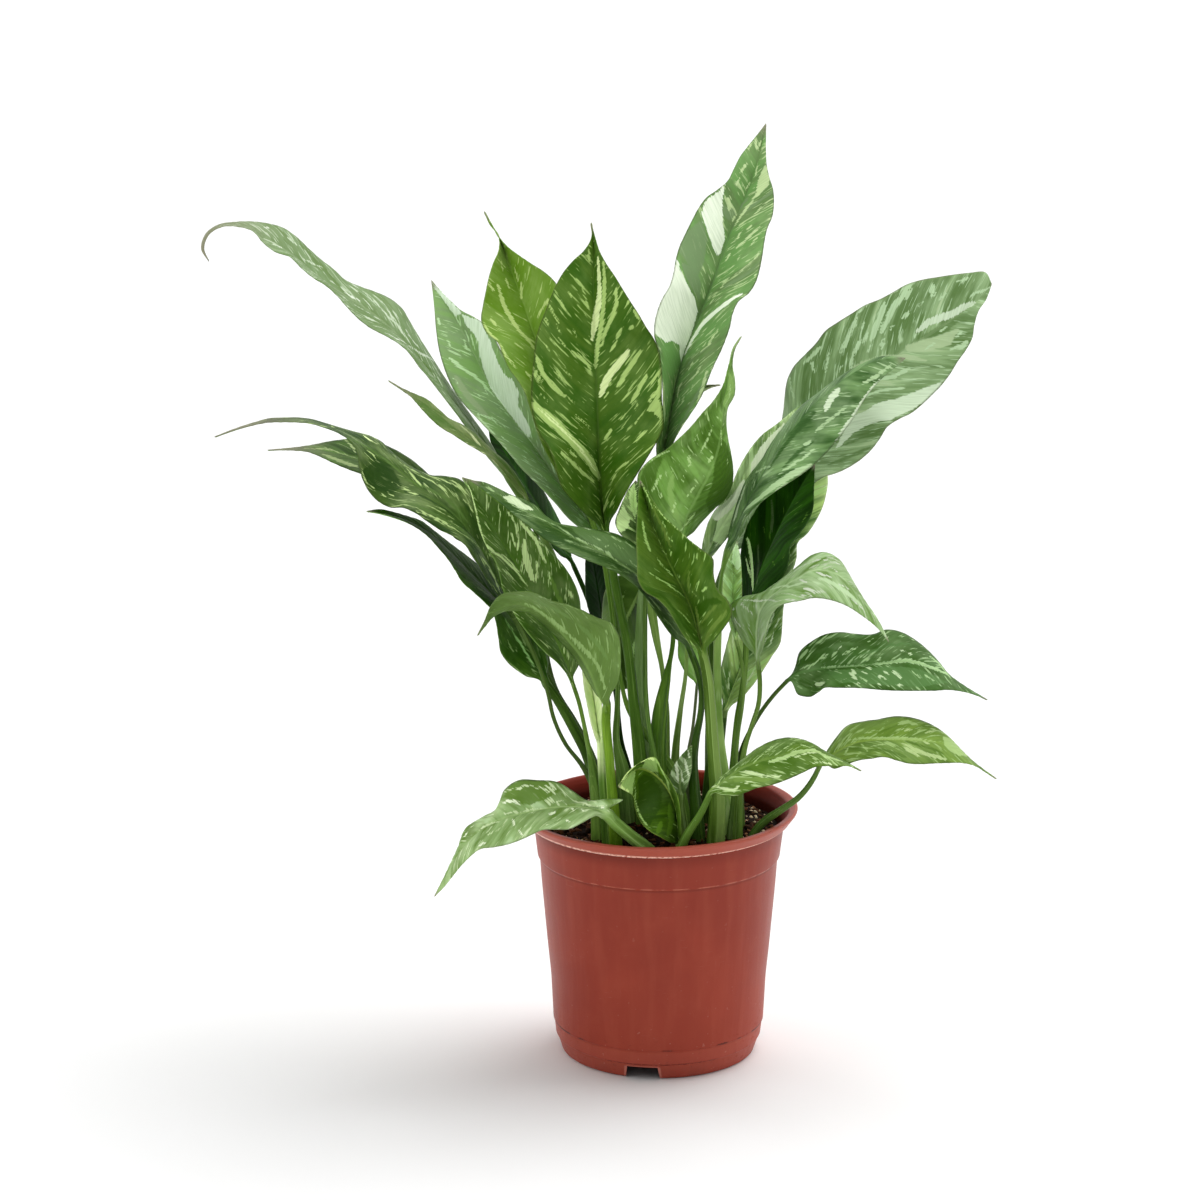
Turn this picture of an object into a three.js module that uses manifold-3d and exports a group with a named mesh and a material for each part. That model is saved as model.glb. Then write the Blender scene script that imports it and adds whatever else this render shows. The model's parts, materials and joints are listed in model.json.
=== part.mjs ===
// Potted variegated peace lily in a thin-walled nursery pot.
// Millimetres, +Z up, the pot stands on z = 0.

import * as THREE from 'three';
import { mergeVertices } from 'three/addons/utils/BufferGeometryUtils.js';
import Module from 'manifold-3d';

const wasm = await Module();
wasm.setup();

// ---------------------------------------------------------------- driving sizes
const POT_AXIS = [28.65, -3.56];   // pot centre line, the plant leans to -X
const POT_HEIGHT = 119;
const RIM_R = 65;                    // outside of the rolled lip
const LIP_BOTTOM_R = 61.2;
const LIP_Z = 112.6;                  // lower edge of the lip
const COLLAR_Z = 96;                 // line where the collar begins
const COLLAR_R = 56.3;                // outside of the wall just below the collar
const COLLAR_STEP = 1.0;
const LIP_NECK_R = 58.9;              // outside of the collar where it meets the lip
const WALL_ROWS = [[37, 51.2], [52, 52.7], [68, 54.1], [84, 55.5]];   // [height, outside radius], the wall widens faster towards the top
const FOOT_R = 46.5;
const FOOT_TOP_Z = 7.4;
const STEP_Z = 15;
const WALL = 1.7;
const FOOT_WALL = 2.6;
const BASE_UNDER_Z = 7;              // underside of the raised base plate
const BASE_PLATE = 1.8;
const NOTCH_COUNT = 3;
const NOTCH_WIDTH = 16;
const NOTCH_HEIGHT = 6;
const NOTCH_ANGLE = -99.8;           // degrees, the notch seen from the front
const DRAIN_COUNT = 6;
const DRAIN_R = 3.6;
const DRAIN_RING_R = 27;
const POT_SEGMENTS = 44;
const SOIL_Z = 109.2;                // soil surface at the wall
const SOIL_DOME = 1.8;               // rise of the soil towards the crown
const GAP = 0.35;                    // clearance between neighbouring pieces
const LEAF_EDGE = 0.45;               // half thickness of a leaf blade
const RIB = 0.8;                     // depth of the midrib below the blade, per neck radius
const CAMBER = 0.05;                 // bulge of each half blade, per half width

// Each leaf grew as one piece: petiole from the soil to the neck, then the blade.
// Rows of points along the petiole, the midrib and both margins, from the pot axis.
// up: which way the upper face looks; radii: the petiole at each of its points,
// thick in the sheath near the soil and thin above it.
const LEAVES = [
  { name: 'leaf_tallest', colour: 0x5f7f45, up: -1, radii: [3.40,2.96,2.51,2.07,1.06,1.76,2.20,2.20,2.11,2.00],
    petiole: [[3.11,20.31,103.51],[2.7,19.79,122.64],[2.84,19.18,141.77],[2.91,19.12,160.9],[1.69,18.94,179.98],[-1.7,17.96,198.78],[-4.21,17.33,217.67],[-3.19,17.64,236.78],[-0.9,18.7,255.75],[1.14,19.95,274.74]],
    midrib: [[2.07,23.95,282.63],[3.48,27,293.35],[5.13,30.42,303.96],[7.33,34.22,314.4],[10.39,38.28,324.6],[14.18,42.56,334.54],[18.52,47.51,344.18],[22.85,53.06,353.76],[26.96,58.98,363.4],[30.72,65.06,373.19],[34.89,71.08,382.88],[39.33,77.09,392.51],[43.62,83.28,402.22],[47.2,89.64,412.2],[50.08,96.14,422.41]],
    left: [[-2.12,14.3,285.22],[-0.02,10.03,297.91],[1.22,9.03,309.97],[0.97,10.91,321.48],[-0.13,15.66,332.37],[-3.08,22.97,342.32],[-0.6,30.33,352.56],[4.84,36.8,361.95],[7.46,45.99,371.96],[11.55,55.62,381.59],[17.08,64.92,390.78],[24.51,71.67,399.03],[33.54,78.32,405.79],[39.16,89.18,414.96],[46.77,96.32,423.44]],
    right: [[4.19,13.88,285.29],[8.37,10.16,296.9],[14.59,10.07,306.64],[20.2,12.38,316.26],[24.44,15.97,326.32],[29.45,20.33,335.93],[33.18,25.24,345.97],[37.3,32.01,355.2],[44.95,41.51,362.12],[48.02,49.89,371.96],[50.07,58.05,382.12],[54.15,67.99,391.53],[53.66,75.8,401.94],[51.15,83.89,412.09],[51.21,94.61,422.32]],
    tip: [51.37,100.21,428.8] },
  { name: 'leaf_centre_dark', colour: 0x3f5a1c, up: -1, radii: [4.20,3.70,3.20,2.78,2.40,2.28,2.15,2.02,1.90],
    petiole: [[-6.51,-2.41,103.5],[-7.52,-1.33,121.92],[-8.71,-0.9,140.35],[-10.71,-0.1,158.7],[-12.7,-1.07,177.04],[-14.77,-0.74,195.38],[-18.26,1.13,213.43],[-21.77,2.97,231.48],[-25.04,4.56,249.6]],
    midrib: [[-26.18,5.09,256.87],[-27.24,5.42,267.21],[-27.94,5.44,277.62],[-28.36,5.45,288.02],[-28.73,5.57,298.37],[-29.13,6.55,308.52],[-29.53,8.33,318.48],[-29.99,10.69,328.32],[-30.48,13.42,338.09],[-30.61,16.37,347.83],[-30.61,20.39,357.39],[-30.61,25.52,366.77],[-30.62,31.55,376.03],[-31.15,38.28,385.19]],
    left: [[-31.65,-5.87,258.57],[-39.34,-12.25,268.59],[-46.09,-14.97,278.38],[-49.03,-15.84,289.71],[-54.04,-12.1,299.13],[-58.67,-4.77,307.94],[-59.55,0.28,318.39],[-58.69,3.04,329.34],[-57.59,7.36,339.96],[-54.44,10.29,350.41],[-50.37,14.74,360.33],[-45.33,21.06,369.49],[-37.88,26.91,377.1],[-31.73,36.56,384.73]],
    right: [[-21.4,-5.76,260.36],[-16.52,-12.48,272.12],[-10.97,-14.91,282.45],[-5.2,-12.87,291.62],[0.34,-6.24,299.99],[1.03,-2,310.16],[0.7,2.86,320.45],[0.29,9.88,330.33],[-2.85,9.71,341.08],[-8.73,5.82,351.36],[-14.7,7.82,360.42],[-20.37,14.25,368.9],[-26.46,23.88,376.63],[-30.34,36.35,385.09]],
    tip: [-32.02,42.36,390.35] },
  { name: 'leaf_back_bright', colour: 0x6a8a2c, up: -1, radii: [3.30,2.69,2.12,1.73,1.28,1.04,1.13,1.22,1.31,1.40],
    petiole: [[13.47,-18.12,103.51],[11.49,-10.26,120.06],[7.16,-2.53,136.18],[-3.62,3.08,149.9],[-14.2,8.64,163.86],[-18.65,12.11,181.27],[-21.16,13.55,199.49],[-23.36,14.55,217.77],[-26.25,16.56,235.86],[-31.58,19.54,253.23]],
    midrib: [[-34.61,21.19,260.11],[-38.26,23.9,269.87],[-41.37,26.91,279.75],[-44.35,30.15,289.63],[-47.38,33.61,299.46],[-50.35,37.4,309.25],[-53.19,41.61,319.02],[-56.19,46.18,328.68],[-59.66,51.05,338.18],[-63.18,56.2,347.63],[-66.87,61.55,357.03],[-70.94,67.03,366.29],[-74.53,72.86,375.71],[-80.01,79.02,384.25]],
    left: [[-38.14,10.77,261.26],[-44.44,5.94,271.96],[-49.69,4.56,282.49],[-54.76,5.79,292.5],[-58.57,8.53,302.75],[-61.97,12.46,312.91],[-67.49,18.51,321.7],[-73.2,26.06,330.03],[-79.34,36.65,337.22],[-83.58,46.96,345.6],[-81.51,50.68,356.31],[-78.97,56.14,366.63],[-75.28,65.22,375.95],[-80.31,77.19,383.97]],
    right: [[-29.73,11.76,263.33],[-29.95,7.64,275.81],[-31.28,6.52,287.47],[-32.82,7.89,298.53],[-34.55,11.13,309.15],[-36.2,15.7,319.53],[-37.96,21.5,329.68],[-39.95,28.56,339.6],[-42.52,37.16,349.17],[-46.73,45.59,358.3],[-54.37,51.11,365.72],[-64.01,56.5,371],[-73.14,65.4,376.61],[-79.53,77.21,384.39]],
    tip: [-82.98,82.64,389.24] },
  { name: 'leaf_left_pale', colour: 0x7c9468, up: -1, radii: [4.10,3.65,2.32,1.37,1.24,1.33,1.41,1.50],
    petiole: [[-14.32,-0.72,103.5],[-15.74,6.07,122.46],[-19,13.84,140.76],[-19.7,17.62,160.37],[-19.48,17.45,180.51],[-20.57,17.37,200.64],[-22.94,20.66,220.41],[-25.95,24.14,240.07]],
    midrib: [[-30.04,29.69,245.16],[-36.09,34.44,252.83],[-42.37,39.01,260.41],[-48.56,43.59,268.08],[-54.65,47.86,275.93],[-60.58,51.75,284],[-67.36,55.66,291.44],[-73.45,59.63,299.42],[-79.39,63.58,307.54],[-84.28,67.3,316.35],[-89.02,71.02,325.26],[-94.16,74.95,333.95],[-99.89,79,342.28],[-105.51,83.14,350.7]],
    left: [[-32.84,19.82,245.71],[-41.29,17.4,253.15],[-48.39,17.55,261.42],[-55.79,19.97,268.9],[-63.5,23.69,275.82],[-70.44,27.76,283.41],[-77.78,32.45,290.56],[-85.22,38.21,297.48],[-92.75,45.34,304.14],[-98.79,53.44,311.83],[-102.87,61.85,320.56],[-105.36,69.98,329.88],[-106.62,77.14,339.64],[-107.78,82.91,349.7]],
    right: [[-25.02,21.56,249.1],[-27.11,20.9,260.04],[-30.21,22.87,270.15],[-34.31,26.69,279.48],[-39.38,31.01,288.26],[-45.14,35.21,296.69],[-51.75,39.76,304.47],[-59.47,43.36,311.47],[-67.29,47.44,318.29],[-73.66,53.03,326.13],[-78.91,60.35,334.47],[-86.87,66.78,340.72],[-96.28,73.41,345.21],[-104.34,81.84,351.49]],
    tip: [-108.64,85.55,355.56] },
  { name: 'leaf_far_left_hooked', colour: 0x809a66, up: 1, radii: [3.00,2.63,2.26,2.00,1.98,1.96,1.95,1.93,1.92,1.90],
    petiole: [[-22.62,16.42,103.5],[-24.67,18.77,123.11],[-26.61,21.1,142.73],[-29.54,23.95,162.15],[-34.13,26.97,181.22],[-39.37,29.91,200.14],[-45.17,32.76,218.91],[-52.57,33.82,237.29],[-61.61,34.81,254.93],[-72.13,35.51,271.74]],
    midrib: [[-78.27,40.26,279.22],[-86.07,43.69,289.66],[-94.14,46.82,299.96],[-102.48,49.47,310.14],[-110.85,51.76,320.35],[-119.48,54.29,330.31],[-129.13,57.03,339.27],[-139.82,59.53,347.07],[-151.16,61.51,354.02],[-161.98,62.63,361.77],[-171.97,62.47,370.65],[-182.76,61.33,378.51],[-194.09,59.68,385.19],[-206.96,57.43,386.21],[-214.44,54.45,376.76]],
    left: [[-76.48,47.45,279.52],[-84.58,56.25,289.49],[-92.97,62.7,299.78],[-101,67.19,310.73],[-108.57,70.13,322.26],[-116,72.43,333.99],[-123.48,74.22,345.69],[-135.86,76.75,351.89],[-148.93,78.41,356.76],[-159.52,78,365.98],[-169.62,75.46,375.89],[-180.76,71.86,384.12],[-194.2,68.13,386.71],[-207.48,62.5,385.74],[-215.01,55.63,376.57]],
    right: [[-79.98,33.07,279.31],[-87.59,31.17,290.66],[-95.18,31.02,301.63],[-102.9,31.8,312.3],[-111.44,33.24,322.15],[-119.62,35.44,332.09],[-130.86,38.36,338.51],[-141.74,41.34,345.44],[-150.62,44.11,354.8],[-160.95,46.57,362.55],[-170.76,48.26,370.99],[-182.36,49.63,376.58],[-191.63,51.26,385.43],[-204.65,52.83,386.38],[-213.35,53.55,377.35]],
    tip: [-211.29,52.23,369.87] },
  { name: 'leaf_right_large', colour: 0x74905a, up: -1, radii: [3.90,3.44,2.97,2.58,2.46,2.34,2.22,2.10],
    petiole: [[25.35,7.45,103.5],[25.33,11.07,121.82],[25.12,15.11,140.05],[24.81,18.76,158.35],[24.76,21.69,176.8],[25.18,25.01,195.16],[27.27,28.73,213.34],[32.71,32.39,230.77]],
    midrib: [[37.16,36.87,237.96],[43.34,39.89,247.71],[50.06,42.91,257.11],[57.09,45.81,266.33],[64.34,48.02,275.51],[71.76,49.81,284.64],[79.28,51.81,293.63],[87.32,53.81,302.16],[96.04,55.68,310.03],[104.93,57.51,317.72],[114.13,59.17,325.05],[124.16,60.68,331.27],[134.15,62.18,337.54],[143.89,63.66,344.18],[153.07,65.12,351.51]],
    left: [[34.79,48.89,238.23],[39.2,60.11,249.05],[44.59,68.16,260.3],[50.77,73.68,271.78],[57.43,76.28,283.59],[60.18,75.08,297.44],[62.2,69.94,312.21],[70.24,65.49,323.86],[78.7,62.25,335.02],[89.96,62.99,342.47],[101.76,64.33,348.98],[113.74,65.58,355.13],[126.55,66.52,359.43],[140,66.93,361.47],[153.47,66.28,362.66]],
    right: [[40.85,25.2,238.23],[49.97,20.28,247.03],[59.12,18.5,255.1],[67.35,18.58,263.81],[74.88,19.97,272.69],[86.15,23.72,276.13],[96.32,28.68,281.67],[103.94,31.68,290.38],[112.3,36.31,297.81],[123.16,46.38,302],[132.33,53.93,308.93],[139.59,56.73,318.15],[146.38,59.18,327.78],[149.5,60.71,339.09],[154.55,63.96,349.44]],
    tip: [157.71,66.01,357.03] },
  { name: 'leaf_centre_right', colour: 0x5c7a38, up: -1, radii: [4.20,3.95,3.72,3.51,2.75,1.10,1.13,1.17,1.20],
    petiole: [[2.16,-3.93,103.68],[0.48,-6.17,121.78],[-0.85,-5.94,140.02],[-0.67,-6.02,158.32],[1.77,-6.27,176.47],[5.38,-6.62,194.43],[6.1,-7.66,212.67],[7.29,-9.42,230.86],[9.98,-11.91,248.8]],
    midrib: [[10.36,-14.87,254.71],[12.87,-16.72,265.31],[17.59,-17.65,274.8],[22.33,-18.19,284.15],[25.76,-18.49,294.01],[27.4,-18.05,304.16],[28.07,-16.57,314.22],[29.92,-14.97,324.04],[31.6,-13.33,333.9],[34.4,-11.47,343.33]],
    left: [[3.72,-21.94,254.58],[-4.36,-24.11,264.51],[-9.69,-17.66,274.3],[-8.94,-17.52,285.92],[0.29,-20.4,294.51],[9.36,-32,304.94],[17.39,-33.78,314.47],[25.27,-30.08,323.09],[29.76,-22.54,333.04],[34.14,-13.07,342.79]],
    right: [[14.34,-6.32,251.82],[21.49,-0.64,259.06],[29.6,0.93,266.19],[33.94,2.17,275.99],[33.33,3.68,286.79],[30.74,3.96,297.59],[30.36,2.89,308.78],[34.62,-0.3,319.41],[32.61,-4.42,331.01],[34.79,-9.95,342.53]],
    tip: [36.83,-10.68,346.42] },
  { name: 'leaf_right_narrow', colour: 0x6a8450, up: -1, radii: [3.60,3.15,2.70,2.34,2.06,1.94,1.87,1.80],
    petiole: [[32.25,-15.65,103.5],[31.57,-10.01,123.06],[29.43,-5.74,142.86],[27.48,-2.68,162.9],[26.87,-2.41,183.2],[26.88,-4.15,203.51],[28.15,-5.78,223.78],[30.97,-5.62,243.94]],
    midrib: [[32.96,-7.56,250.68],[36.99,-7.5,260.76],[41.58,-7.37,270.54],[46.52,-6.55,279.97],[51.84,-5.15,289.04],[57.79,-3.65,297.67],[64.62,-2.04,305.61],[71.85,-0.02,313.11],[79.75,2.37,319.9],[88.37,4.85,325.78],[97.77,7.47,330.41],[108.2,10.24,332.2]],
    left: [[31.36,0.03,249.68],[34.35,6.59,259.08],[37.75,10.18,269.04],[43.06,12.56,278.33],[49.49,14.53,287.03],[55.48,15.79,296.2],[62.14,16.55,304.98],[70.27,16.99,312.32],[79.01,16.91,319.03],[87.96,15.91,325.52],[97.65,13.91,330.73],[108.14,11.48,332.83]],
    right: [[34.87,-15.14,251.38],[38.02,-21.75,262.73],[44.76,-25.04,270.85],[52.63,-24.71,277.16],[61.26,-21.03,281.87],[69.57,-14.7,286.68],[77.17,-7.09,292.22],[83.65,-3.62,299.54],[89.56,-0.83,307.41],[94.83,2.35,315.65],[101.56,5.7,322.82],[109.52,9.71,328.7]],
    tip: [113.45,11.62,331.93] },
  { name: 'leaf_right_pale', colour: 0x87a06a, up: -1, radii: [2.80,2.32,1.85,1.74,1.68,1.62,1.56,1.50],
    petiole: [[21.84,1.84,103.55],[22.49,2.4,122.11],[23.89,3.05,140.63],[25.02,3.85,159.15],[25.25,5.2,177.68],[25.13,8.47,195.96],[23.59,13.06,213.89],[20.02,16.73,231.73]],
    midrib: [[21.74,17.49,236.03],[26.27,19.18,245.54],[31.78,20.57,254.56],[37.65,22.02,263.33],[43.66,23.53,271.98],[49.81,24.98,280.54],[55.94,26.58,289.06],[62.16,28.4,297.48],[68.88,30.34,305.48]],
    left: [[19.23,10.94,238.66],[21.07,5.91,251.07],[25.59,4.69,261.57],[32.3,5.31,270.2],[36.33,8.7,279.95],[41.96,12.93,288.76],[49.53,17.37,296.07],[58.56,22.88,301.67],[67.74,30.13,306.82]],
    right: [[24.36,23.94,233.44],[31.26,32.54,240.08],[38.48,36.12,247.59],[45.7,37.34,255.58],[52.62,37.44,264.04],[59.02,36.54,273.07],[64.31,34.74,282.98],[68.39,31.44,293.74],[70.99,30.17,304.55]],
    tip: [71.36,31.05,308.2] },
  { name: 'leaf_right_shaded', colour: 0x22320f, up: 1, radii: [2.80,2.30,1.80,1.55,1.47,1.38,1.30],
    petiole: [[31.93,-6.67,103.5],[33.67,-3.81,120.9],[34.85,-1.84,138.48],[36.12,0.2,156.04],[38.57,0.29,173.56],[40.34,-0.23,191.18],[40.29,0.19,208.91]],
    midrib: [[41,0.49,212.94],[43.44,1.47,223.24],[46.72,2.73,233.21],[50.6,4.21,242.88],[54.97,5.88,252.29],[59.68,7.94,261.44],[64.73,10.34,270.33],[70.36,13.02,278.82]],
    left: [[38.98,8.83,211.69],[38.3,19.03,221.05],[38.07,22.47,232.21],[39.58,22.95,243.97],[43.97,22.62,255],[50.58,21.3,264.98],[59.05,18.13,273.51],[68.9,13.56,280.15]],
    right: [[44.32,8.06,210.39],[50.96,17.15,217.12],[57.61,19.62,225.37],[61.43,21.41,235.09],[65,21.78,244.98],[70.67,18.61,254.95],[71.97,16.26,266.38],[72.12,13.37,278.07]],
    tip: [72.23,13.89,281.34] },
  { name: 'leaf_right_back', colour: 0x7f9a5e, up: -1, radii: [2.80,2.55,2.30,2.05,1.80],
    petiole: [[26.57,20.17,103.5],[27.34,21.33,117.5],[28.3,21.31,131.52],[29.5,20.68,145.53],[31,20.14,159.52]],
    midrib: [[33.44,23.06,165.07],[37.37,24.99,175.08],[41.42,27.37,184.93],[45.15,30.18,194.78],[48.32,33.28,204.77],[51.3,36.59,214.76],[54.17,39.99,224.78],[57.45,43.89,234.56],[61.15,47.94,244.19],[65.24,52.02,253.69],[69.75,56.39,262.96],[74.7,60.94,272.02]],
    left: [[29.07,16.82,168.4],[29.01,13.55,180.86],[31.29,13.08,192.21],[34.12,14.82,202.84],[37.45,17.43,213.09],[40.59,21.04,223.16],[43.95,25.25,233.03],[48,30.72,242.39],[52.62,37.36,251.3],[57.77,45.38,259.73],[64.43,54.83,267.05],[72.66,61.21,273.68]],
    right: [[37.21,15.69,165.31],[44.46,11.52,175.45],[50.64,10.86,185.48],[56.75,12.93,194.84],[58.12,14.85,205.97],[59.5,17.84,216.85],[62.68,22.34,227.02],[65.26,27.99,237.03],[71.41,36.79,243.9],[77.57,49.09,251.27],[80.58,55.39,261.23],[79.47,60.69,271.66]],
    tip: [77.25,63.19,276.32] },
  { name: 'leaf_back_hooked', colour: 0x3c5a24, up: -1, radii: [2.60,2.17,1.70,1.18,0.91,0.94,0.98,1.02,1.06,1.10],
    petiole: [[7.72,30.83,103.5],[7.73,27.67,122.51],[8.36,24.26,141.47],[10.33,20.95,160.34],[12.78,19.73,179.39],[13.02,22.54,198.41],[10.69,26.52,217.11],[7.08,31.07,235.49],[4.37,35.83,253.96],[2.4,40.37,272.59]],
    midrib: [[2.81,48.51,273.5],[4.24,54.96,280.28],[6.36,61.33,286.97],[9.45,67.65,293.38],[13.89,73.94,299.13],[20.27,80.2,303.17],[28.26,86.42,304.15]],
    left: [[-0.37,44.17,274.59],[-1.36,44.47,283.53],[0.86,49.29,291.24],[4.89,55.81,298.01],[10.71,63.73,303.32],[18.96,73.41,305.31],[28.02,85.58,304.55]],
    right: [[4.63,43.48,274.47],[5.99,42.95,282.3],[8.22,47.67,288.8],[11.31,54.33,294.62],[15.43,62.59,299.64],[21.07,72.99,303.12],[28.4,85.51,303.97]],
    tip: [30.48,88.05,303.93] },
  { name: 'leaf_back_shaded', colour: 0x24361a, up: 1, radii: [2.60,2.03,1.46,1.20,1.20,1.20,1.20,1.20],
    petiole: [[-15.52,29.99,103.52],[-17,32.9,121.49],[-19.56,37.66,138.91],[-19.69,42.38,156.55],[-23.03,46.56,173.92],[-28.24,49.84,191.11],[-34.17,51.09,208.34],[-41.22,51.11,225.18]],
    midrib: [[-43.3,54.25,227.77],[-48.64,57.25,235.81],[-53.88,60.13,243.96],[-59.05,62.96,252.16],[-64.32,65.8,260.32],[-69.66,68.63,268.43],[-74.99,71.49,276.57],[-80.06,74.34,284.86]],
    left: [[-41.04,60.08,227.82],[-44.73,70.08,235.27],[-49.15,75.09,243.65],[-54.06,77.99,252.27],[-59.36,79.63,260.94],[-65.09,79.68,269.65],[-71.4,77.68,278.3],[-78.85,74.69,285.95]],
    right: [[-45.48,48.39,227.64],[-52.32,44.34,236.34],[-58.37,45.1,244.55],[-64.08,47.96,252.53],[-69.64,52.09,260.36],[-74.54,57.65,268.31],[-78.76,65.15,276.24],[-81.34,73.83,284.52]],
    tip: [-81.58,75.23,287.44] },
  { name: 'leaf_left_slim', colour: 0x5a7440, up: 1, radii: [2.40,2.07,1.73,1.40,1.19,1.17,1.16,1.14,1.12,1.10],
    petiole: [[-23.85,10.11,103.5],[-26.33,10.51,122],[-31.72,11.69,139.82],[-39.78,12.89,156.62],[-48.87,13.86,172.88],[-53.28,14.94,190.93],[-54.84,15.37,209.52],[-55.54,14.2,228.16],[-57.37,12.69,246.68],[-61.37,10.9,264.84]],
    midrib: [[-63.56,11.56,268.51],[-69.32,12.99,276.38],[-76.1,14.44,283.36],[-83.69,16.05,289.43],[-91.68,17.78,294.97],[-99.46,19.62,300.78],[-107.23,21.66,306.57],[-115.42,23.79,311.79],[-123.75,26.03,316.79]],
    left: [[-62.22,14.77,268.83],[-67.85,20.06,276.21],[-74.81,22.99,282.98],[-82.18,24.87,289.59],[-89.61,26.16,296.22],[-98.58,27.36,300.53],[-106.03,27.71,307.3],[-114.71,27.42,312.18],[-123.67,26.62,316.73]],
    right: [[-65.2,8.49,268.06],[-70.91,5.96,276.73],[-77.2,5.9,284.36],[-85.2,7.23,289.74],[-93.51,9.32,294.6],[-101.94,12.37,299.16],[-109.16,15.89,305.27],[-115.77,20.12,311.9],[-123.67,25.46,317]],
    tip: [-126.68,26.86,318.56] },
  { name: 'leaf_left_arching', colour: 0x4a6428, up: 1, radii: [2.60,1.97,1.37,0.95,0.97,0.99,1.21,1.50],
    petiole: [[-26.34,-14.1,103.53],[-27.63,-14.89,121.15],[-33.16,-15.66,137.88],[-42.65,-16.4,152.72],[-49.67,-16.12,168.68],[-53.93,-16.04,185.84],[-60.34,-16.18,202.32],[-68.49,-16.34,218.02]],
    midrib: [[-72.2,-19.31,227.1],[-77.23,-20.77,238.13],[-82.62,-22.29,248.93],[-88.78,-23.94,259.2],[-96.55,-25.77,268.14],[-105.43,-27.86,275.82],[-114.31,-30.3,283.48],[-122.69,-33.09,291.73],[-131.12,-36.16,299.86],[-140.7,-39.5,306.22],[-150.88,-43.25,311.25],[-161.4,-47.39,315.01],[-172.28,-51.92,316.01],[-182.9,-56.8,315.05],[-193.19,-62.02,312.86]],
    left: [[-69.3,-11.21,227.2],[-72.17,-7.03,238.52],[-75.49,-5.34,250.32],[-80,-5.57,262.11],[-86.3,-7.32,273.23],[-96.03,-8.48,280.29],[-108.08,-9.7,281.97],[-118.51,-12.54,288.69],[-127.14,-16.45,297.98],[-137.85,-21.28,303.48],[-149.12,-27.15,307.91],[-160.16,-33.94,312.79],[-171.51,-41.88,314.83],[-182.48,-50.89,314.61],[-192.97,-60.58,312.84]],
    right: [[-74.09,-27.64,228.07],[-80.5,-35,239.82],[-85.48,-40.24,251.78],[-94.01,-43.76,260.33],[-103.99,-46.02,266.52],[-113.22,-47.88,273.79],[-124.37,-48.4,275.71],[-132.41,-50.74,284.15],[-135.79,-55.13,296.1],[-139.06,-57.96,307.33],[-148.64,-59.48,313.5],[-159.45,-60.83,316.84],[-170.73,-61.85,317.19],[-181.93,-62.61,315.87],[-192.89,-63.43,313.06]],
    tip: [-199.36,-65.39,311.12] },
  { name: 'leaf_left_under', colour: 0x4c6630, up: 1, radii: [2.60,2.26,1.91,1.57,1.47,1.42,1.38,1.34,1.30],
    petiole: [[-24.85,3.98,103.51],[-27.05,4.59,122.69],[-32.44,5.21,141.2],[-40.94,5.85,158.53],[-49.8,6.49,175.7],[-58.82,7.09,192.79],[-68.43,7.57,209.55],[-78.31,7.68,226.17],[-88.45,7.66,242.62]],
    midrib: [[-91.37,6.75,247.73],[-97.1,5.01,256.71],[-103.3,3.25,265.28],[-110.3,1.47,273.06],[-118.31,-0.34,279.59],[-127.33,-2.16,284.35],[-136.86,-3.98,287.67],[-146.56,-5.81,290.31],[-156.33,-7.63,292.46],[-166.21,-9.45,293.54],[-176.12,-11.27,293.74]],
    left: [[-89.39,12.26,248.23],[-94.33,15.82,257.47],[-100.26,16.69,266.7],[-107.21,15.71,275.49],[-115.14,13.7,283.43],[-124.24,10.88,289.85],[-134.22,7.44,294.37],[-144.83,4.46,295.38],[-155.34,0.92,294.57],[-165.62,-4.27,293.57],[-175.89,-10.3,293.6]],
    right: [[-93.45,1.3,247.04],[-100.17,-5.7,255.59],[-106.92,-9.99,263.46],[-114.29,-12.48,270.18],[-122.3,-14.26,275.83],[-130.73,-15.72,280.61],[-139.65,-16.64,284.17],[-148.47,-16.98,287.89],[-157.13,-16.45,291.91],[-166.45,-14.66,293.87],[-176.23,-12.26,293.65]],
    tip: [-180.47,-12.07,293.64] },
  { name: 'leaf_left_streaked', colour: 0x58742f, up: -1, radii: [3.40,3.30,3.20,1.47,0.95,1.00],
    petiole: [[-28.76,-24.31,103.6],[-28.93,-23.49,120.06],[-29.92,-23.41,136.51],[-32.73,-23.01,152.74],[-35.89,-21.98,168.89],[-40.34,-20.59,184.68]],
    midrib: [[-42.11,-25.4,191.34],[-45.73,-26.96,201.28],[-49.8,-28.66,211],[-54.18,-30.53,220.57],[-58.79,-32.52,229.99],[-63.38,-34.68,239.4],[-68.2,-37.09,248.69],[-73.21,-39.66,257.84],[-77.64,-42.4,267.3],[-82.51,-45.29,276.47],[-87.65,-48.31,285.44]],
    left: [[-43.61,-34.48,193.38],[-50.22,-44.1,203.48],[-57.17,-49.52,212.15],[-63.23,-52.41,220.92],[-68.29,-54.44,230.13],[-71.95,-56.23,239.95],[-74.2,-57.55,250.1],[-78.86,-57.3,258.86],[-82.36,-55.87,267.9],[-84.42,-53.37,277.14],[-87.39,-49.85,285.85]],
    right: [[-37.97,-16.96,190.32],[-36.76,-11.55,200.17],[-36.19,-11.15,211.41],[-37.14,-14.21,223.48],[-40.91,-17.19,234.75],[-47.26,-18.68,244.19],[-54.66,-21.06,252.91],[-61.57,-26,262.58],[-68.23,-33.39,272.86],[-75.72,-42.98,282.6],[-85.43,-47.91,287.71]],
    tip: [-89.87,-49.68,289.39] },
  { name: 'leaf_left_low', colour: 0x2f4618, up: 1, radii: [3.30,3.07,2.81,2.47,2.20,2.00],
    petiole: [[-25.06,-4.07,103.5],[-26.81,-4.9,119.96],[-30.84,-5.41,136.02],[-36.49,-5.13,151.57],[-44.23,-4.87,166.23],[-53.06,-4.69,180.24]],
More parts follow.
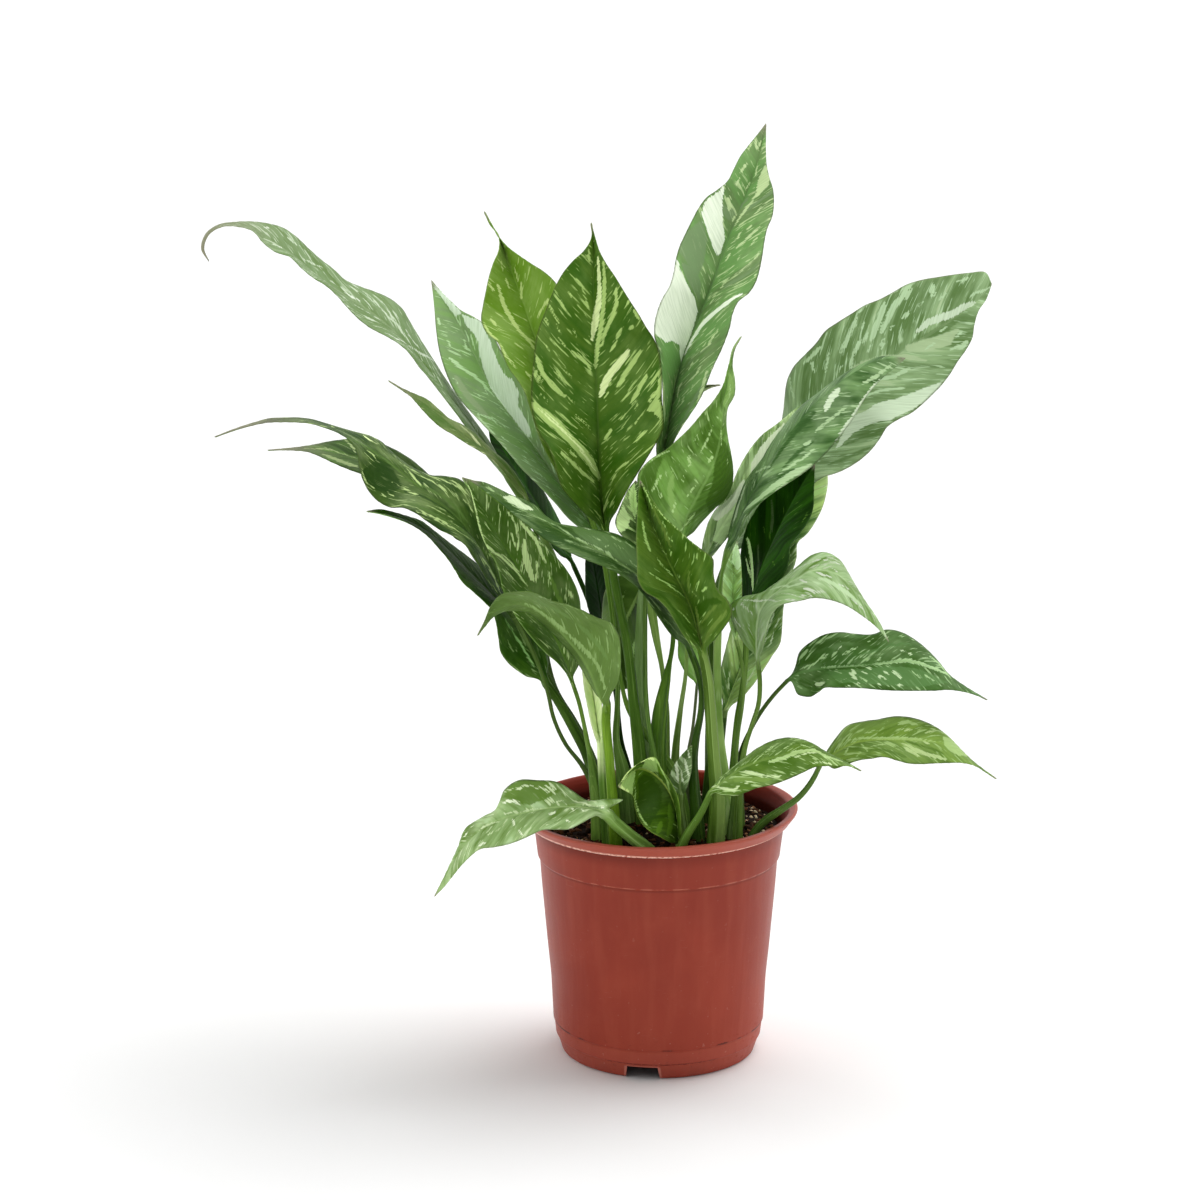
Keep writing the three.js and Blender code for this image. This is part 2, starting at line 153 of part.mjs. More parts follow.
    midrib: [[-55.14,-7.2,186.84],[-59.43,-8.27,196.51],[-64.41,-9.56,205.82],[-69.86,-11.07,214.83],[-76.12,-12.98,223.26],[-82.75,-14.98,231.33],[-89.55,-17.06,239.2],[-96.43,-19.28,246.95],[-103.5,-21.62,254.46],[-111.55,-24.11,260.63],[-120.43,-26.75,265.18],[-129.77,-29.52,268.29]],
    left: [[-51.69,-0.61,186.66],[-54.19,4.4,195.67],[-59.2,6.71,204.62],[-65.08,6.78,213.56],[-71.84,5.44,222.13],[-79.14,3.29,230.3],[-86.68,0.51,238.28],[-94.86,-3.16,245.59],[-102.86,-7.84,253.21],[-110.7,-13.63,261.04],[-120.15,-20.73,265.79],[-129.64,-28.62,269.65]],
    right: [[-59.71,-12.75,184.62],[-68.1,-18.19,191.83],[-73.9,-23.44,201.55],[-75.16,-28.61,213.24],[-78.19,-31.73,223.75],[-85.38,-33.45,231.25],[-92.28,-34.7,238.84],[-97.21,-35.47,247.86],[-103.65,-35.42,255.6],[-111.06,-34.51,262.12],[-119.99,-32.8,266.22],[-129.65,-30.76,268.47]],
    tip: [-134.38,-30.91,269.33] },
  { name: 'leaf_left_long', colour: 0x55703a, up: 1, radii: [3.70,3.03,2.37,1.96,1.58,1.54,1.60],
    petiole: [[18.09,-25.64,103.5],[17.09,-24.21,120.06],[15.83,-22.34,136.59],[16.09,-20.06,153.07],[18.85,-19.74,169.49],[18.81,-20.88,186.05],[13.69,-23.28,201.72]],
    midrib: [[11.05,-30.44,209.94],[6.26,-35.19,220.24],[0.28,-39.62,229.57],[-6.44,-42.9,237.89],[-14.09,-45.76,244.97],[-22.34,-48.43,251.1],[-30.87,-50.42,256.48],[-39.58,-51.58,261.26],[-48.09,-52.63,266.35],[-56.29,-53.45,271.88],[-64.74,-54.07,276.88],[-73.13,-54.59,281.94],[-81.52,-54.94,286.92]],
    left: [[13.37,-23.04,209.65],[10.15,-21.76,219.77],[5.93,-23,230.15],[0.51,-25.11,240.08],[-6.53,-27.79,248.82],[-15.03,-30.6,255.93],[-24.77,-32.55,260.2],[-35.11,-34.07,262.31],[-45.41,-36.61,264.71],[-53.49,-39.98,271.07],[-62,-44.09,277.79],[-71.44,-48.94,282.96],[-80.75,-54.05,288.26]],
    right: [[7.44,-37.42,209.35],[1.2,-48.29,220.18],[-4.37,-56.52,230.63],[-9.95,-61.69,240.1],[-17.51,-65.21,247.11],[-26.06,-67.85,252.22],[-34.99,-69.26,256.1],[-43.68,-69.22,260.17],[-52.1,-68.42,264.59],[-59.58,-66.77,270.29],[-67,-64.14,275.89],[-74.4,-60.45,281.32],[-82.06,-56.15,286.35]],
    tip: [-86.1,-55.05,289.22] },
  { name: 'leaf_front_dark', colour: 0x44611f, up: -1, radii: [4.40,3.79,3.23,2.90,2.76,2.61,2.30],
    petiole: [[25.53,-29.68,103.5],[26.29,-31.18,119.98],[26.21,-32.65,136.48],[24.68,-33.65,152.94],[23.44,-34.04,169.46],[22.15,-33.82,185.97],[19.46,-32.15,202.21]],
    midrib: [[18.36,-35.5,207.4],[15.8,-38.45,217.86],[12.86,-41.17,228.08],[8.76,-43.48,237.68],[4.36,-45.45,246.99],[0.29,-47.03,256.31],[-3.3,-48.31,265.73],[-6.32,-49.4,275.27],[-9,-50.22,284.82]],
    left: [[14.66,-44.56,208.56],[8.24,-56.88,220.42],[2.78,-62.8,230.99],[-4.83,-64.25,238.3],[-10.85,-64.29,246.05],[-11.38,-65.28,256.75],[-11.66,-63.38,266.72],[-11.15,-58.54,276],[-10.31,-51.57,284.8]],
    right: [[23.3,-43.56,210.01],[29.52,-52.52,221.82],[30.4,-57.02,233.3],[23.93,-61.93,243.78],[22.74,-60.09,254.65],[13.97,-62.71,262.12],[5.95,-62.3,269.9],[-1.65,-58.41,277.19],[-7.6,-51.51,285.16]],
    tip: [-9.86,-50.45,288.19] },
  { name: 'leaf_front_arching', colour: 0x86a060, up: -1, radii: [2.90,2.65,2.40,2.30,2.20,2.10],
    petiole: [[-20.24,-34.69,103.52],[-21.16,-35.93,119],[-22.21,-37.34,134.46],[-23.24,-38.83,149.91],[-24.65,-39.62,165.39],[-24.63,-40.96,180.85]],
    midrib: [[-26.19,-46.13,186.7],[-29.75,-48.93,196.12],[-34.1,-52.08,205.18],[-39.57,-55.49,213.48],[-45.56,-59.17,221.34],[-52.02,-63.13,228.7],[-59.54,-67.6,234.49],[-68.17,-72.55,236.3],[-75.92,-77.9,233.61],[-80.71,-83.61,227.52]],
    left: [[-20.92,-52.93,190.61],[-18.35,-61.01,204.45],[-18.65,-64.04,217.13],[-24.7,-68.17,227.99],[-35.18,-76.25,233.78],[-45.59,-81.58,239.34],[-55.87,-84.28,244.44],[-67.02,-84.91,245.18],[-76.04,-84.67,239.61],[-80.49,-84.75,228.88]],
    right: [[-28.53,-37.98,182.53],[-32.96,-32.33,188.49],[-37.16,-31.6,195.96],[-41.97,-33.83,203.81],[-47.42,-37.74,211.54],[-53.3,-43,219.11],[-59.95,-49.9,226.04],[-67.89,-58.74,229.51],[-75.37,-69.68,229.78],[-80.48,-82.21,226.63]],
    tip: [-82.54,-85.94,225.09] },
  { name: 'leaf_young_rolled', colour: 0x9fb478, up: -1, radii: [2.60,2.20,1.93,1.80],
    petiole: [[-24,-29.42,103.5],[-25.22,-29.53,121.57],[-26.68,-29.84,139.62],[-27.37,-28.86,157.69]],
    midrib: [[-27.84,-28.52,160.15],[-29.34,-27.1,169.08],[-30.55,-25.49,178],[-32.31,-23.84,186.81],[-34.44,-22.32,195.55],[-37.61,-20.96,204]],
    left: [[-29.7,-30.98,160.71],[-32.38,-33.69,170.46],[-34.09,-32.49,179.31],[-35.6,-30.11,187.85],[-36.56,-26.53,196.16],[-38,-21.41,203.99]],
    right: [[-26.11,-31,160.98],[-26.57,-33.55,171.38],[-27.19,-32.21,180.61],[-29.2,-29.81,189.3],[-32.79,-26.43,197.23],[-37.25,-21.36,204.27]],
    tip: [-38.45,-20.68,205.8] },
  { name: 'leaf_right_drooping', colour: 0x86a060, up: -1, radii: [2.60,2.00,1.50,1.10,1.10,1.10],
    petiole: [[36.54,-25.66,103.52],[36.69,-24.16,122.02],[37.67,-22.04,140.43],[40.68,-19.61,158.56],[46.06,-17.7,176.07],[45.33,-18.09,194.56]],
    midrib: [[44.64,-24.47,201.77],[44.38,-28.96,212.91],[45.95,-33.54,223.8],[52,-38.1,232.21],[59.42,-42.76,239.1],[67.3,-47.5,245.16],[76.29,-52.35,245.91],[83.66,-57.4,241.84],[89.54,-62.63,235.81],[95.07,-68.09,229.59],[99.74,-73.77,222.87]],
    left: [[40.46,-18.46,200.62],[34.39,-19.02,211.72],[33.08,-21.25,223.87],[44.26,-21.76,227.91],[54.24,-25.09,235.04],[63.31,-29.78,243.97],[72.85,-36.62,251.86],[82.55,-43.9,247.65],[88,-51.94,238.95],[93.97,-61.78,231.23],[99.43,-72.62,223.6]],
    right: [[46.76,-31.56,202.6],[47.71,-42.72,213.44],[49.18,-50.8,223.26],[53.24,-56.7,231.09],[60.2,-60.97,234.41],[67.45,-63.83,236.76],[74.8,-66.58,236.66],[81.76,-70.25,235.1],[88.12,-73.08,231.85],[94.19,-74.31,227.54],[99.48,-74.9,222.09]],
    tip: [101.46,-76.34,219.75] },
  { name: 'leaf_right_low', colour: 0x4a6636, up: -1, radii: [3.20,2.45,1.70,1.14,0.98,0.95],
    petiole: [[37.8,-3.71,103.5],[37.81,0.63,119.88],[37.75,2.04,136.78],[41.52,1.56,153.22],[49.33,-0.71,168.09],[59.58,-3.37,181.33]],
    midrib: [[63.32,-7.74,185.61],[72.74,-12.42,189.34],[82.45,-16.9,191.55],[92.12,-21.22,193.59],[101.68,-25.36,196.11],[111.3,-29.37,197.64],[120.71,-33.26,197.1],[129.48,-37.08,193.9],[137.75,-40.86,189.69],[146.1,-44.6,185.68]],
    left: [[62.93,-1.44,186.31],[67.29,-4.11,197.85],[76.75,-12.2,206.35],[88.55,-11.44,206.73],[100.16,-13,206.89],[111.03,-18.34,209.15],[120.92,-20.95,203.43],[128.88,-26.58,196.3],[136.38,-34.57,189.76],[145.62,-43.53,185.84]],
    right: [[62.42,-9.81,177.5],[71.86,-19.78,178.31],[76.16,-30.44,185.64],[86.04,-35.5,186.94],[96.01,-38.36,187.21],[106.05,-39.73,186.86],[116.01,-42.13,187.37],[125.84,-45.72,188.5],[135.82,-46.84,188.74],[145.75,-45.68,185.68]],
    tip: [149.45,-46.07,184.21] },
  { name: 'leaf_right_lowest', colour: 0x5f7c30, up: -1, radii: [2.00,1.80,1.60,1.40,1.20],
    petiole: [[42.03,-21.27,103.5],[46.69,-23.95,116.67],[56.44,-28.63,126.3],[66.87,-31,135.88],[74.04,-30,148.38]],
    midrib: [[77.09,-35.8,153.15],[85.29,-39.9,160.13],[94.73,-43.99,164.13],[104.54,-48.09,165.76],[114.34,-52.18,166.88],[124.05,-56.28,167.14],[133.15,-60.37,164.8],[141.25,-64.46,160.22],[149.22,-68.56,155.48]],
    left: [[76.1,-30.26,153.97],[82.84,-29.02,163.32],[92.3,-31.39,169.64],[103.37,-35.46,172.61],[114.35,-40.34,174.41],[124.79,-44.58,171.62],[133.42,-50.48,166.17],[140.66,-58.49,159.88],[148.83,-67.65,155.3]],
    right: [[78.07,-40.4,149.7],[86.26,-50.4,155.4],[95.08,-57.16,159.39],[104.17,-61.71,161.5],[112.96,-63.89,159.26],[122.21,-66.6,160.07],[131.41,-69.52,161.22],[140.7,-70.42,160.48],[149.22,-69.51,155.54]],
    tip: [152.02,-70,153.81] },
  { name: 'leaf_front_right_low', colour: 0x6a8a3a, up: -1, radii: [2.40,2.07,1.73,1.40],
    petiole: [[8.33,-43.48,103.5],[10.95,-47.21,116.69],[17.07,-50.55,128.88],[22.55,-52.34,141.72]],
    midrib: [[25.11,-56.12,145.72],[31.61,-60.15,152.7],[38.93,-64.23,158.34],[46.86,-68.39,162.5],[54.98,-72.61,165.91],[63.22,-76.9,168.42],[71.41,-81.24,169.03],[79.23,-85.62,167.41],[86.75,-90.01,165.08]],
    left: [[24.35,-50.93,145.54],[31.37,-49.37,151.65],[38.46,-51.26,158.57],[45.9,-55.3,165.45],[54.32,-60.39,170.58],[63.37,-65.61,171.61],[71.45,-71.95,169.43],[78.97,-80.05,166.83],[86.64,-89.12,165.06]],
    right: [[26.81,-60.29,142.87],[34.71,-67.26,144.91],[41.54,-74.09,150.5],[49.28,-78.01,153.32],[56.63,-82.42,157.46],[63.69,-86.85,162.23],[71,-89.94,165.72],[78.91,-91.1,166.31],[86.78,-90.89,165.11]],
    tip: [89.32,-91.55,164.12] },
  { name: 'leaf_over_rim', colour: 0x5f7c34, up: 1, radii: [2.60,2.93,3.03,2.90],
    petiole: [[-0.43,-43.41,103.5],[-7.02,-46.2,113.66],[-15.64,-50.34,121.94],[-24.16,-52,131.07]],
    midrib: [[-28.57,-55.18,134.39],[-38.28,-57.88,137.11],[-48.18,-60.96,137.71],[-57.93,-64.35,137.02],[-67.51,-68.21,135.86],[-76.72,-73.16,133.97],[-84.61,-78.34,129.63],[-91.03,-82.68,123.3],[-96.05,-85.47,115.35],[-100.92,-87.45,107.01]],
    left: [[-17.52,-54.39,136.79],[-26.82,-51.82,138.05],[-38.95,-48.58,140.24],[-50.23,-53.94,147.78],[-63.2,-62.11,151.17],[-72.65,-61.39,142.93],[-80.87,-66.05,134.85],[-90.81,-73.11,128.65],[-94.86,-79.74,118],[-100.36,-86.58,107.9]],
    right: [[-29.45,-61.62,133.41],[-37.73,-70,132.06],[-46.36,-75.7,131.52],[-55.22,-80.23,132.16],[-63.45,-83,129.04],[-72.01,-86.88,127.34],[-80.86,-91.45,127.45],[-88.07,-93.09,122.41],[-94.12,-91.54,114.7],[-100.16,-88.35,106.33]],
    tip: [-102.83,-88,103.62] },
  { name: 'leaf_front_curled', colour: 0x4f6a28, up: -1, radii: [2.40,2.13,1.87,1.60],
    petiole: [[9.28,-37.58,103.52],[9.28,-37.2,106.08],[9.19,-36.89,108.64],[8.8,-36.67,111.19]],
    midrib: [[8.77,-35.53,113.87],[8.29,-33.79,122.55],[6.58,-33.84,131.61],[2.72,-34.58,140.08],[-3.63,-35.79,146.73],[-11.95,-40.74,149.42],[-18.11,-48.41,145.24]],
    left: [[5.86,-43.26,114.34],[0.11,-50.08,119.71],[-5.42,-48.21,122.38],[-9.68,-40.56,124.81],[-11.71,-40.56,131.13],[-12.76,-44.43,138.92],[-18,-48.92,142.95]],
    right: [[9.57,-43.21,116.83],[9.26,-50.7,129.88],[7.35,-52.54,140.86],[2.35,-52.24,149.94],[-2.38,-49.33,157.94],[-11.65,-50.37,154.26],[-18.29,-49.56,146.18]],
    tip: [-19.58,-50.6,144.06] },
  { name: 'leaf_young_white', colour: 0xa8b890, up: -1, radii: [2.00,1.70,1.40,1.10],
    petiole: [[12.46,-27.3,103.5],[11.8,-27.32,113.14],[10.65,-26.27,122.67],[10.33,-24.49,132.15]],
    midrib: [[9.99,-24.29,133.31],[9.41,-23.84,137.76],[9.8,-23.62,142.29],[11.12,-23.68,146.71],[12.61,-23.99,151.15],[14.41,-24.49,155.49]],
    left: [[7.69,-25.13,133.15],[4.27,-26.15,137.52],[4.91,-26.91,143.18],[7.04,-26.86,148.13],[10.19,-26.33,152.34],[13.95,-24.62,155.68]],
    right: [[11.7,-25.89,133.72],[13.11,-27.89,138.59],[14.19,-27.64,142.88],[14.82,-27.52,147.3],[14.82,-26.75,151.57],[14.84,-24.73,155.48]],
    tip: [14.84,-24.62,156.44] },
  { name: 'leaf_young_centre', colour: 0x7f9a50, up: -1, radii: [2.20,1.84,1.49,1.20,1.17,1.15,1.12,1.10],
    petiole: [[1.35,-10.94,103.5],[0.52,-14.9,122.57],[-1.72,-14.54,141.83],[-4.95,-10.4,160.61],[-6.65,-7.53,179.79],[-6.9,-8.08,199.28],[-6.95,-11.17,218.54],[-5.72,-16.72,237.17]],
    midrib: [[-6.31,-16.72,239.31],[-8.22,-17.41,247.31],[-9.77,-19.26,255.65],[-11.07,-20.82,263.94],[-12.25,-21.98,272.12],[-11.76,-23,280.3]],
    left: [[-7.88,-20.56,240.35],[-12.5,-26.28,249.69],[-18.03,-26.13,256.83],[-20.52,-23.31,264.33],[-17.21,-25.91,273.41],[-12.81,-23.02,280.63]],
    right: [[-3.97,-20.24,240.14],[-2.23,-25.34,249.43],[-2.91,-27.38,258.14],[-4.58,-27.78,266.29],[-7.47,-26.16,273.57],[-10.64,-23.05,280.39]],
    tip: [-11.4,-23.21,282.06] },
  { name: 'leaf_inner_shaded', colour: 0x1e2c12, up: 1, radii: [2.40,1.80,1.20,1.20,1.20,1.20],
    petiole: [[-10.69,27.21,103.65],[-12.69,27.91,121.38],[-16.85,28.3,138.72],[-19.26,30.81,156.19],[-21.54,34.57,173.47],[-24.03,34.53,191.03]],
    midrib: [[-24.66,38.91,192.28],[-26.69,38.56,201.25],[-28.14,37.6,210.47],[-29.5,36.05,219.82],[-30.88,34.44,229.15],[-32.26,32.7,238.48]],
    left: [[-26.63,42.91,190.78],[-31.72,47.74,197.45],[-34.39,47.12,206.74],[-34.99,44.78,216.81],[-34.96,40.06,227.47],[-33.23,33.06,238.39]],
    right: [[-22.73,43.09,191.32],[-22.1,48.5,199.34],[-22.46,48.01,208.92],[-23.69,45.07,219.01],[-26.52,40.11,229.15],[-31.27,33,238.8]],
    tip: [-32.56,32.3,240.52] },
  { name: 'leaf_inner_hanging', colour: 0x4f6a34, up: 1, radii: [3.50,3.00,2.56,2.33,2.12,1.91,1.70],
    petiole: [[-3.02,24.36,103.57],[-3.86,21.75,123.16],[-5.41,19.08,142.7],[-8.43,17.39,162.16],[-9.32,17.05,181.91],[-9.25,17.51,201.68],[-8.07,20.07,221.2]],
    midrib: [[-9.16,19.99,218.82],[-13.18,19.83,210.11],[-17.01,20.08,201.18],[-19.8,20.72,191.72],[-21.2,21.85,181.77],[-20.6,23.52,171.53]],
    left: [[-11.53,24.77,223.47],[-22.89,26.04,222.49],[-26.8,33.47,208.22],[-26.88,34.96,194.49],[-26.11,31.37,182.12],[-21.87,24.3,171.59]],
    right: [[-7.15,26.06,215.83],[-7.58,33.93,203.28],[-8.31,33.37,192.86],[-8.36,28.62,183.54],[-9.85,20.04,175.49],[-18,23.14,169.63]],
    tip: [-20.24,23.95,169.29] },
  { name: 'leaf_inner_right', colour: 0x6f8c48, up: -1, radii: [2.00,1.56,1.05,0.78,0.75],
    petiole: [[14.83,18.69,103.66],[14.11,18.76,120.87],[14.06,19.67,138.04],[16.74,24.37,154.36],[18.35,29.64,170.65]],
    midrib: [[17.67,30.4,172.48],[15.52,32.34,179.46],[14.06,33.63,186.76],[14.62,33.47,194.59],[16.08,32.91,202.36],[18.88,31.95,209.81]],
    left: [[15.65,26.77,173.57],[10.77,23.55,181.44],[9.11,24.26,189.49],[9.3,25.69,197.65],[12.74,27.84,204.81],[18.11,31.65,210.32]],
    right: [[19.67,34.17,171.93],[20.53,40.99,177.52],[20.92,42.02,184.73],[20.87,40.85,192.54],[20.72,37.37,200.93],[19.83,32.15,209.69]],
    tip: [19.57,31.68,211.42] },
  { name: 'leaf_young_sliver', colour: 0x8ea468, up: -1, radii: [2.00,1.58,1.17,0.98,0.96,0.93,0.90],
    petiole: [[32.51,-22.62,103.5],[34.14,-19.04,119.91],[35.23,-15.26,136.33],[36.14,-11.62,152.79],[38.39,-7.52,169],[38.84,-6.2,185.69],[35.44,-7.11,202.17]],
    midrib: [[35.19,-7.28,204.59],[34.43,-8.34,213.53],[33.87,-9.95,222.6],[33.71,-12.35,231.83],[33.99,-15.11,241.11],[34.82,-18.39,250.41]],
    left: [[33.72,-10.35,205.43],[31.2,-15.71,215.55],[28.66,-17.01,224.5],[28.77,-18.37,233.77],[30.74,-19.07,242.57],[34.25,-18.77,250.61]],
    right: [[36.59,-10.39,205.41],[37.28,-15.9,215.49],[37.59,-17.83,224.63],[37.48,-19.22,233.61],[37.02,-19.37,242.23],[35.59,-18.59,250.49]],
    tip: [35.08,-19.17,252.45] },
];

// ---------------------------------------------------------------- helpers
const V = (p) => new THREE.Vector3(p[0], p[1], p[2]);

function solidFromGeometry(source) {
  let g = source.clone();
  g.deleteAttribute('normal');
  g.deleteAttribute('uv');
  if (!g.index) g = mergeVertices(g, 1e-4);
  g = mergeVertices(g, 1e-4);
  return new wasm.Manifold(new wasm.Mesh({
    numProp: 3,
    vertProperties: new Float32Array(g.attributes.position.array),
    triVerts: new Uint32Array(g.index.array),
  }));
}

function geometryFromSolid(solid) {
  const m = solid.getMesh();
  const pos = new Float32Array(m.numVert * 3);
  for (let i = 0; i < m.numVert; i++) {
    for (let k = 0; k < 3; k++) pos[i * 3 + k] = m.vertProperties[i * m.numProp + k];
  }
  const g = new THREE.BufferGeometry();
  g.setAttribute('position', new THREE.BufferAttribute(pos, 3));
  g.setIndex(new THREE.BufferAttribute(new Uint32Array(m.triVerts), 1));
  g.computeVertexNormals();
  return g;
}

function meshGeometry(points, faces) {
  const g = new THREE.BufferGeometry();
  g.setAttribute('position', new THREE.Float32BufferAttribute(points.flatMap((p) => [p.x, p.y, p.z]), 3));
  g.setIndex(faces.flat());
  let volume = 0;
  for (const [a, b, c] of faces) volume += points[a].clone().cross(points[b]).dot(points[c]);
  if (volume < 0) g.setIndex(faces.map(([a, b, c]) => [a, c, b]).flat());
  g.computeVertexNormals();
  return g;
}

// ring of a lathe profile turned about Z
function revolve(profile, segments) {
  const g = new THREE.LatheGeometry(profile.map(([r, z]) => new THREE.Vector2(r, z)), segments);
  g.rotateX(Math.PI / 2);            // lathe axis from Y to Z
  return g;
}

// ---------------------------------------------------------------- pot
function outerRadius(z) {
  const rows = [[0, FOOT_R - 0.6], [FOOT_TOP_Z, 48.3], [STEP_Z, 49.9], ...WALL_ROWS, [COLLAR_Z, COLLAR_R], [LIP_Z, LIP_NECK_R]];
  for (let i = 1; i < rows.length; i++) {
    if (z <= rows[i][0]) {
      const t = (z - rows[i - 1][0]) / (rows[i][0] - rows[i - 1][0]);
      return rows[i - 1][1] + t * (rows[i][1] - rows[i - 1][1]);
    }
  }
  return rows.at(-1)[1];
}

// the rim of a used thin pot is a little out of round and sags unevenly
function warpRim(g) {
  const p = g.attributes.position;
  for (let i = 0; i < p.count; i++) {
    const x = p.getX(i), y = p.getY(i), z = p.getZ(i);
    if (z < COLLAR_Z) continue;
    const a = Math.atan2(y, x);
    const k = Math.min(1, (z - COLLAR_Z) / (POT_HEIGHT - COLLAR_Z));
    const out = 1 + (0.002 * Math.cos(a - 0.1) + 0.008 * Math.cos(2 * a + 0.2)) * k;
    p.setXYZ(i, x * out, y * out, z + 0.7 * k * Math.cos(a + 0.3));
  }
  return g;
}

function makePot() {
  const inner = (z) => outerRadius(z) - WALL;
  const profile = [
    [FOOT_R - 0.6, 0],
    [48.3, FOOT_TOP_Z], [48.9, FOOT_TOP_Z + 0.5],
    [49.6, STEP_Z - 0.6], [50.1, STEP_Z],
    ...WALL_ROWS.map(([z, r]) => [r, z]),
    [COLLAR_R, COLLAR_Z - 0.4], [COLLAR_R + COLLAR_STEP, COLLAR_Z + 0.5],
    [LIP_NECK_R, LIP_Z], [LIP_BOTTOM_R, LIP_Z + 0.2],
    [62.8, LIP_Z + 2.6], [RIM_R - 0.5, POT_HEIGHT - 1.6], [RIM_R - 0.2, POT_HEIGHT - 0.4],
    [RIM_R - 1.3, POT_HEIGHT], [61.4, POT_HEIGHT - 0.5],
    [59.6, POT_HEIGHT - 2.4], [57.2, LIP_Z], [inner(COLLAR_Z) + 0.8, COLLAR_Z + 1.5],
    [inner(COLLAR_Z - 1.5), COLLAR_Z - 1.5],
    ...[...WALL_ROWS].reverse().map(([z]) => [inner(z), z]),
    [inner(STEP_Z), STEP_Z], [46.6, BASE_UNDER_Z + BASE_PLATE],
    [0, BASE_UNDER_Z + BASE_PLATE + 0.6], [0, BASE_UNDER_Z + 0.6],
    [FOOT_R - FOOT_WALL - 0.4, BASE_UNDER_Z],
    [FOOT_R - FOOT_WALL - 0.6, 0],
    [FOOT_R - 0.6, 0],
  ];
  const wall = revolve(profile, POT_SEGMENTS);
  let pot = solidFromGeometry(warpRim(wall));
  for (let i = 0; i < NOTCH_COUNT; i++) {
    const a = THREE.MathUtils.degToRad(NOTCH_ANGLE + (360 / NOTCH_COUNT) * i);
    const box = new THREE.BoxGeometry(14, NOTCH_WIDTH, NOTCH_HEIGHT + 4);
    box.translate(FOOT_R - 1, 0, NOTCH_HEIGHT / 2 - 2);
    box.rotateZ(a);
    pot = pot.subtract(solidFromGeometry(box));
  }
  for (let i = 0; i < DRAIN_COUNT; i++) {
    const a = ((i + 0.5) / DRAIN_COUNT) * Math.PI * 2;
    const hole = new THREE.CylinderGeometry(DRAIN_R, DRAIN_R, 8, 12);
    hole.rotateX(Math.PI / 2);
    hole.translate(DRAIN_RING_R * Math.cos(a), DRAIN_RING_R * Math.sin(a), BASE_UNDER_Z + 1);
    pot = pot.subtract(solidFromGeometry(hole));
  }
  return geometryFromSolid(pot);
}

// ---------------------------------------------------------------- potting mix
function makeSoil() {
  const r = (z) => outerRadius(z) - WALL - GAP - 0.25;
  const bottom = BASE_UNDER_Z + BASE_PLATE + 1.1;
  const profile = [
    [0, bottom], [46.2 - GAP, bottom], [r(STEP_Z + 1), STEP_Z + 1],
    ...WALL_ROWS.map(([z]) => [r(z), z]), [r(COLLAR_Z - 3), COLLAR_Z - 3],
    [r(SOIL_Z) - 0.3, SOIL_Z - 0.8], [r(SOIL_Z) - 3, SOIL_Z], [38, SOIL_Z + SOIL_DOME * 0.5], [18, SOIL_Z + SOIL_DOME],
    [0, SOIL_Z + SOIL_DOME],
  ];
  const body = revolve(profile, 28);
  const p = body.attributes.position;
  for (let i = 0; i < p.count; i++) {  // low lumps in the surface
    const x = p.getX(i), y = p.getY(i), z = p.getZ(i);
    if (z < SOIL_Z - 0.1) continue;
    p.setZ(i, z + 0.5 * Math.sin(x * 0.21 + 1.3) * Math.cos(y * 0.17) * Math.min(1, Math.hypot(x, y) / 10));
  }
  let soil = solidFromGeometry(body);
  for (const leaf of LEAVES) {         // socket for the foot of each petiole
    const a = V(leaf.petiole[0]), b = V(leaf.petiole[1]);
    const dir = b.clone().sub(a).normalize();
    const hole = Math.max(leaf.radii[0], leaf.radii[1]) + GAP + 0.35;
    const socket = new THREE.CylinderGeometry(hole, hole, 40, 8, 1);
    socket.rotateY(Math.PI / 8);
    socket.applyQuaternion(new THREE.Quaternion().setFromUnitVectors(new THREE.Vector3(0, 1, 0), dir));
    const c = a.clone().addScaledVector(dir, 20 - 2.2);
    socket.translate(c.x, c.y, c.z);
    soil = soil.subtract(solidFromGeometry(socket));
  }
  return geometryFromSolid(soil);
}

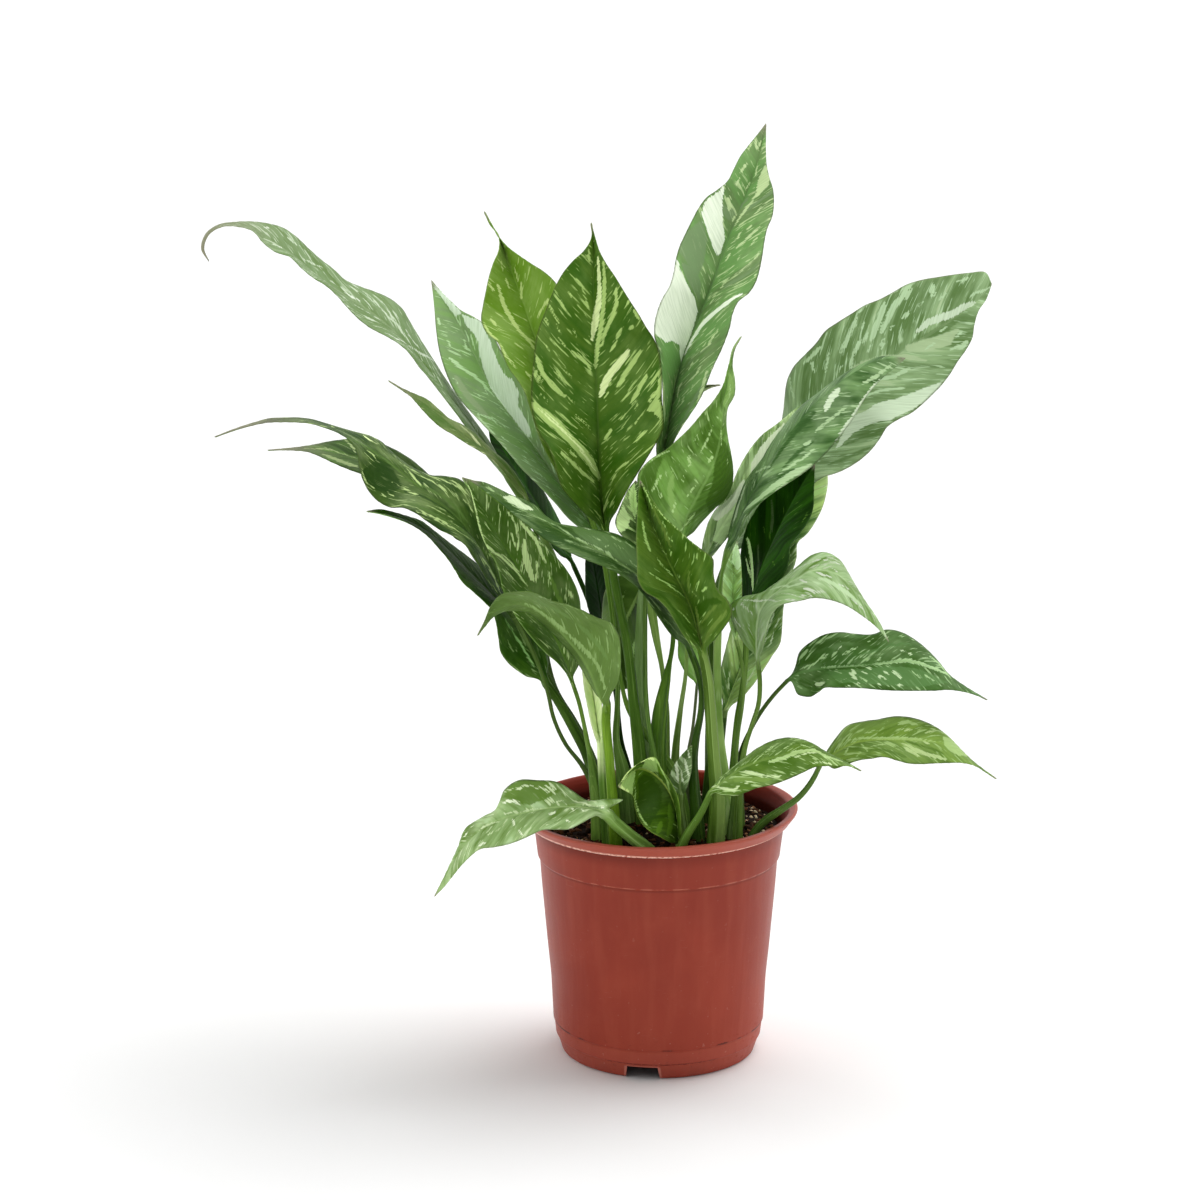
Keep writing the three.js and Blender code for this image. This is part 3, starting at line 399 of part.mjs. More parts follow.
// ---------------------------------------------------------------- leaf
// Rings of eight points: margin, upper face, margin, lower face with the midrib.
function makeLeaf(leaf) {
  const along = (rows) => new THREE.CatmullRomCurve3(rows.map(V), false, 'centripetal');
  const knots = (rows) => rows.map((_, i) => along(rows).getPoint(i / (rows.length - 1)));
  const P = knots(leaf.petiole), M = knots(leaf.midrib), A = knots(leaf.left), B = knots(leaf.right);
  const tip = V(leaf.tip);
  const path = [...P, ...M];
  const tangent = path.map((_, i) => path[Math.min(i + 1, path.length - 1)].clone()
    .sub(path[Math.max(i - 1, 0)]).normalize());
  const frames = [];
  let side = B[0].clone().sub(A[0]).normalize();
  for (let j = P.length - 1; j >= 0; j--) {
    side = side.clone().addScaledVector(tangent[j], -side.dot(tangent[j])).normalize();
    frames[j] = side;
  }
  const points = [], q = Math.SQRT1_2;
  for (let j = 0; j < P.length; j++) {
    const r = leaf.radii[j];
    const s = frames[j], n = tangent[j].clone().cross(s).normalize().multiplyScalar(leaf.up);
    const at = (x, y) => P[j].clone().addScaledVector(s, x * r).addScaledVector(n, y * r);
    points.push(at(-1, 0), at(-q, q), at(0, 1), at(q, q), at(1, 0), at(q, -q), at(0, -1), at(-q, -q));
  }
  for (let i = 0; i < M.length; i++) {
    const u = i / (M.length - 1);
    const t = (i + 1 < M.length ? M[i + 1] : tip).clone().sub(i > 0 ? M[i - 1] : P.at(-1)).normalize();
    const a = M[i].clone().sub(A[i]), b = B[i].clone().sub(M[i]);
    const nA = t.clone().cross(a).normalize().multiplyScalar(leaf.up);
    const nB = t.clone().cross(b).normalize().multiplyScalar(leaf.up);
    const n = nA.clone().add(nB).normalize();
    const rib = leaf.radii.at(-1) * RIB * (1 - u) ** 1.6;
    const mA = A[i].clone().add(M[i]).multiplyScalar(0.5).addScaledVector(nA, CAMBER * a.length());
    const mB = B[i].clone().add(M[i]).multiplyScalar(0.5).addScaledVector(nB, CAMBER * b.length());
    points.push(A[i].clone(), mA.clone().addScaledVector(nA, LEAF_EDGE), M[i].clone().addScaledVector(n, LEAF_EDGE),
      mB.clone().addScaledVector(nB, LEAF_EDGE), B[i].clone(), mB.clone().addScaledVector(nB, -LEAF_EDGE),
      M[i].clone().addScaledVector(n, -LEAF_EDGE - rib), mA.clone().addScaledVector(nA, -LEAF_EDGE));
  }
  const rings = P.length + M.length, faces = [];
  points.push(P[0].clone(), tip);
  const bottom = points.length - 2, top = points.length - 1;
  for (let k = 0; k < rings - 1; k++) {
    for (let j = 0; j < 8; j++) {
      const a = k * 8 + j, b = k * 8 + ((j + 1) % 8);
      // both faces of the blade are creased along the same diagonals
      if (j < 4) faces.push([a, b, b + 8], [a, b + 8, a + 8]);
      else faces.push([a, b, a + 8], [b, b + 8, a + 8]);
    }
  }
  for (let j = 0; j < 8; j++) {
    faces.push([bottom, (j + 1) % 8, j]);
    faces.push([(rings - 1) * 8 + j, (rings - 1) * 8 + ((j + 1) % 8), top]);
  }
  return meshGeometry(points, faces);
}

// ---------------------------------------------------------------- assembly
const plant = new THREE.Group();
plant.name = 'potted_peace_lily';
plant.position.set(POT_AXIS[0], POT_AXIS[1], 0);

function add(name, geometry, colour, roughness) {
  const material = new THREE.MeshStandardMaterial({ color: colour, roughness, metalness: 0 });
  const mesh = new THREE.Mesh(geometry, material);
  mesh.name = name;
  plant.add(mesh);
}

add('pot', makePot(), 0x8c4434, 0.55);
add('potting_mix', makeSoil(), 0x2e2119, 0.95);
for (const leaf of LEAVES) add(leaf.name, makeLeaf(leaf), leaf.colour, 0.45);

export default plant;
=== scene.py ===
# Potted variegated peace lily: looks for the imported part.
# Metres, the same frame as the CAD; the tables below are millimetres from the pot's centre line.
import bpy, bmesh, json, math
import numpy as np
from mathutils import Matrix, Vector, noise as mnoise

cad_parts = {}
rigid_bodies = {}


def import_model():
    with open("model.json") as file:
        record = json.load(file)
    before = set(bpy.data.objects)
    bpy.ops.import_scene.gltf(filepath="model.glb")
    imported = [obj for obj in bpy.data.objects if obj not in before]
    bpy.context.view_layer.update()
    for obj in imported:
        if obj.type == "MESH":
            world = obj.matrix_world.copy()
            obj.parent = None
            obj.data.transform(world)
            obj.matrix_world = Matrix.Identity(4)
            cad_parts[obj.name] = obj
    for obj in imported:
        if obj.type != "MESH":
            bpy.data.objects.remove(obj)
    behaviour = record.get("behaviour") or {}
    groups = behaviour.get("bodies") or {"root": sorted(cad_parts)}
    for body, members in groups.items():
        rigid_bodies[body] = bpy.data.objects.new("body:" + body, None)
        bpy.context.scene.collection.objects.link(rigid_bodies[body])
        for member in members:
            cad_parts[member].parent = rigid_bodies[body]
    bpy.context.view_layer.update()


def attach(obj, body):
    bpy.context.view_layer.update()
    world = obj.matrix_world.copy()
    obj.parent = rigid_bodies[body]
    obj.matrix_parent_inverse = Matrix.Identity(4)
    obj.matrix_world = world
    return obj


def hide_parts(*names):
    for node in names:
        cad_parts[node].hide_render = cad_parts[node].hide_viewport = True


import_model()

POT_AXIS = (28.65, -3.56)
MM = 0.001
rng = np.random.default_rng(7)

# --------------------------------------------------------------------- camera
cam_data = bpy.data.cameras.new("camera")
cam_data.lens = 120.0
cam_data.sensor_width = 36.0
cam_data.clip_start = 0.05
cam_data.clip_end = 60.0
cam = bpy.data.objects.new("camera", cam_data)
cam.location = ((-27.83 + POT_AXIS[0]) * MM, (-1805.0 + POT_AXIS[1]) * MM, 683.0 * MM)
cam.rotation_euler = (math.radians(75.6), 0.0, 0.0)
bpy.context.scene.collection.objects.link(cam)
bpy.context.scene.camera = cam
bpy.context.scene.view_settings.view_transform = "Standard"

# --------------------------------------------------------------------- tables
# name: petiole radii as (fraction of the petiole, radius), way the upper face
# looks, rows of points (petiole from the soil up, midrib, one margin, other
# margin, tip), look
# Each leaf's colours under look are scaled up or down to the brightness the leaf shows where it sits: painted light on
# leaves deep in the plant, painted shade on the shaded ones.
LEAVES = {
    "leaf_tallest": dict(rad=[(0, 3.4), (0.35, 2.0), (0.42, 1.0), (0.48, 1.15), (0.56, 1.8), (0.63, 2.2), (0.8, 2.2), (1, 2.0)], up=-1, seed=11, slot="leaf_mid",
        P=[(3.11, 20.31, 103.51), (2.7, 19.79, 122.64), (2.84, 19.18, 141.77), (2.91, 19.12, 160.9), (1.69, 18.94, 179.98), (-1.7, 17.96, 198.78), (-4.21, 17.33, 217.67), (-3.19, 17.64, 236.78), (-0.9, 18.7, 255.75), (1.14, 19.95, 274.74)],
        M=[(1.17, 21.95, 274.29), (1.79, 23.35, 280.26), (2.51, 24.91, 286.18), (3.3, 26.61, 292.06), (4.15, 28.42, 297.91), (5.09, 30.34, 303.72), (6.18, 32.38, 309.49), (7.53, 34.52, 315.2), (9.16, 36.73, 320.82), (11, 39.01, 326.37), (13.05, 41.34, 331.85), (15.37, 43.85, 337.2), (17.76, 46.59, 342.49), (20.15, 49.52, 347.76), (22.52, 52.61, 353.02), (24.82, 55.82, 358.3), (27.04, 59.12, 363.62), (29.11, 62.45, 368.99), (31.19, 65.8, 374.37), (33.46, 69.11, 379.7), (35.86, 72.38, 385), (38.29, 75.68, 390.29), (40.77, 79.04, 395.57), (43.1, 82.45, 400.92), (45.19, 85.92, 406.36), (47.09, 89.43, 411.87), (48.8, 92.98, 417.44), (50.23, 96.58, 423.09)],
        A=[(0.17, 18.03, 275.65), (-2.15, 15.54, 282.32), (-1.54, 12.57, 289.51), (-0.31, 10.38, 296.42), (0.66, 9.23, 303.14), (1.2, 9.02, 309.71), (1.22, 9.66, 316.12), (0.92, 11.15, 322.34), (0.43, 13.54, 328.38), (-0.49, 16.79, 334.2), (-2.52, 20.82, 339.59), (-2.61, 25.12, 345.12), (-1.17, 29.14, 350.77), (1.22, 32.69, 356.17), (4.47, 36.22, 361.22), (6.39, 40.75, 366.65), (7.52, 46.22, 372.18), (9.42, 51.65, 377.56), (12.21, 56.72, 382.7), (15.22, 61.84, 387.76), (18.41, 66.81, 392.77), (22.34, 70.55, 397.49), (27.72, 73.2, 400.9), (32.67, 77.06, 404.64), (35.77, 82.96, 409.65), (38.93, 88.87, 414.67), (43.05, 93.26, 419.31), (47.27, 96.72, 424)],
        B=[(2.03, 17.78, 275.7), (3.5, 15.12, 282.55), (5.38, 12.26, 289.29), (7.76, 10.43, 295.59), (10.99, 9.74, 301.18), (14.46, 10.04, 306.43), (17.77, 11.07, 311.63), (20.56, 12.62, 317.03), (22.79, 14.52, 322.61), (25.3, 16.69, 328.03), (28.13, 19.07, 333.27), (30.63, 21.63, 338.64), (32.7, 24.33, 344.16), (33.97, 27.36, 349.84), (36.61, 31.33, 354.75), (41.6, 36.43, 357.92), (45.04, 41.72, 362.33), (46.96, 46.49, 367.64), (48.27, 50.82, 373.19), (49.29, 55.19, 378.81), (50.78, 60.16, 384.27), (53.38, 65.74, 389.3), (54.32, 70.8, 394.82), (54.04, 74.89, 400.59), (52.3, 78.83, 406.16), (51.17, 83.57, 411.75), (51.05, 89.06, 417.41), (51.24, 95.36, 423)],
        tip=(51.37, 100.21, 428.8),
        cols=((100, 144, 76), (91, 119, 68), (181, 203, 147), (226, 236, 214)), pet=((100, 134, 52), (134, 166, 82), (176, 200, 124)), grey=(111, 137, 94), midrib=(74, 99, 60), midrib_mix=0.6, margin=(89, 101, 66), undercol=(97, 122, 73), under=0.55, fleck=0.59, fleck_mix=0.85, sector=0.66, cloud=0.15, pitch=4.2, relief=0.28, wavy=0.8, camber=0.045, sheath=1.0, tipgrey=0.05, gloss=0.13, fade=0.01, back=0.0, backcol=(112, 144, 88), sweep=0.75, line=0.3, line_mix=0.45, two_tone=0.0),
    "leaf_centre_dark": dict(rad=[(0, 4.2), (0.3, 3.0), (0.5, 2.4), (1, 1.9)], up=-1, seed=18, slot="leaf_dark",
        P=[(-6.51, -2.41, 103.5), (-7.39, -1.41, 119.87), (-8.42, -1.01, 136.26), (-9.94, -0.4, 152.6), (-11.85, -0.5, 168.89), (-13.53, -1.2, 185.21), (-15.76, -0.15, 201.43), (-19.09, 1.56, 217.43), (-22.14, 3.15, 233.49), (-25.04, 4.56, 249.6)],
        M=[(-25.04, 4.56, 249.6), (-26.05, 5.03, 255.92), (-26.79, 5.34, 262.31), (-27.37, 5.43, 268.76), (-27.81, 5.44, 275.23), (-28.12, 5.45, 281.69), (-28.36, 5.45, 288.15), (-28.59, 5.46, 294.59), (-28.83, 5.73, 300.97), (-29.08, 6.38, 307.26), (-29.33, 7.35, 313.49), (-29.58, 8.58, 319.65), (-29.85, 10.03, 325.76), (-30.18, 11.65, 331.84), (-30.47, 13.37, 337.91), (-30.6, 15.12, 343.97), (-30.61, 17.16, 349.98), (-30.61, 19.69, 355.91), (-30.61, 22.65, 361.77), (-30.61, 26.01, 367.58), (-30.62, 29.71, 373.33), (-30.63, 33.7, 379.06), (-31.09, 37.94, 384.74)],
        A=[(-25.98, -0.18, 251.21), (-30.93, -5.05, 257.57), (-35.69, -9.8, 264.02), (-40.46, -12.83, 270.02), (-44.91, -14.5, 275.93), (-47.42, -15.63, 282.84), (-49.06, -15.84, 289.85), (-51.76, -14.18, 296.04), (-55.78, -10.28, 301.09), (-58.36, -5.64, 306.72), (-59.32, -1.85, 313.03), (-59.52, 0.65, 319.68), (-58.97, 2.26, 326.5), (-58.34, 4.42, 333.2), (-57.62, 7.28, 339.76), (-56.07, 9.33, 346.33), (-53.5, 10.98, 352.67), (-51.01, 13.85, 358.83), (-48.26, 17.71, 364.7), (-44.8, 21.57, 370.24), (-40.29, 25.06, 375.1), (-35.17, 29.39, 379.29), (-31.81, 35.95, 384.27)],
        B=[(-23.66, 0.03, 251.16), (-21.74, -4.93, 259.16), (-18.89, -9.84, 266.74), (-15.74, -13.12, 273.76), (-12.3, -14.72, 280.19), (-8.71, -14.74, 286.17), (-5.13, -12.81, 291.73), (-1.65, -8.97, 296.96), (1.31, -4.56, 302.33), (1.19, -2.28, 308.83), (0.68, -0.37, 315.42), (0.71, 3.81, 321.59), (0.61, 8.53, 327.67), (-0.38, 10.93, 334.14), (-2.74, 9.79, 340.88), (-6.54, 6.74, 347.31), (-9.99, 5.82, 353.52), (-13.74, 7.22, 359.09), (-17.35, 10.35, 364.44), (-20.91, 14.97, 369.58), (-24.78, 20.74, 374.35), (-28.06, 27.64, 379.32), (-30.18, 35.68, 384.66)],
        tip=(-32.02, 42.36, 390.35),
        cols=((47, 86, 9), (66, 98, 22), (160, 188, 107), (204, 221, 156)), pet=((56, 90, 18), (80, 116, 36), (124, 156, 78)), grey=(84, 115, 37), midrib=(50, 78, 14), midrib_mix=0.75, margin=(88, 100, 48), undercol=(106, 135, 65), under=0.6, fleck=0.6, fleck_mix=0.85, sector=0.74, cloud=0.12, pitch=4.2, relief=0.28, wavy=0.8, camber=0.045, sheath=1.0, tipgrey=0.05, gloss=0.1, fade=0.01, back=0.0, backcol=(112, 144, 88), sweep=0.75, line=0.3, line_mix=0.45, two_tone=0.0),
    "leaf_back_bright": dict(rad=[(0, 3.3), (0.2, 2.2), (0.4, 1.5), (0.5, 1.0), (1, 1.4)], up=-1, seed=25, slot="leaf_pale",
        P=[(13.47, -18.12, 103.51), (11.49, -10.26, 120.06), (7.16, -2.53, 136.18), (-3.62, 3.08, 149.9), (-14.2, 8.64, 163.86), (-18.65, 12.11, 181.27), (-21.16, 13.55, 199.49), (-23.36, 14.55, 217.77), (-26.25, 16.56, 235.86), (-31.58, 19.54, 253.23)],
        M=[(-31.58, 19.54, 253.23), (-34.12, 20.9, 258.96), (-36.42, 22.43, 264.74), (-38.49, 24.11, 270.57), (-40.36, 25.88, 276.45), (-42.14, 27.74, 282.35), (-43.92, 29.67, 288.23), (-45.72, 31.69, 294.08), (-47.52, 33.78, 299.93), (-49.3, 36.01, 305.76), (-51.04, 38.36, 311.58), (-52.72, 40.88, 317.39), (-54.42, 43.53, 323.18), (-56.27, 46.3, 328.91), (-58.31, 49.16, 334.57), (-60.42, 52.13, 340.2), (-62.51, 55.2, 345.83), (-64.63, 58.35, 351.45), (-66.87, 61.55, 357.03), (-69.3, 64.79, 362.54), (-71.67, 68.1, 368.07), (-73.72, 71.58, 373.71), (-76.38, 75.17, 379.1), (-79.88, 78.87, 384.05)],
        A=[(-32.51, 15.12, 254.28), (-37.26, 11.57, 260.03), (-41.39, 7.96, 266.31), (-44.82, 5.74, 272.73), (-47.93, 4.68, 279.06), (-51.07, 4.66, 285.13), (-54.11, 5.47, 291.07), (-56.64, 6.92, 297.1), (-58.73, 8.68, 303.24), (-60.77, 10.88, 309.31), (-62.92, 13.67, 315.23), (-66.39, 17.35, 320.36), (-70.51, 21.68, 324.97), (-73.25, 26.25, 330.26), (-75.86, 31.91, 335.36), (-81.08, 39.41, 338.49), (-83.64, 45.75, 343.62), (-82.82, 48.7, 349.9), (-81.51, 50.68, 356.31), (-80.13, 53.57, 362.55), (-78.18, 57.54, 368.44), (-75.7, 62.95, 373.88), (-75.9, 69.5, 379.46), (-80.18, 76.89, 383.77)],
        B=[(-30.17, 15.6, 254.16), (-29.77, 12.47, 261.79), (-29.69, 9.34, 269.39), (-30.03, 7.48, 276.66), (-30.8, 6.6, 283.66), (-31.65, 6.64, 290.42), (-32.57, 7.54, 296.99), (-33.62, 9.2, 303.36), (-34.63, 11.31, 309.65), (-35.61, 13.93, 315.85), (-36.6, 16.98, 321.97), (-37.66, 20.46, 328.01), (-38.75, 24.33, 333.97), (-40, 28.75, 339.83), (-41.44, 33.75, 345.56), (-43.22, 39.08, 351.18), (-45.71, 44.16, 356.62), (-49.34, 48.2, 361.66), (-54.37, 51.11, 365.72), (-60.14, 53.99, 368.85), (-65.81, 57.88, 372.02), (-71.31, 63.18, 375.28), (-75.88, 69.59, 379.38), (-79.38, 76.91, 384.2)],
        tip=(-82.98, 82.64, 389.24),
        cols=((94, 133, 27), (114, 147, 59), (180, 202, 122), (203, 219, 153)), pet=((72, 108, 28), (102, 138, 48), (146, 176, 92)), grey=(128, 159, 73), midrib=(122, 153, 69), midrib_mix=0.5, margin=(112, 126, 88), undercol=(122, 151, 96), under=0.55, fleck=0.63, fleck_mix=0.85, sector=0.78, cloud=0.15, pitch=4.2, relief=0.28, wavy=0.8, camber=0.045, sheath=1.0, tipgrey=0.05, gloss=0.13, fade=0.01, back=0.0, backcol=(112, 144, 88), sweep=0.75, line=0.3, line_mix=0.45, two_tone=0.0),
    "leaf_left_pale": dict(rad=[(0, 4.1), (0.22, 3.4), (0.33, 1.6), (0.5, 1.2), (1, 1.5)], up=-1, seed=32, slot="leaf_pale",
        P=[(-14.32, -0.72, 103.5), (-15.35, 4.46, 118.29), (-17.05, 10.28, 132.77), (-20.14, 15.99, 147.02), (-19.6, 17.83, 162.6), (-19.43, 17.6, 178.27), (-20.01, 16.99, 193.95), (-21.56, 18.6, 209.47), (-23.55, 21.44, 224.79), (-25.95, 24.14, 240.07)],
        M=[(-25.95, 26.14, 239.59), (-29.5, 29.23, 244.44), (-33.19, 32.25, 249.23), (-37.02, 35.11, 253.96), (-40.93, 37.94, 258.66), (-44.81, 40.81, 263.39), (-48.64, 43.64, 268.18), (-52.44, 46.35, 273.02), (-56.15, 48.86, 277.99), (-59.82, 51.27, 283.01), (-63.9, 53.69, 287.73), (-68.12, 56.12, 292.34), (-71.92, 58.58, 297.29), (-75.58, 61.08, 302.35), (-79.28, 63.51, 307.39), (-82.45, 65.83, 312.78), (-85.34, 68.12, 318.35), (-88.28, 70.43, 323.88), (-91.35, 72.83, 329.34), (-94.63, 75.3, 334.69), (-98.18, 77.81, 339.87), (-101.77, 80.35, 345.03), (-105.24, 82.93, 350.27)],
        A=[(-26.89, 21.97, 240.11), (-32.06, 20.18, 244.97), (-37.34, 18.2, 249.68), (-42.41, 17.26, 254.35), (-46.76, 17.31, 259.56), (-51.23, 18.23, 264.46), (-55.88, 20.01, 268.99), (-60.66, 22.27, 273.3), (-65.39, 24.69, 277.64), (-69.6, 27.23, 282.44), (-74.05, 30, 287.01), (-78.65, 33.06, 291.39), (-83.27, 36.56, 295.71), (-87.94, 40.64, 299.89), (-92.62, 45.2, 304.01), (-96.66, 50.13, 308.61), (-99.84, 55.32, 313.72), (-102.32, 60.55, 319.17), (-104.25, 65.73, 324.83), (-105.51, 70.64, 330.72), (-106.34, 75.14, 336.76), (-106.94, 79.25, 342.92), (-107.71, 82.66, 349.2)],
        B=[(-25.01, 22.58, 240.93), (-25.02, 21.75, 248.02), (-25.68, 20.9, 255.04), (-27.57, 21.01, 261.59), (-29.45, 22.2, 267.9), (-31.63, 24.2, 273.91), (-34.37, 26.75, 279.59), (-37.46, 29.47, 285.07), (-40.78, 32.05, 290.46), (-44.39, 34.66, 295.67), (-48.29, 37.52, 300.64), (-52.61, 40.23, 305.33), (-57.41, 42.45, 309.68), (-62.36, 44.7, 313.87), (-67.16, 47.36, 318.16), (-71.45, 50.55, 322.83), (-74.84, 54.58, 328), (-78.02, 59.18, 333.21), (-82.12, 63.59, 337.88), (-87.77, 67.27, 340.99), (-93.82, 71.2, 343.49), (-98.97, 76.06, 347.25), (-103.95, 81.42, 351.16)],
        tip=(-108.64, 85.55, 355.56),
        cols=((130, 169, 98), (128, 154, 108), (194, 225, 173), (226, 242, 219)), pet=((62, 94, 26), (92, 126, 50), (140, 170, 96)), grey=(151, 172, 129), midrib=(155, 174, 135), midrib_mix=0.55, margin=(114, 122, 88), undercol=(124, 147, 96), under=0.55, fleck=0.6, fleck_mix=0.85, sector=0.66, cloud=0.15, pitch=4.2, relief=0.28, wavy=0.8, camber=0.045, sheath=1.0, tipgrey=0.05, gloss=0.12, fade=0.01, back=0.0, backcol=(112, 144, 88), sweep=1.0, line=0.3, line_mix=0.45, two_tone=0.0),
    "leaf_far_left_hooked": dict(rad=[(0, 3.0), (0.3, 2.0), (1, 1.9)], up=1, seed=39, slot="leaf_pale",
        P=[(-22.62, 16.42, 103.5), (-24.67, 18.77, 123.11), (-26.61, 21.1, 142.73), (-29.54, 23.95, 162.15), (-34.13, 26.97, 181.22), (-39.37, 29.91, 200.14), (-45.17, 32.76, 218.91), (-52.57, 33.82, 237.29), (-61.61, 34.81, 254.93), (-72.13, 35.51, 271.74)],
        M=[(-72.18, 37.51, 271.29), (-76.54, 39.48, 276.95), (-80.86, 41.42, 282.64), (-85.13, 43.29, 288.39), (-89.46, 45.07, 294.11), (-93.96, 46.75, 299.73), (-98.53, 48.28, 305.32), (-103.12, 49.66, 310.93), (-107.72, 50.93, 316.54), (-112.32, 52.16, 322.15), (-117.01, 53.55, 327.66), (-122.02, 55.05, 332.89), (-127.35, 56.56, 337.78), (-133, 58.01, 342.35), (-138.95, 59.36, 346.54), (-145.21, 60.55, 350.3), (-151.4, 61.54, 354.18), (-157.44, 62.28, 358.31), (-163.2, 62.68, 362.83), (-168.62, 62.68, 367.78), (-174.29, 62.25, 372.44), (-180.22, 61.63, 376.76), (-186.18, 60.86, 381.02), (-192.42, 59.93, 384.69), (-199.47, 58.82, 386.38), (-206.55, 57.51, 386.33), (-212.43, 55.99, 382.48), (-214.49, 54.23, 375.91)],
        A=[(-70.81, 39.86, 271.73), (-74.81, 45.2, 277.34), (-79.09, 50.64, 282.78), (-83.58, 55.32, 288.27), (-88.19, 59.26, 293.83), (-92.79, 62.57, 299.55), (-97.27, 65.31, 305.46), (-101.6, 67.47, 311.59), (-105.75, 69.16, 317.93), (-109.91, 70.57, 324.3), (-114.02, 71.86, 330.73), (-117.97, 72.93, 337.28), (-121.93, 73.87, 343.84), (-127.77, 75.08, 348.52), (-134.85, 76.56, 351.51), (-142.18, 77.79, 353.92), (-149.15, 78.42, 356.96), (-154.79, 78.4, 362.23), (-160.82, 77.81, 367.08), (-166.38, 76.56, 372.51), (-171.73, 74.63, 378.21), (-177.81, 72.62, 382.88), (-184.99, 70.82, 385.32), (-192.41, 68.73, 386.61), (-199.83, 65.99, 386.71), (-207.06, 62.7, 385.86), (-213.06, 59.19, 382.19), (-215.04, 55.16, 375.73)],
        B=[(-73.54, 35.14, 270.86), (-78.19, 33.76, 276.84), (-82.55, 32.2, 283.06), (-86.69, 31.29, 289.3), (-90.84, 30.95, 295.4), (-95.01, 31.01, 301.39), (-99.23, 31.33, 307.3), (-103.5, 31.89, 313.1), (-108.14, 32.64, 318.58), (-112.88, 33.55, 323.92), (-117.02, 34.74, 329.68), (-122.52, 36.2, 334.14), (-128.79, 37.82, 337.53), (-135.26, 39.51, 340.59), (-141.01, 41.13, 344.76), (-146.06, 42.66, 349.74), (-150.82, 44.17, 355), (-156.16, 45.6, 359.7), (-162.31, 46.81, 363.35), (-167.86, 47.79, 367.83), (-172.98, 48.55, 372.76), (-179.8, 49.3, 375.01), (-185.52, 50.12, 379.26), (-190.22, 51.03, 384.52), (-196.97, 51.97, 386.52), (-204.22, 52.79, 386.47), (-210.62, 53.29, 383.06), (-213.51, 53.54, 376.49)],
        tip=(-211.29, 52.23, 369.87),
        cols=((96, 124, 66), (121, 147, 100), (194, 209, 180), (211, 221, 201)), pet=((66, 94, 34), (100, 128, 60), (150, 174, 110)), grey=(137, 161, 116), midrib=(161, 179, 138), midrib_mix=0.6, margin=(92, 108, 68), undercol=(101, 130, 75), under=0.55, fleck=0.59, fleck_mix=0.85, sector=0.62, cloud=0.12, pitch=4.2, relief=0.28, wavy=0.4, camber=0.045, sheath=1.0, tipgrey=0.28, gloss=0.13, fade=0.01, back=0.0, backcol=(112, 144, 88), sweep=1.6, line=0.3, line_mix=0.45, two_tone=0.0),
    "leaf_right_large": dict(rad=[(0, 3.9), (0.4, 2.6), (1, 2.1)], up=-1, seed=46, slot="leaf_pale",
        P=[(25.35, 7.45, 103.5), (25.33, 10.22, 117.75), (25.28, 13.23, 131.96), (24.96, 16.5, 146.11), (24.8, 19.09, 160.4), (24.76, 21.36, 174.75), (24.83, 23.81, 189.07), (25.93, 26.66, 203.26), (28.08, 29.58, 217.32), (32.71, 32.39, 230.77)],
        M=[(32.78, 34.39, 230.28), (35.87, 36.21, 235.77), (39.15, 37.86, 241.21), (42.57, 39.52, 246.55), (46.16, 41.19, 251.78), (49.91, 42.84, 256.91), (53.75, 44.47, 261.99), (57.64, 46.02, 267.04), (61.61, 47.29, 272.08), (65.64, 48.34, 277.13), (69.71, 49.32, 282.14), (73.8, 50.32, 287.13), (77.93, 51.43, 292.07), (82.19, 52.58, 296.9), (86.67, 53.67, 301.53), (91.38, 54.71, 305.94), (96.23, 55.72, 310.2), (101.12, 56.73, 314.43), (106.01, 57.72, 318.64), (111.02, 58.65, 322.73), (116.28, 59.51, 326.5), (121.81, 60.34, 329.89), (127.38, 61.16, 333.21), (132.84, 61.98, 336.69), (138.25, 62.8, 340.26), (143.57, 63.61, 343.95), (148.81, 64.42, 347.75), (153.62, 65.22, 352.05)],
        A=[(31.99, 39.49, 230), (33.94, 46.06, 235.92), (36.16, 52.95, 241.73), (38.63, 58.92, 247.71), (41.41, 63.89, 253.83), (44.46, 68.01, 260.05), (47.76, 71.4, 266.33), (51.27, 74.01, 272.67), (54.86, 75.68, 279.15), (58.46, 76.4, 285.79), (59.92, 75.89, 293.42), (60.48, 73.92, 301.51), (61.48, 70.93, 309.7), (64.52, 68.03, 317.13), (69.47, 65.8, 323.1), (74.52, 63.59, 328.96), (78.92, 62.24, 335.23), (84.98, 62.4, 339.52), (91.31, 63.17, 343.39), (97.63, 63.92, 347.28), (104.57, 64.59, 349.98), (111.13, 65.29, 353.43), (117.63, 65.94, 356.98), (124.79, 66.43, 359.07), (132.17, 66.74, 360.27), (139.56, 66.92, 361.4), (146.97, 66.96, 362.27), (154.36, 66.16, 362.68)],
        B=[(34.04, 29.52, 230.99), (38.9, 26.66, 236.13), (43.8, 23.19, 241.29), (48.84, 20.7, 246.05), (53.99, 19.23, 250.43), (58.93, 18.52, 254.92), (63.57, 18.34, 259.63), (67.95, 18.64, 264.5), (71.61, 19.25, 269.89), (76.77, 20.43, 273.5), (83.08, 22.45, 275.11), (89.12, 25.1, 277.36), (94.69, 27.88, 280.46), (99.55, 30.11, 284.55), (103.49, 31.5, 289.6), (106.99, 33.11, 294.91), (112.56, 36.49, 297.88), (118.79, 41.74, 299.76), (124.32, 47.62, 302.74), (129.42, 52.21, 306.43), (134.14, 54.68, 310.77), (138.13, 56.16, 315.86), (141.57, 57.53, 321.34), (145.42, 58.87, 326.56), (148.44, 59.99, 332.21), (149.43, 60.67, 338.7), (151.32, 61.74, 344.9), (155.06, 64.29, 350.01)],
        tip=(157.71, 66.01, 357.03),
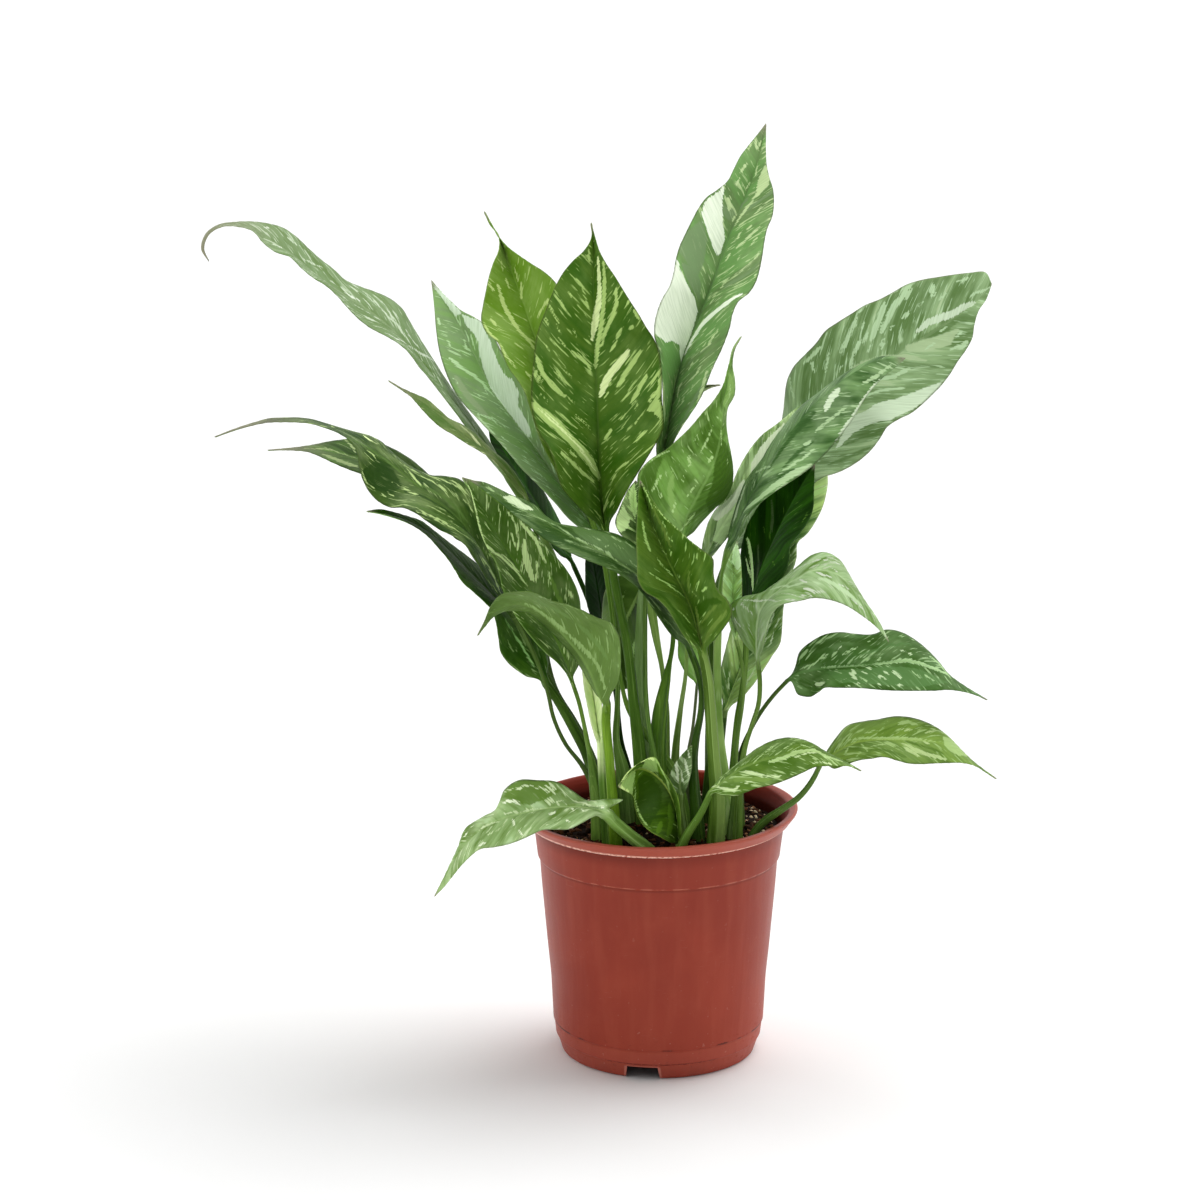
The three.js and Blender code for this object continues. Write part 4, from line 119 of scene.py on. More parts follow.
        cols=((86, 116, 62), (141, 170, 120), (170, 198, 154), (194, 212, 182)), pet=((58, 90, 20), (88, 120, 42), (140, 170, 92)), grey=(163, 186, 141), midrib=(167, 190, 144), midrib_mix=0.75, margin=(118, 130, 92), undercol=(129, 155, 100), under=0.55, fleck=0.59, fleck_mix=0.85, sector=0.62, cloud=0.15, pitch=5.0, relief=0.28, wavy=0.8, camber=0.045, sheath=1.0, tipgrey=0.01, gloss=0.13, fade=0.01, back=0.0, backcol=(112, 144, 88), sweep=0.75, line=0.3, line_mix=0.45, two_tone=0.0),
    "leaf_centre_right": dict(rad=[(0, 4.2), (0.2, 3.8), (0.44, 3.4), (0.55, 2.2), (0.62, 1.1), (1, 1.2)], up=-1, seed=53, slot="leaf_mid",
        P=[(2.16, -3.93, 103.68), (0.66, -5.98, 119.76), (-0.61, -6.21, 135.97), (-0.97, -5.87, 152.23), (0.45, -6.19, 168.43), (3.3, -6.36, 184.47), (6.08, -6.89, 200.48), (6.18, -7.96, 216.73), (7.5, -9.67, 232.87), (9.98, -11.91, 248.8)],
        M=[(9.94, -13.91, 249.28), (10.65, -15.21, 256.51), (12.2, -16.45, 263.54), (15.13, -17.31, 269.94), (18.27, -17.73, 276.14), (21.46, -18.1, 282.27), (24.05, -18.36, 288.66), (26.07, -18.5, 295.23), (27.15, -18.26, 301.94), (27.8, -17.48, 308.59), (28.12, -16.41, 315.21), (29.3, -15.33, 321.69), (30.85, -14.32, 328.13), (31.65, -13.19, 334.66), (33.19, -11.98, 341.01)],
        A=[(8.95, -17.32, 250.11), (2.11, -23.27, 256.2), (-3.23, -24.96, 262.83), (-7.19, -19.92, 268.86), (-10.27, -17.54, 275.97), (-10.31, -17.48, 283.87), (-5.14, -17.79, 290.23), (1.54, -21.72, 295.55), (7.49, -30.38, 302.7), (13.08, -33.7, 309.14), (18.13, -33.63, 315.4), (23.47, -31.36, 320.99), (27.62, -27.33, 327.12), (29.98, -21.86, 333.84), (32.64, -15.87, 340.4)],
        B=[(10.94, -10.21, 248.39), (15.5, -4.98, 252.94), (20.21, -1.26, 257.73), (25.27, 0.51, 262.59), (30.56, 0.99, 267.44), (33.55, 1.79, 273.9), (34.1, 3.01, 280.96), (33.11, 3.77, 288.1), (31.39, 3.99, 295.21), (30.07, 3.73, 302.49), (30.85, 2.66, 309.79), (34.13, 0.55, 316.65), (34.12, -1.8, 324.3), (32.59, -4.82, 331.93), (33.64, -8.27, 339.6)],
        tip=(36.83, -10.68, 346.42),
        cols=((68, 104, 26), (117, 162, 73), (179, 212, 140), (209, 235, 174)), pet=((56, 92, 16), (80, 114, 30), (120, 152, 70)), grey=(140, 178, 96), midrib=(147, 185, 105), midrib_mix=0.5, margin=(129, 147, 96), undercol=(140, 176, 105), under=0.55, fleck=0.63, fleck_mix=0.85, sector=0.72, cloud=0.3, pitch=4.2, relief=0.28, wavy=0.8, camber=0.045, sheath=1.0, tipgrey=0.12, gloss=0.13, fade=0.01, back=0.0, backcol=(112, 144, 88), sweep=0.75, line=0.3, line_mix=0.45, two_tone=0.0),
    "leaf_right_narrow": dict(rad=[(0, 3.6), (0.35, 2.5), (0.6, 2.0), (1, 1.8)], up=-1, seed=60, slot="leaf_pale",
        P=[(32.25, -15.65, 103.5), (31.81, -11.2, 118.7), (30.62, -7.45, 134.04), (28.56, -4.63, 149.5), (27.36, -2.4, 165.15), (26.89, -2.23, 180.95), (26.76, -3.58, 196.74), (27.32, -4.91, 212.52), (28.61, -5.95, 228.28), (30.97, -5.62, 243.94)],
        M=[(30.9, -7.62, 244.43), (32.96, -7.56, 250.68), (35.3, -7.5, 256.82), (37.92, -7.5, 262.83), (40.7, -7.43, 268.74), (43.59, -7.15, 274.53), (46.63, -6.53, 280.17), (49.82, -5.68, 285.68), (53.13, -4.81, 291.09), (56.74, -3.9, 296.31), (60.72, -2.96, 301.23), (64.93, -1.96, 305.95), (69.25, -0.78, 310.54), (73.77, 0.56, 314.91), (78.57, 2.01, 318.98), (83.64, 3.51, 322.73), (88.96, 5.02, 326.14), (94.52, 6.59, 329.17), (100.52, 8.21, 331.37), (106.88, 9.89, 332.26)],
        A=[(29.6, -4.8, 244.22), (31.36, 0.03, 249.68), (33.18, 4.48, 255.24), (34.99, 7.51, 261.14), (37.06, 9.65, 267.17), (39.51, 11.22, 273.17), (43.22, 12.61, 278.51), (47.41, 13.9, 283.53), (50.74, 14.88, 289.22), (54.41, 15.62, 294.74), (58.4, 16.2, 300.05), (62.43, 16.58, 305.36), (67.13, 16.86, 310.05), (72.51, 17.05, 313.96), (77.76, 16.97, 318.07), (83.07, 16.59, 322.13), (88.58, 15.81, 325.91), (94.41, 14.66, 329.12), (100.38, 13.27, 332.01), (106.83, 11.76, 332.82)],
        B=[(32.2, -10.41, 244.64), (34.87, -15.14, 251.38), (36.89, -19.56, 258.3), (38.97, -22.7, 264.85), (43.32, -24.68, 269.56), (47.96, -25.37, 273.68), (52.81, -24.67, 277.29), (57.99, -22.76, 280.22), (63.22, -19.78, 282.94), (68.24, -15.9, 285.86), (73.03, -11.24, 288.97), (77.49, -6.81, 292.5), (81.47, -4.51, 296.83), (85.22, -2.97, 301.48), (88.81, -1.27, 306.23), (91.87, 0.62, 311.3), (95.23, 2.56, 316.17), (99.18, 4.56, 320.6), (103.63, 6.68, 324.58), (108.53, 9.13, 328.03)],
        tip=(113.45, 11.62, 331.93),
        cols=((45, 81, 28), (110, 145, 88), (166, 194, 145), (203, 220, 187)), pet=((102, 138, 58), (140, 172, 92), (186, 208, 148)), grey=(143, 177, 126), midrib=(74, 106, 63), midrib_mix=0.55, margin=(116, 132, 88), undercol=(126, 158, 97), under=0.55, fleck=0.62, fleck_mix=0.85, sector=0.66, cloud=0.3, pitch=4.2, relief=0.28, wavy=0.8, camber=0.045, sheath=1.0, tipgrey=0.05, gloss=0.13, fade=0.01, back=0.0, backcol=(112, 144, 88), sweep=1.2, line=0.3, line_mix=0.45, two_tone=0.0),
    "leaf_right_pale": dict(rad=[(0, 2.8), (0.3, 1.8), (1, 1.5)], up=-1, seed=67, slot="leaf_pale",
        P=[(21.84, 1.84, 103.55), (22.3, 2.26, 117.99), (23.16, 2.75, 132.41), (24.37, 3.29, 146.8), (25.1, 3.95, 161.21), (25.25, 4.95, 175.63), (25.22, 7.25, 189.89), (24.66, 10.43, 203.97), (23.05, 13.98, 217.88), (20.02, 16.73, 231.73)],
        M=[(20.02, 16.73, 231.73), (22.53, 17.82, 237.85), (25.38, 18.89, 243.82), (28.59, 19.8, 249.62), (32.21, 20.67, 255.19), (35.88, 21.58, 260.71), (39.6, 22.52, 266.18), (43.39, 23.47, 271.61), (47.23, 24.37, 276.99), (51.12, 25.3, 282.34), (54.97, 26.31, 287.69), (58.79, 27.42, 293.05), (62.78, 28.59, 298.27), (66.98, 29.8, 303.31)],
        A=[(19.01, 14.15, 232.85), (19.46, 9.54, 241.13), (20.58, 6.45, 248.92), (22.64, 5.07, 256.03), (26.11, 4.66, 262.18), (30.83, 4.77, 267.3), (33.52, 6.27, 273.47), (36.11, 8.54, 279.54), (39.42, 11.09, 285.23), (43.38, 13.89, 290.47), (48.14, 16.69, 295.08), (53.83, 19.51, 298.64), (59.36, 23.62, 302.25), (64.98, 28.57, 305.64)],
        B=[(21.49, 18.83, 230.72), (25.63, 26.08, 234.59), (29.97, 31.42, 238.77), (34.43, 34.6, 243.35), (39.01, 36.26, 248.15), (43.54, 37.12, 253.15), (48.03, 37.45, 258.3), (52.33, 37.46, 263.65), (56.45, 37.03, 269.23), (60.24, 36.24, 275.1), (63.53, 35.1, 281.34), (66.37, 33.47, 287.9), (68.73, 31.02, 294.81), (70.49, 29.6, 301.69)],
        tip=(71.36, 31.05, 308.2),
        cols=((64, 104, 36), (176, 212, 133), (221, 246, 189), (231, 246, 210)), pet=((34, 62, 8), (52, 82, 18), (98, 130, 56)), grey=(214, 246, 179), midrib=(216, 246, 176), midrib_mix=0.55, margin=(152, 167, 117), undercol=(165, 199, 127), under=0.55, fleck=0.6, fleck_mix=0.85, sector=0.6, cloud=0.4, pitch=4.2, relief=0.28, wavy=0.8, camber=0.045, sheath=1.0, tipgrey=0.05, gloss=0.13, fade=0.01, back=0.0, backcol=(112, 144, 88), sweep=0.75, line=0.3, line_mix=0.45, two_tone=0.0),
    # near-black colours on this leaf: painted shade
    "leaf_right_shaded": dict(rad=[(0, 2.8), (0.4, 1.6), (1, 1.3)], up=1, seed=74, slot="leaf_dark",
        P=[(31.93, -6.67, 103.5), (33.08, -4.82, 115.11), (34.13, -2.95, 126.73), (34.85, -1.84, 138.48), (35.66, -0.48, 150.19), (36.75, 0.7, 161.89), (38.57, 0.29, 173.56), (39.92, -0.13, 185.29), (40.38, -0.1, 197.09), (40.29, 0.19, 208.91)],
        M=[(40.29, 0.19, 208.91), (41.56, 0.72, 215.61), (43.16, 1.36, 222.2), (45.12, 2.12, 228.65), (47.37, 2.98, 234.97), (49.86, 3.93, 241.17), (52.59, 4.94, 247.25), (55.44, 6.07, 253.24), (58.44, 7.37, 259.12), (61.58, 8.83, 264.89), (64.87, 10.41, 270.55), (68.4, 12.1, 276.05)],
        A=[(39.48, 3.69, 208.47), (38.72, 12.3, 213.85), (38.34, 18.35, 219.99), (38.11, 21.52, 226.9), (38.18, 22.71, 234.3), (39.19, 23, 241.84), (41.09, 22.8, 249.28), (44.57, 22.55, 256.06), (48.69, 21.79, 262.54), (53.64, 20.37, 268.44), (59.28, 18.02, 273.71), (65.47, 14.64, 278.28)],
        B=[(41.8, 3.13, 208.14), (46.02, 11.29, 211.9), (50.27, 16.6, 216.35), (54.66, 19.03, 221.35), (58.77, 19.77, 226.94), (61.28, 20.9, 233.21), (61.85, 22.41, 239.98), (65.78, 21.48, 245.85), (69.48, 19.44, 252.22), (71.76, 17.61, 259.26), (71.97, 16.2, 266.68), (72.05, 14.01, 274.25)],
        tip=(72.23, 13.89, 281.34),
        cols=((15, 43, 3), (33, 74, 7), (81, 119, 42), (217, 246, 182)), pet=((66, 98, 28), (98, 130, 56), (140, 170, 92)), grey=(79, 98, 65), midrib=(37, 77, 14), midrib_mix=0.55, margin=(84, 128, 56), undercol=(142, 205, 102), under=0.0, fleck=0.66, fleck_mix=0.85, sector=0.9, cloud=0.05, pitch=4.2, relief=0.28, wavy=0.8, camber=0.045, sheath=1.0, tipgrey=0.05, gloss=0.025, fade=0.01, back=0.0, backcol=(112, 144, 88), sweep=1.2, line=0.3, line_mix=0.45, two_tone=0.0),
    "leaf_right_back": dict(rad=[(0, 2.8), (1, 1.8)], up=-1, seed=81, slot="leaf_pale",
        P=[(26.57, 20.17, 103.5), (26.86, 20.69, 109.73), (27.24, 21.21, 115.95), (27.65, 21.65, 122.17), (28.08, 21.52, 128.41), (28.54, 21.1, 134.64), (29.06, 20.84, 140.86), (29.66, 20.62, 147.09), (30.31, 20.37, 153.3), (31, 20.14, 159.52)],
        M=[(31.07, 22.14, 158.94), (33.44, 23.06, 165.07), (35.81, 24.17, 171.14), (38.2, 25.45, 177.16), (40.66, 26.89, 183.1), (43.07, 28.5, 189.02), (45.23, 30.25, 195), (47.17, 32.1, 201.03), (49.01, 34.03, 207.07), (50.83, 36.03, 213.11), (52.55, 38.05, 219.17), (54.3, 40.15, 225.21), (56.23, 42.47, 231.15), (58.34, 44.92, 237.01), (60.59, 47.36, 242.82), (62.98, 49.8, 248.6), (65.52, 52.29, 254.31), (68.22, 54.92, 259.93), (71.06, 57.63, 265.47), (74.08, 60.39, 270.93)],
        A=[(30.04, 19.8, 160.6), (29.07, 16.82, 168.4), (28.82, 14.41, 176.06), (29.34, 13.26, 183.31), (30.78, 12.99, 190.16), (32.42, 13.61, 196.72), (34.19, 14.86, 203.07), (36.19, 16.35, 209.29), (38.2, 18.18, 215.42), (40.08, 20.39, 221.5), (41.99, 22.79, 227.54), (44.11, 25.46, 233.45), (46.5, 28.65, 239.15), (49.12, 32.28, 244.68), (51.93, 36.33, 250.05), (54.89, 40.85, 255.28), (58.15, 45.96, 260.26), (62.02, 51.65, 264.79), (66.54, 57.23, 268.9), (71.58, 60.75, 272.91)],
        B=[(32.4, 19.32, 159.26), (37.21, 15.69, 165.31), (41.69, 12.66, 171.49), (45.85, 11.14, 177.54), (49.55, 10.76, 183.62), (53.15, 11.51, 189.48), (56.86, 12.99, 195.06), (57.88, 14.15, 201.77), (58.28, 15.38, 208.54), (59.09, 17.23, 215.12), (60.81, 19.64, 221.39), (62.84, 22.57, 227.45), (64.89, 25.91, 233.42), (65.46, 29.67, 239.59), (70.3, 35.15, 243), (74.51, 42.64, 247.09), (77.92, 49.75, 251.82), (79.94, 53.72, 257.76), (80.88, 56.79, 264.15), (79.93, 60.02, 270.46)],
        tip=(77.25, 63.19, 276.32),
        cols=((77, 119, 48), (200, 232, 140), (225, 246, 197), (230, 246, 210)), pet=((40, 68, 12), (60, 90, 26), (100, 132, 60)), grey=(182, 225, 140), midrib=(217, 246, 153), midrib_mix=0.55, margin=(152, 172, 100), undercol=(205, 240, 147), under=0.55, fleck=0.6, fleck_mix=0.85, sector=0.6, cloud=0.3, pitch=4.2, relief=0.28, wavy=0.8, camber=0.045, sheath=1.0, tipgrey=0.05, gloss=0.13, fade=0.01, back=0.8, backcol=(120, 148, 96), sweep=0.75, line=0.3, line_mix=0.45, two_tone=0.0),
    "leaf_back_hooked": dict(rad=[(0, 2.6), (0.18, 1.9), (0.35, 1.1), (0.45, 0.9), (1, 1.1)], up=-1, seed=88, slot="leaf_dark",
        P=[(7.72, 30.83, 103.5), (7.73, 27.67, 122.51), (8.36, 24.26, 141.47), (10.33, 20.95, 160.34), (12.78, 19.73, 179.39), (13.02, 22.54, 198.41), (10.69, 26.52, 217.11), (7.08, 31.07, 235.49), (4.37, 35.83, 253.96), (2.4, 40.37, 272.59)],
        M=[(2.49, 46.37, 271.25), (3.32, 51.12, 276.24), (4.48, 55.83, 281.2), (6.03, 60.49, 286.1), (8.09, 65.13, 290.87), (10.75, 69.75, 295.4), (14.24, 74.36, 299.47), (18.81, 78.94, 302.58), (24.36, 83.51, 304.2)],
        A=[(0.58, 45.14, 271.53), (-1.06, 43.38, 278.36), (-1.31, 44.97, 284.65), (0.39, 48.56, 290.29), (3.16, 53.04, 295.4), (6.55, 58.31, 300.04), (11.2, 64.29, 303.55), (17.21, 71.21, 305.1), (23.64, 79.77, 305.59)],
        B=[(4.36, 44.86, 271.59), (5.09, 42.32, 277.85), (6.23, 43.38, 283.24), (7.86, 46.9, 287.99), (9.98, 51.52, 292.37), (12.55, 56.88, 296.41), (15.75, 63.2, 299.93), (19.77, 70.69, 302.63), (24.8, 79.5, 303.9)],
        tip=(30.48, 88.05, 303.93),
        cols=((96, 124, 66), (120, 148, 88), (164, 186, 136), (192, 208, 168)), pet=((110, 142, 62), (142, 174, 94), (170, 196, 134)), grey=(133, 165, 118), midrib=(150, 175, 110), midrib_mix=0.55, margin=(110, 125, 84), undercol=(120, 150, 92), under=0.3, fleck=0.62, fleck_mix=0.85, sector=0.7, cloud=0.25, pitch=4.2, relief=0.28, wavy=0.8, camber=0.045, sheath=1.0, tipgrey=0.22, gloss=0.06, fade=0.01, back=0.0, backcol=(112, 144, 88), sweep=0.75, line=0.3, line_mix=0.45, two_tone=0.0),
    # near-black colours on this leaf: painted shade
    "leaf_back_shaded": dict(rad=[(0, 2.6), (0.35, 1.2), (1, 1.2)], up=1, seed=95, slot="leaf_dark",
        P=[(-15.52, 29.99, 103.52), (-16.6, 32.24, 117.51), (-18.53, 35.21, 131.24), (-19.67, 39.31, 144.76), (-19.76, 42.88, 158.52), (-22.43, 46.12, 172.04), (-26.5, 49.05, 185.33), (-30.73, 50.5, 198.81), (-35.66, 51.28, 212.11), (-41.22, 51.11, 225.18)],
        M=[(-41.23, 53.11, 224.69), (-44.99, 55.18, 230.3), (-48.72, 57.29, 235.92), (-52.39, 59.31, 241.61), (-56.01, 61.29, 247.35), (-59.64, 63.28, 253.08), (-63.32, 65.27, 258.78), (-67.03, 67.25, 264.47), (-70.8, 69.23, 270.13), (-74.52, 71.23, 275.82), (-78.1, 73.22, 281.6)],
        A=[(-39.81, 55.03, 225.2), (-42.13, 63.97, 230), (-44.79, 70.18, 235.39), (-47.8, 73.98, 241.21), (-51.14, 76.47, 247.18), (-54.63, 78.23, 253.24), (-58.33, 79.44, 259.3), (-62.23, 79.88, 265.38), (-66.36, 79.45, 271.47), (-70.8, 77.97, 277.52), (-75.69, 75.35, 283.34)],
        B=[(-42.65, 51.17, 224.18), (-47.71, 46.34, 230.5), (-52.41, 44.33, 236.46), (-56.7, 44.57, 242.22), (-60.72, 46.08, 247.89), (-64.72, 48.37, 253.41), (-68.63, 51.2, 258.87), (-72.22, 54.72, 264.41), (-75.48, 59.03, 269.98), (-78.4, 64.37, 275.53), (-80.64, 70.65, 281.14)],
        tip=(-81.58, 75.23, 287.44),
        cols=((9, 34, 1), (35, 76, 13), (106, 142, 68), (157, 190, 108)), pet=((20, 44, 4), (34, 62, 10), (60, 92, 30)), grey=(150, 215, 124), midrib=(57, 101, 32), midrib_mix=0.55, margin=(124, 164, 89), undercol=(135, 196, 97), under=0.0, fleck=0.75, fleck_mix=0.85, sector=0.9, cloud=0.05, pitch=4.2, relief=0.28, wavy=0.8, camber=0.045, sheath=1.0, tipgrey=0.05, gloss=0.025, fade=0.01, back=0.0, backcol=(112, 144, 88), sweep=0.75, line=0.3, line_mix=0.45, two_tone=0.0),
    "leaf_left_slim": dict(rad=[(0, 2.4), (0.4, 1.2), (1, 1.1)], up=1, seed=102, slot="leaf_mid",
        P=[(-23.85, 10.11, 103.5), (-26.33, 10.51, 122), (-31.72, 11.69, 139.82), (-39.78, 12.89, 156.62), (-48.87, 13.86, 172.88), (-53.28, 14.94, 190.93), (-54.84, 15.37, 209.52), (-55.54, 14.2, 228.16), (-57.37, 12.69, 246.68), (-61.37, 10.9, 264.84)],
        M=[(-61.37, 10.9, 264.84), (-64.83, 11.91, 270.44), (-68.77, 12.87, 275.72), (-73.2, 13.83, 280.61), (-78.06, 14.84, 285.04), (-83.24, 15.95, 289.09), (-88.6, 17.11, 292.89), (-94.01, 18.3, 296.62), (-99.23, 19.57, 300.6), (-104.46, 20.93, 304.55), (-109.81, 22.34, 308.35), (-115.41, 23.79, 311.78), (-121.05, 25.29, 315.16)],
        A=[(-59.98, 11.92, 265.56), (-63.5, 16.34, 270.54), (-67.34, 19.73, 275.56), (-71.68, 21.99, 280.43), (-76.88, 23.56, 284.6), (-81.77, 24.79, 289.18), (-86.65, 25.68, 293.82), (-92.22, 26.56, 297.56), (-98.35, 27.34, 300.35), (-103.37, 27.69, 304.92), (-108.54, 27.65, 309.38), (-114.7, 27.42, 312.18), (-120.87, 26.97, 315.04)],
        B=[(-62.75, 9.96, 264.1), (-66.53, 7.6, 270.19), (-70.41, 6.07, 276), (-74.43, 5.68, 281.44), (-79.12, 6.16, 286.09), (-84.7, 7.13, 289.49), (-90.41, 8.46, 292.63), (-95.96, 10.09, 296.02), (-101.71, 12.27, 299.01), (-106.72, 14.62, 302.99), (-111.29, 17.12, 307.43), (-115.76, 20.11, 311.9), (-120.94, 23.64, 315.56)],
        tip=(-126.68, 26.86, 318.56),
        cols=((74, 108, 37), (101, 123, 61), (208, 217, 165), (234, 236, 193)), pet=((46, 70, 18), (68, 94, 34), (112, 138, 74)), grey=(129, 156, 103), midrib=(126, 143, 82), midrib_mix=0.55, margin=(107, 118, 73), undercol=(117, 141, 80), under=0.55, fleck=0.66, fleck_mix=0.85, sector=0.7, cloud=0.25, pitch=4.2, relief=0.28, wavy=0.8, camber=0.045, sheath=1.0, tipgrey=0.25, gloss=0.13, fade=0.01, back=0.0, backcol=(112, 144, 88), sweep=1.8, line=0.3, line_mix=0.45, two_tone=0.0),
    "leaf_left_arching": dict(rad=[(0, 2.6), (0.25, 1.5), (0.4, 0.95), (0.75, 1.0), (1, 1.5)], up=1, seed=109, slot="leaf_mid",
        P=[(-26.34, -14.1, 103.53), (-27.11, -14.72, 117.26), (-30.15, -15.32, 130.62), (-35.77, -15.92, 143.16), (-43.8, -16.39, 154.31), (-49.29, -16.05, 166.75), (-52.23, -16.26, 180.19), (-56.49, -16.02, 193.27), (-62.05, -16.22, 205.86), (-68.49, -16.34, 218.02)],
        M=[(-68.45, -18.34, 218.54), (-71.12, -19.02, 224.66), (-73.85, -19.78, 230.74), (-76.62, -20.59, 236.8), (-79.45, -21.41, 242.81), (-82.49, -22.25, 248.69), (-85.71, -23.14, 254.46), (-89.31, -24.07, 259.96), (-93.49, -25.07, 264.97), (-98.04, -26.11, 269.59), (-102.91, -27.25, 273.82), (-107.92, -28.49, 277.85), (-112.78, -29.85, 282.09), (-117.52, -31.31, 286.47), (-122.06, -32.87, 291.08), (-126.62, -34.51, 295.64), (-131.32, -36.23, 300.02), (-136.45, -38.03, 303.75), (-141.91, -39.94, 306.87), (-147.48, -41.97, 309.72), (-153.17, -44.13, 312.19), (-158.92, -46.4, 314.44), (-164.88, -48.79, 315.36), (-170.85, -51.3, 315.88), (-176.78, -53.91, 316.02), (-182.55, -56.63, 315.11), (-188.26, -59.46, 314.05), (-193.86, -62.38, 312.69)],
        A=[(-67.12, -15.33, 218.72), (-68.66, -12.48, 224.8), (-70.25, -9.52, 230.85), (-71.83, -7.4, 237.12), (-73.48, -6.06, 243.56), (-75.41, -5.36, 250.06), (-77.67, -5.21, 256.57), (-80.4, -5.66, 263.01), (-83.69, -6.61, 269.24), (-87.61, -7.62, 275.04), (-92.82, -8.28, 279.28), (-99.35, -8.67, 280.77), (-106.03, -9.36, 281.36), (-112.14, -10.6, 284.16), (-117.78, -12.27, 288.06), (-122.81, -14.26, 292.82), (-127.32, -16.54, 298.19), (-132.93, -19.09, 301.81), (-139.24, -21.94, 303.95), (-145.46, -25.12, 306.28), (-151.55, -28.57, 308.99), (-157.6, -32.28, 311.75), (-163.77, -36.34, 313.67), (-170.02, -40.77, 314.6), (-176.19, -45.54, 315.32), (-182.13, -50.59, 314.66), (-187.97, -55.67, 313.76), (-193.65, -61.23, 312.7)],
        B=[(-69.77, -21.41, 218.39), (-72.82, -25.73, 225.31), (-76.1, -30.33, 232.1), (-79.72, -34.23, 238.44), (-82.74, -37.45, 244.96), (-85.36, -40.14, 251.53), (-89.59, -42.32, 256.8), (-94.76, -43.98, 260.85), (-100.42, -45.24, 263.96), (-105.62, -46.39, 267.81), (-110.64, -47.47, 271.9), (-116.17, -48.13, 274.75), (-122.47, -48.31, 275.17), (-127.85, -48.85, 278.2), (-131.97, -50.42, 283.31), (-134.57, -52.8, 289.59), (-135.82, -55.22, 296.38), (-136.52, -57.02, 303.1), (-140.11, -58.17, 308.25), (-145.27, -59.01, 311.85), (-150.98, -59.79, 314.38), (-156.89, -60.54, 316.34), (-163.03, -61.2, 317.05), (-169.24, -61.74, 317.16), (-175.44, -62.18, 317.01), (-181.56, -62.58, 315.94), (-187.62, -63.17, 314.62), (-193.61, -63.49, 312.84)],
        tip=(-199.36, -65.39, 311.12),
        cols=((34, 64, 11), (64, 92, 30), (179, 203, 132), (218, 236, 170)), pet=((48, 70, 20), (70, 94, 36), (112, 136, 76)), grey=(82, 112, 49), midrib=(92, 122, 55), midrib_mix=0.55, margin=(87, 107, 56), undercol=(95, 129, 62), under=0.55, fleck=0.62, fleck_mix=0.85, sector=0.68, cloud=0.25, pitch=4.2, relief=0.28, wavy=0.8, camber=0.045, sheath=1.0, tipgrey=0.3, gloss=0.13, fade=0.01, back=0.0, backcol=(112, 144, 88), sweep=2.2, line=0.3, line_mix=0.45, two_tone=0.0),
    "leaf_left_under": dict(rad=[(0, 2.6), (0.4, 1.5), (1, 1.3)], up=1, seed=116, slot="leaf_mid",
        P=[(-24.85, 3.98, 103.51), (-26.69, 4.52, 120.57), (-30.93, 5.07, 137.18), (-37.96, 5.64, 152.83), (-45.86, 6.21, 168.08), (-53.75, 6.76, 183.33), (-61.97, 7.29, 198.41), (-70.61, 7.61, 213.26), (-79.42, 7.69, 228.01), (-88.45, 7.66, 242.62)],
        M=[(-88.45, 7.66, 242.62), (-91.91, 6.59, 248.61), (-95.57, 5.46, 254.45), (-99.47, 4.32, 260.09), (-103.54, 3.19, 265.58), (-107.95, 2.04, 270.73), (-112.83, 0.87, 275.36), (-118.1, -0.3, 279.44), (-123.83, -1.47, 282.73), (-129.85, -2.65, 285.37), (-136.04, -3.83, 287.43), (-142.31, -5.01, 289.14), (-148.57, -6.19, 290.86), (-154.89, -7.36, 292.22), (-161.26, -8.54, 293.16), (-167.67, -9.72, 293.59), (-174.07, -10.9, 293.74)],
        A=[(-87.11, 9.49, 243.14), (-89.83, 12.75, 249.11), (-92.98, 15.24, 255.07), (-96.51, 16.39, 261.11), (-100.49, 16.68, 267.03), (-104.9, 16.16, 272.77), (-109.69, 15.16, 278.23), (-114.93, 13.76, 283.25), (-120.69, 12.02, 287.6), (-126.85, 10.01, 291.24), (-133.35, 7.74, 294.05), (-140.14, 5.68, 295.43), (-147.03, 3.85, 295.28), (-153.83, 1.54, 294.77), (-160.48, -1.49, 293.9), (-167.13, -5.14, 293.51), (-173.77, -8.97, 293.52)],
        B=[(-89.8, 5.85, 242.1), (-94.1, 0.48, 247.91), (-98.43, -4.22, 253.49), (-102.79, -7.63, 258.73), (-107.17, -10.11, 263.73), (-111.87, -11.8, 268.19), (-116.87, -13.13, 272.15), (-122.1, -14.22, 275.7), (-127.49, -15.2, 278.91), (-133.08, -16.04, 281.69), (-138.88, -16.59, 283.88), (-144.63, -16.92, 286.19), (-150.27, -16.96, 288.72), (-155.83, -16.6, 291.4), (-161.64, -15.69, 293.47), (-167.88, -14.33, 293.87), (-174.19, -12.85, 293.75)],
        tip=(-180.47, -12.07, 293.64),
        cols=((42, 68, 18), (79, 114, 45), (151, 170, 114), (177, 192, 141)), pet=((46, 70, 18), (68, 94, 34), (112, 138, 74)), grey=(110, 155, 88), midrib=(125, 164, 82), midrib_mix=0.55, margin=(91, 117, 62), undercol=(99, 141, 68), under=0.55, fleck=0.65, fleck_mix=0.85, sector=0.7, cloud=0.2, pitch=4.2, relief=0.28, wavy=0.8, camber=0.045, sheath=1.0, tipgrey=0.3, gloss=0.13, fade=0.01, back=0.0, backcol=(112, 144, 88), sweep=2.2, line=0.3, line_mix=0.45, two_tone=0.0),
    "leaf_left_streaked": dict(rad=[(0, 3.4), (0.4, 3.2), (0.62, 1.3), (0.8, 0.95), (1, 1.0)], up=-1, seed=123, slot="leaf_mid",
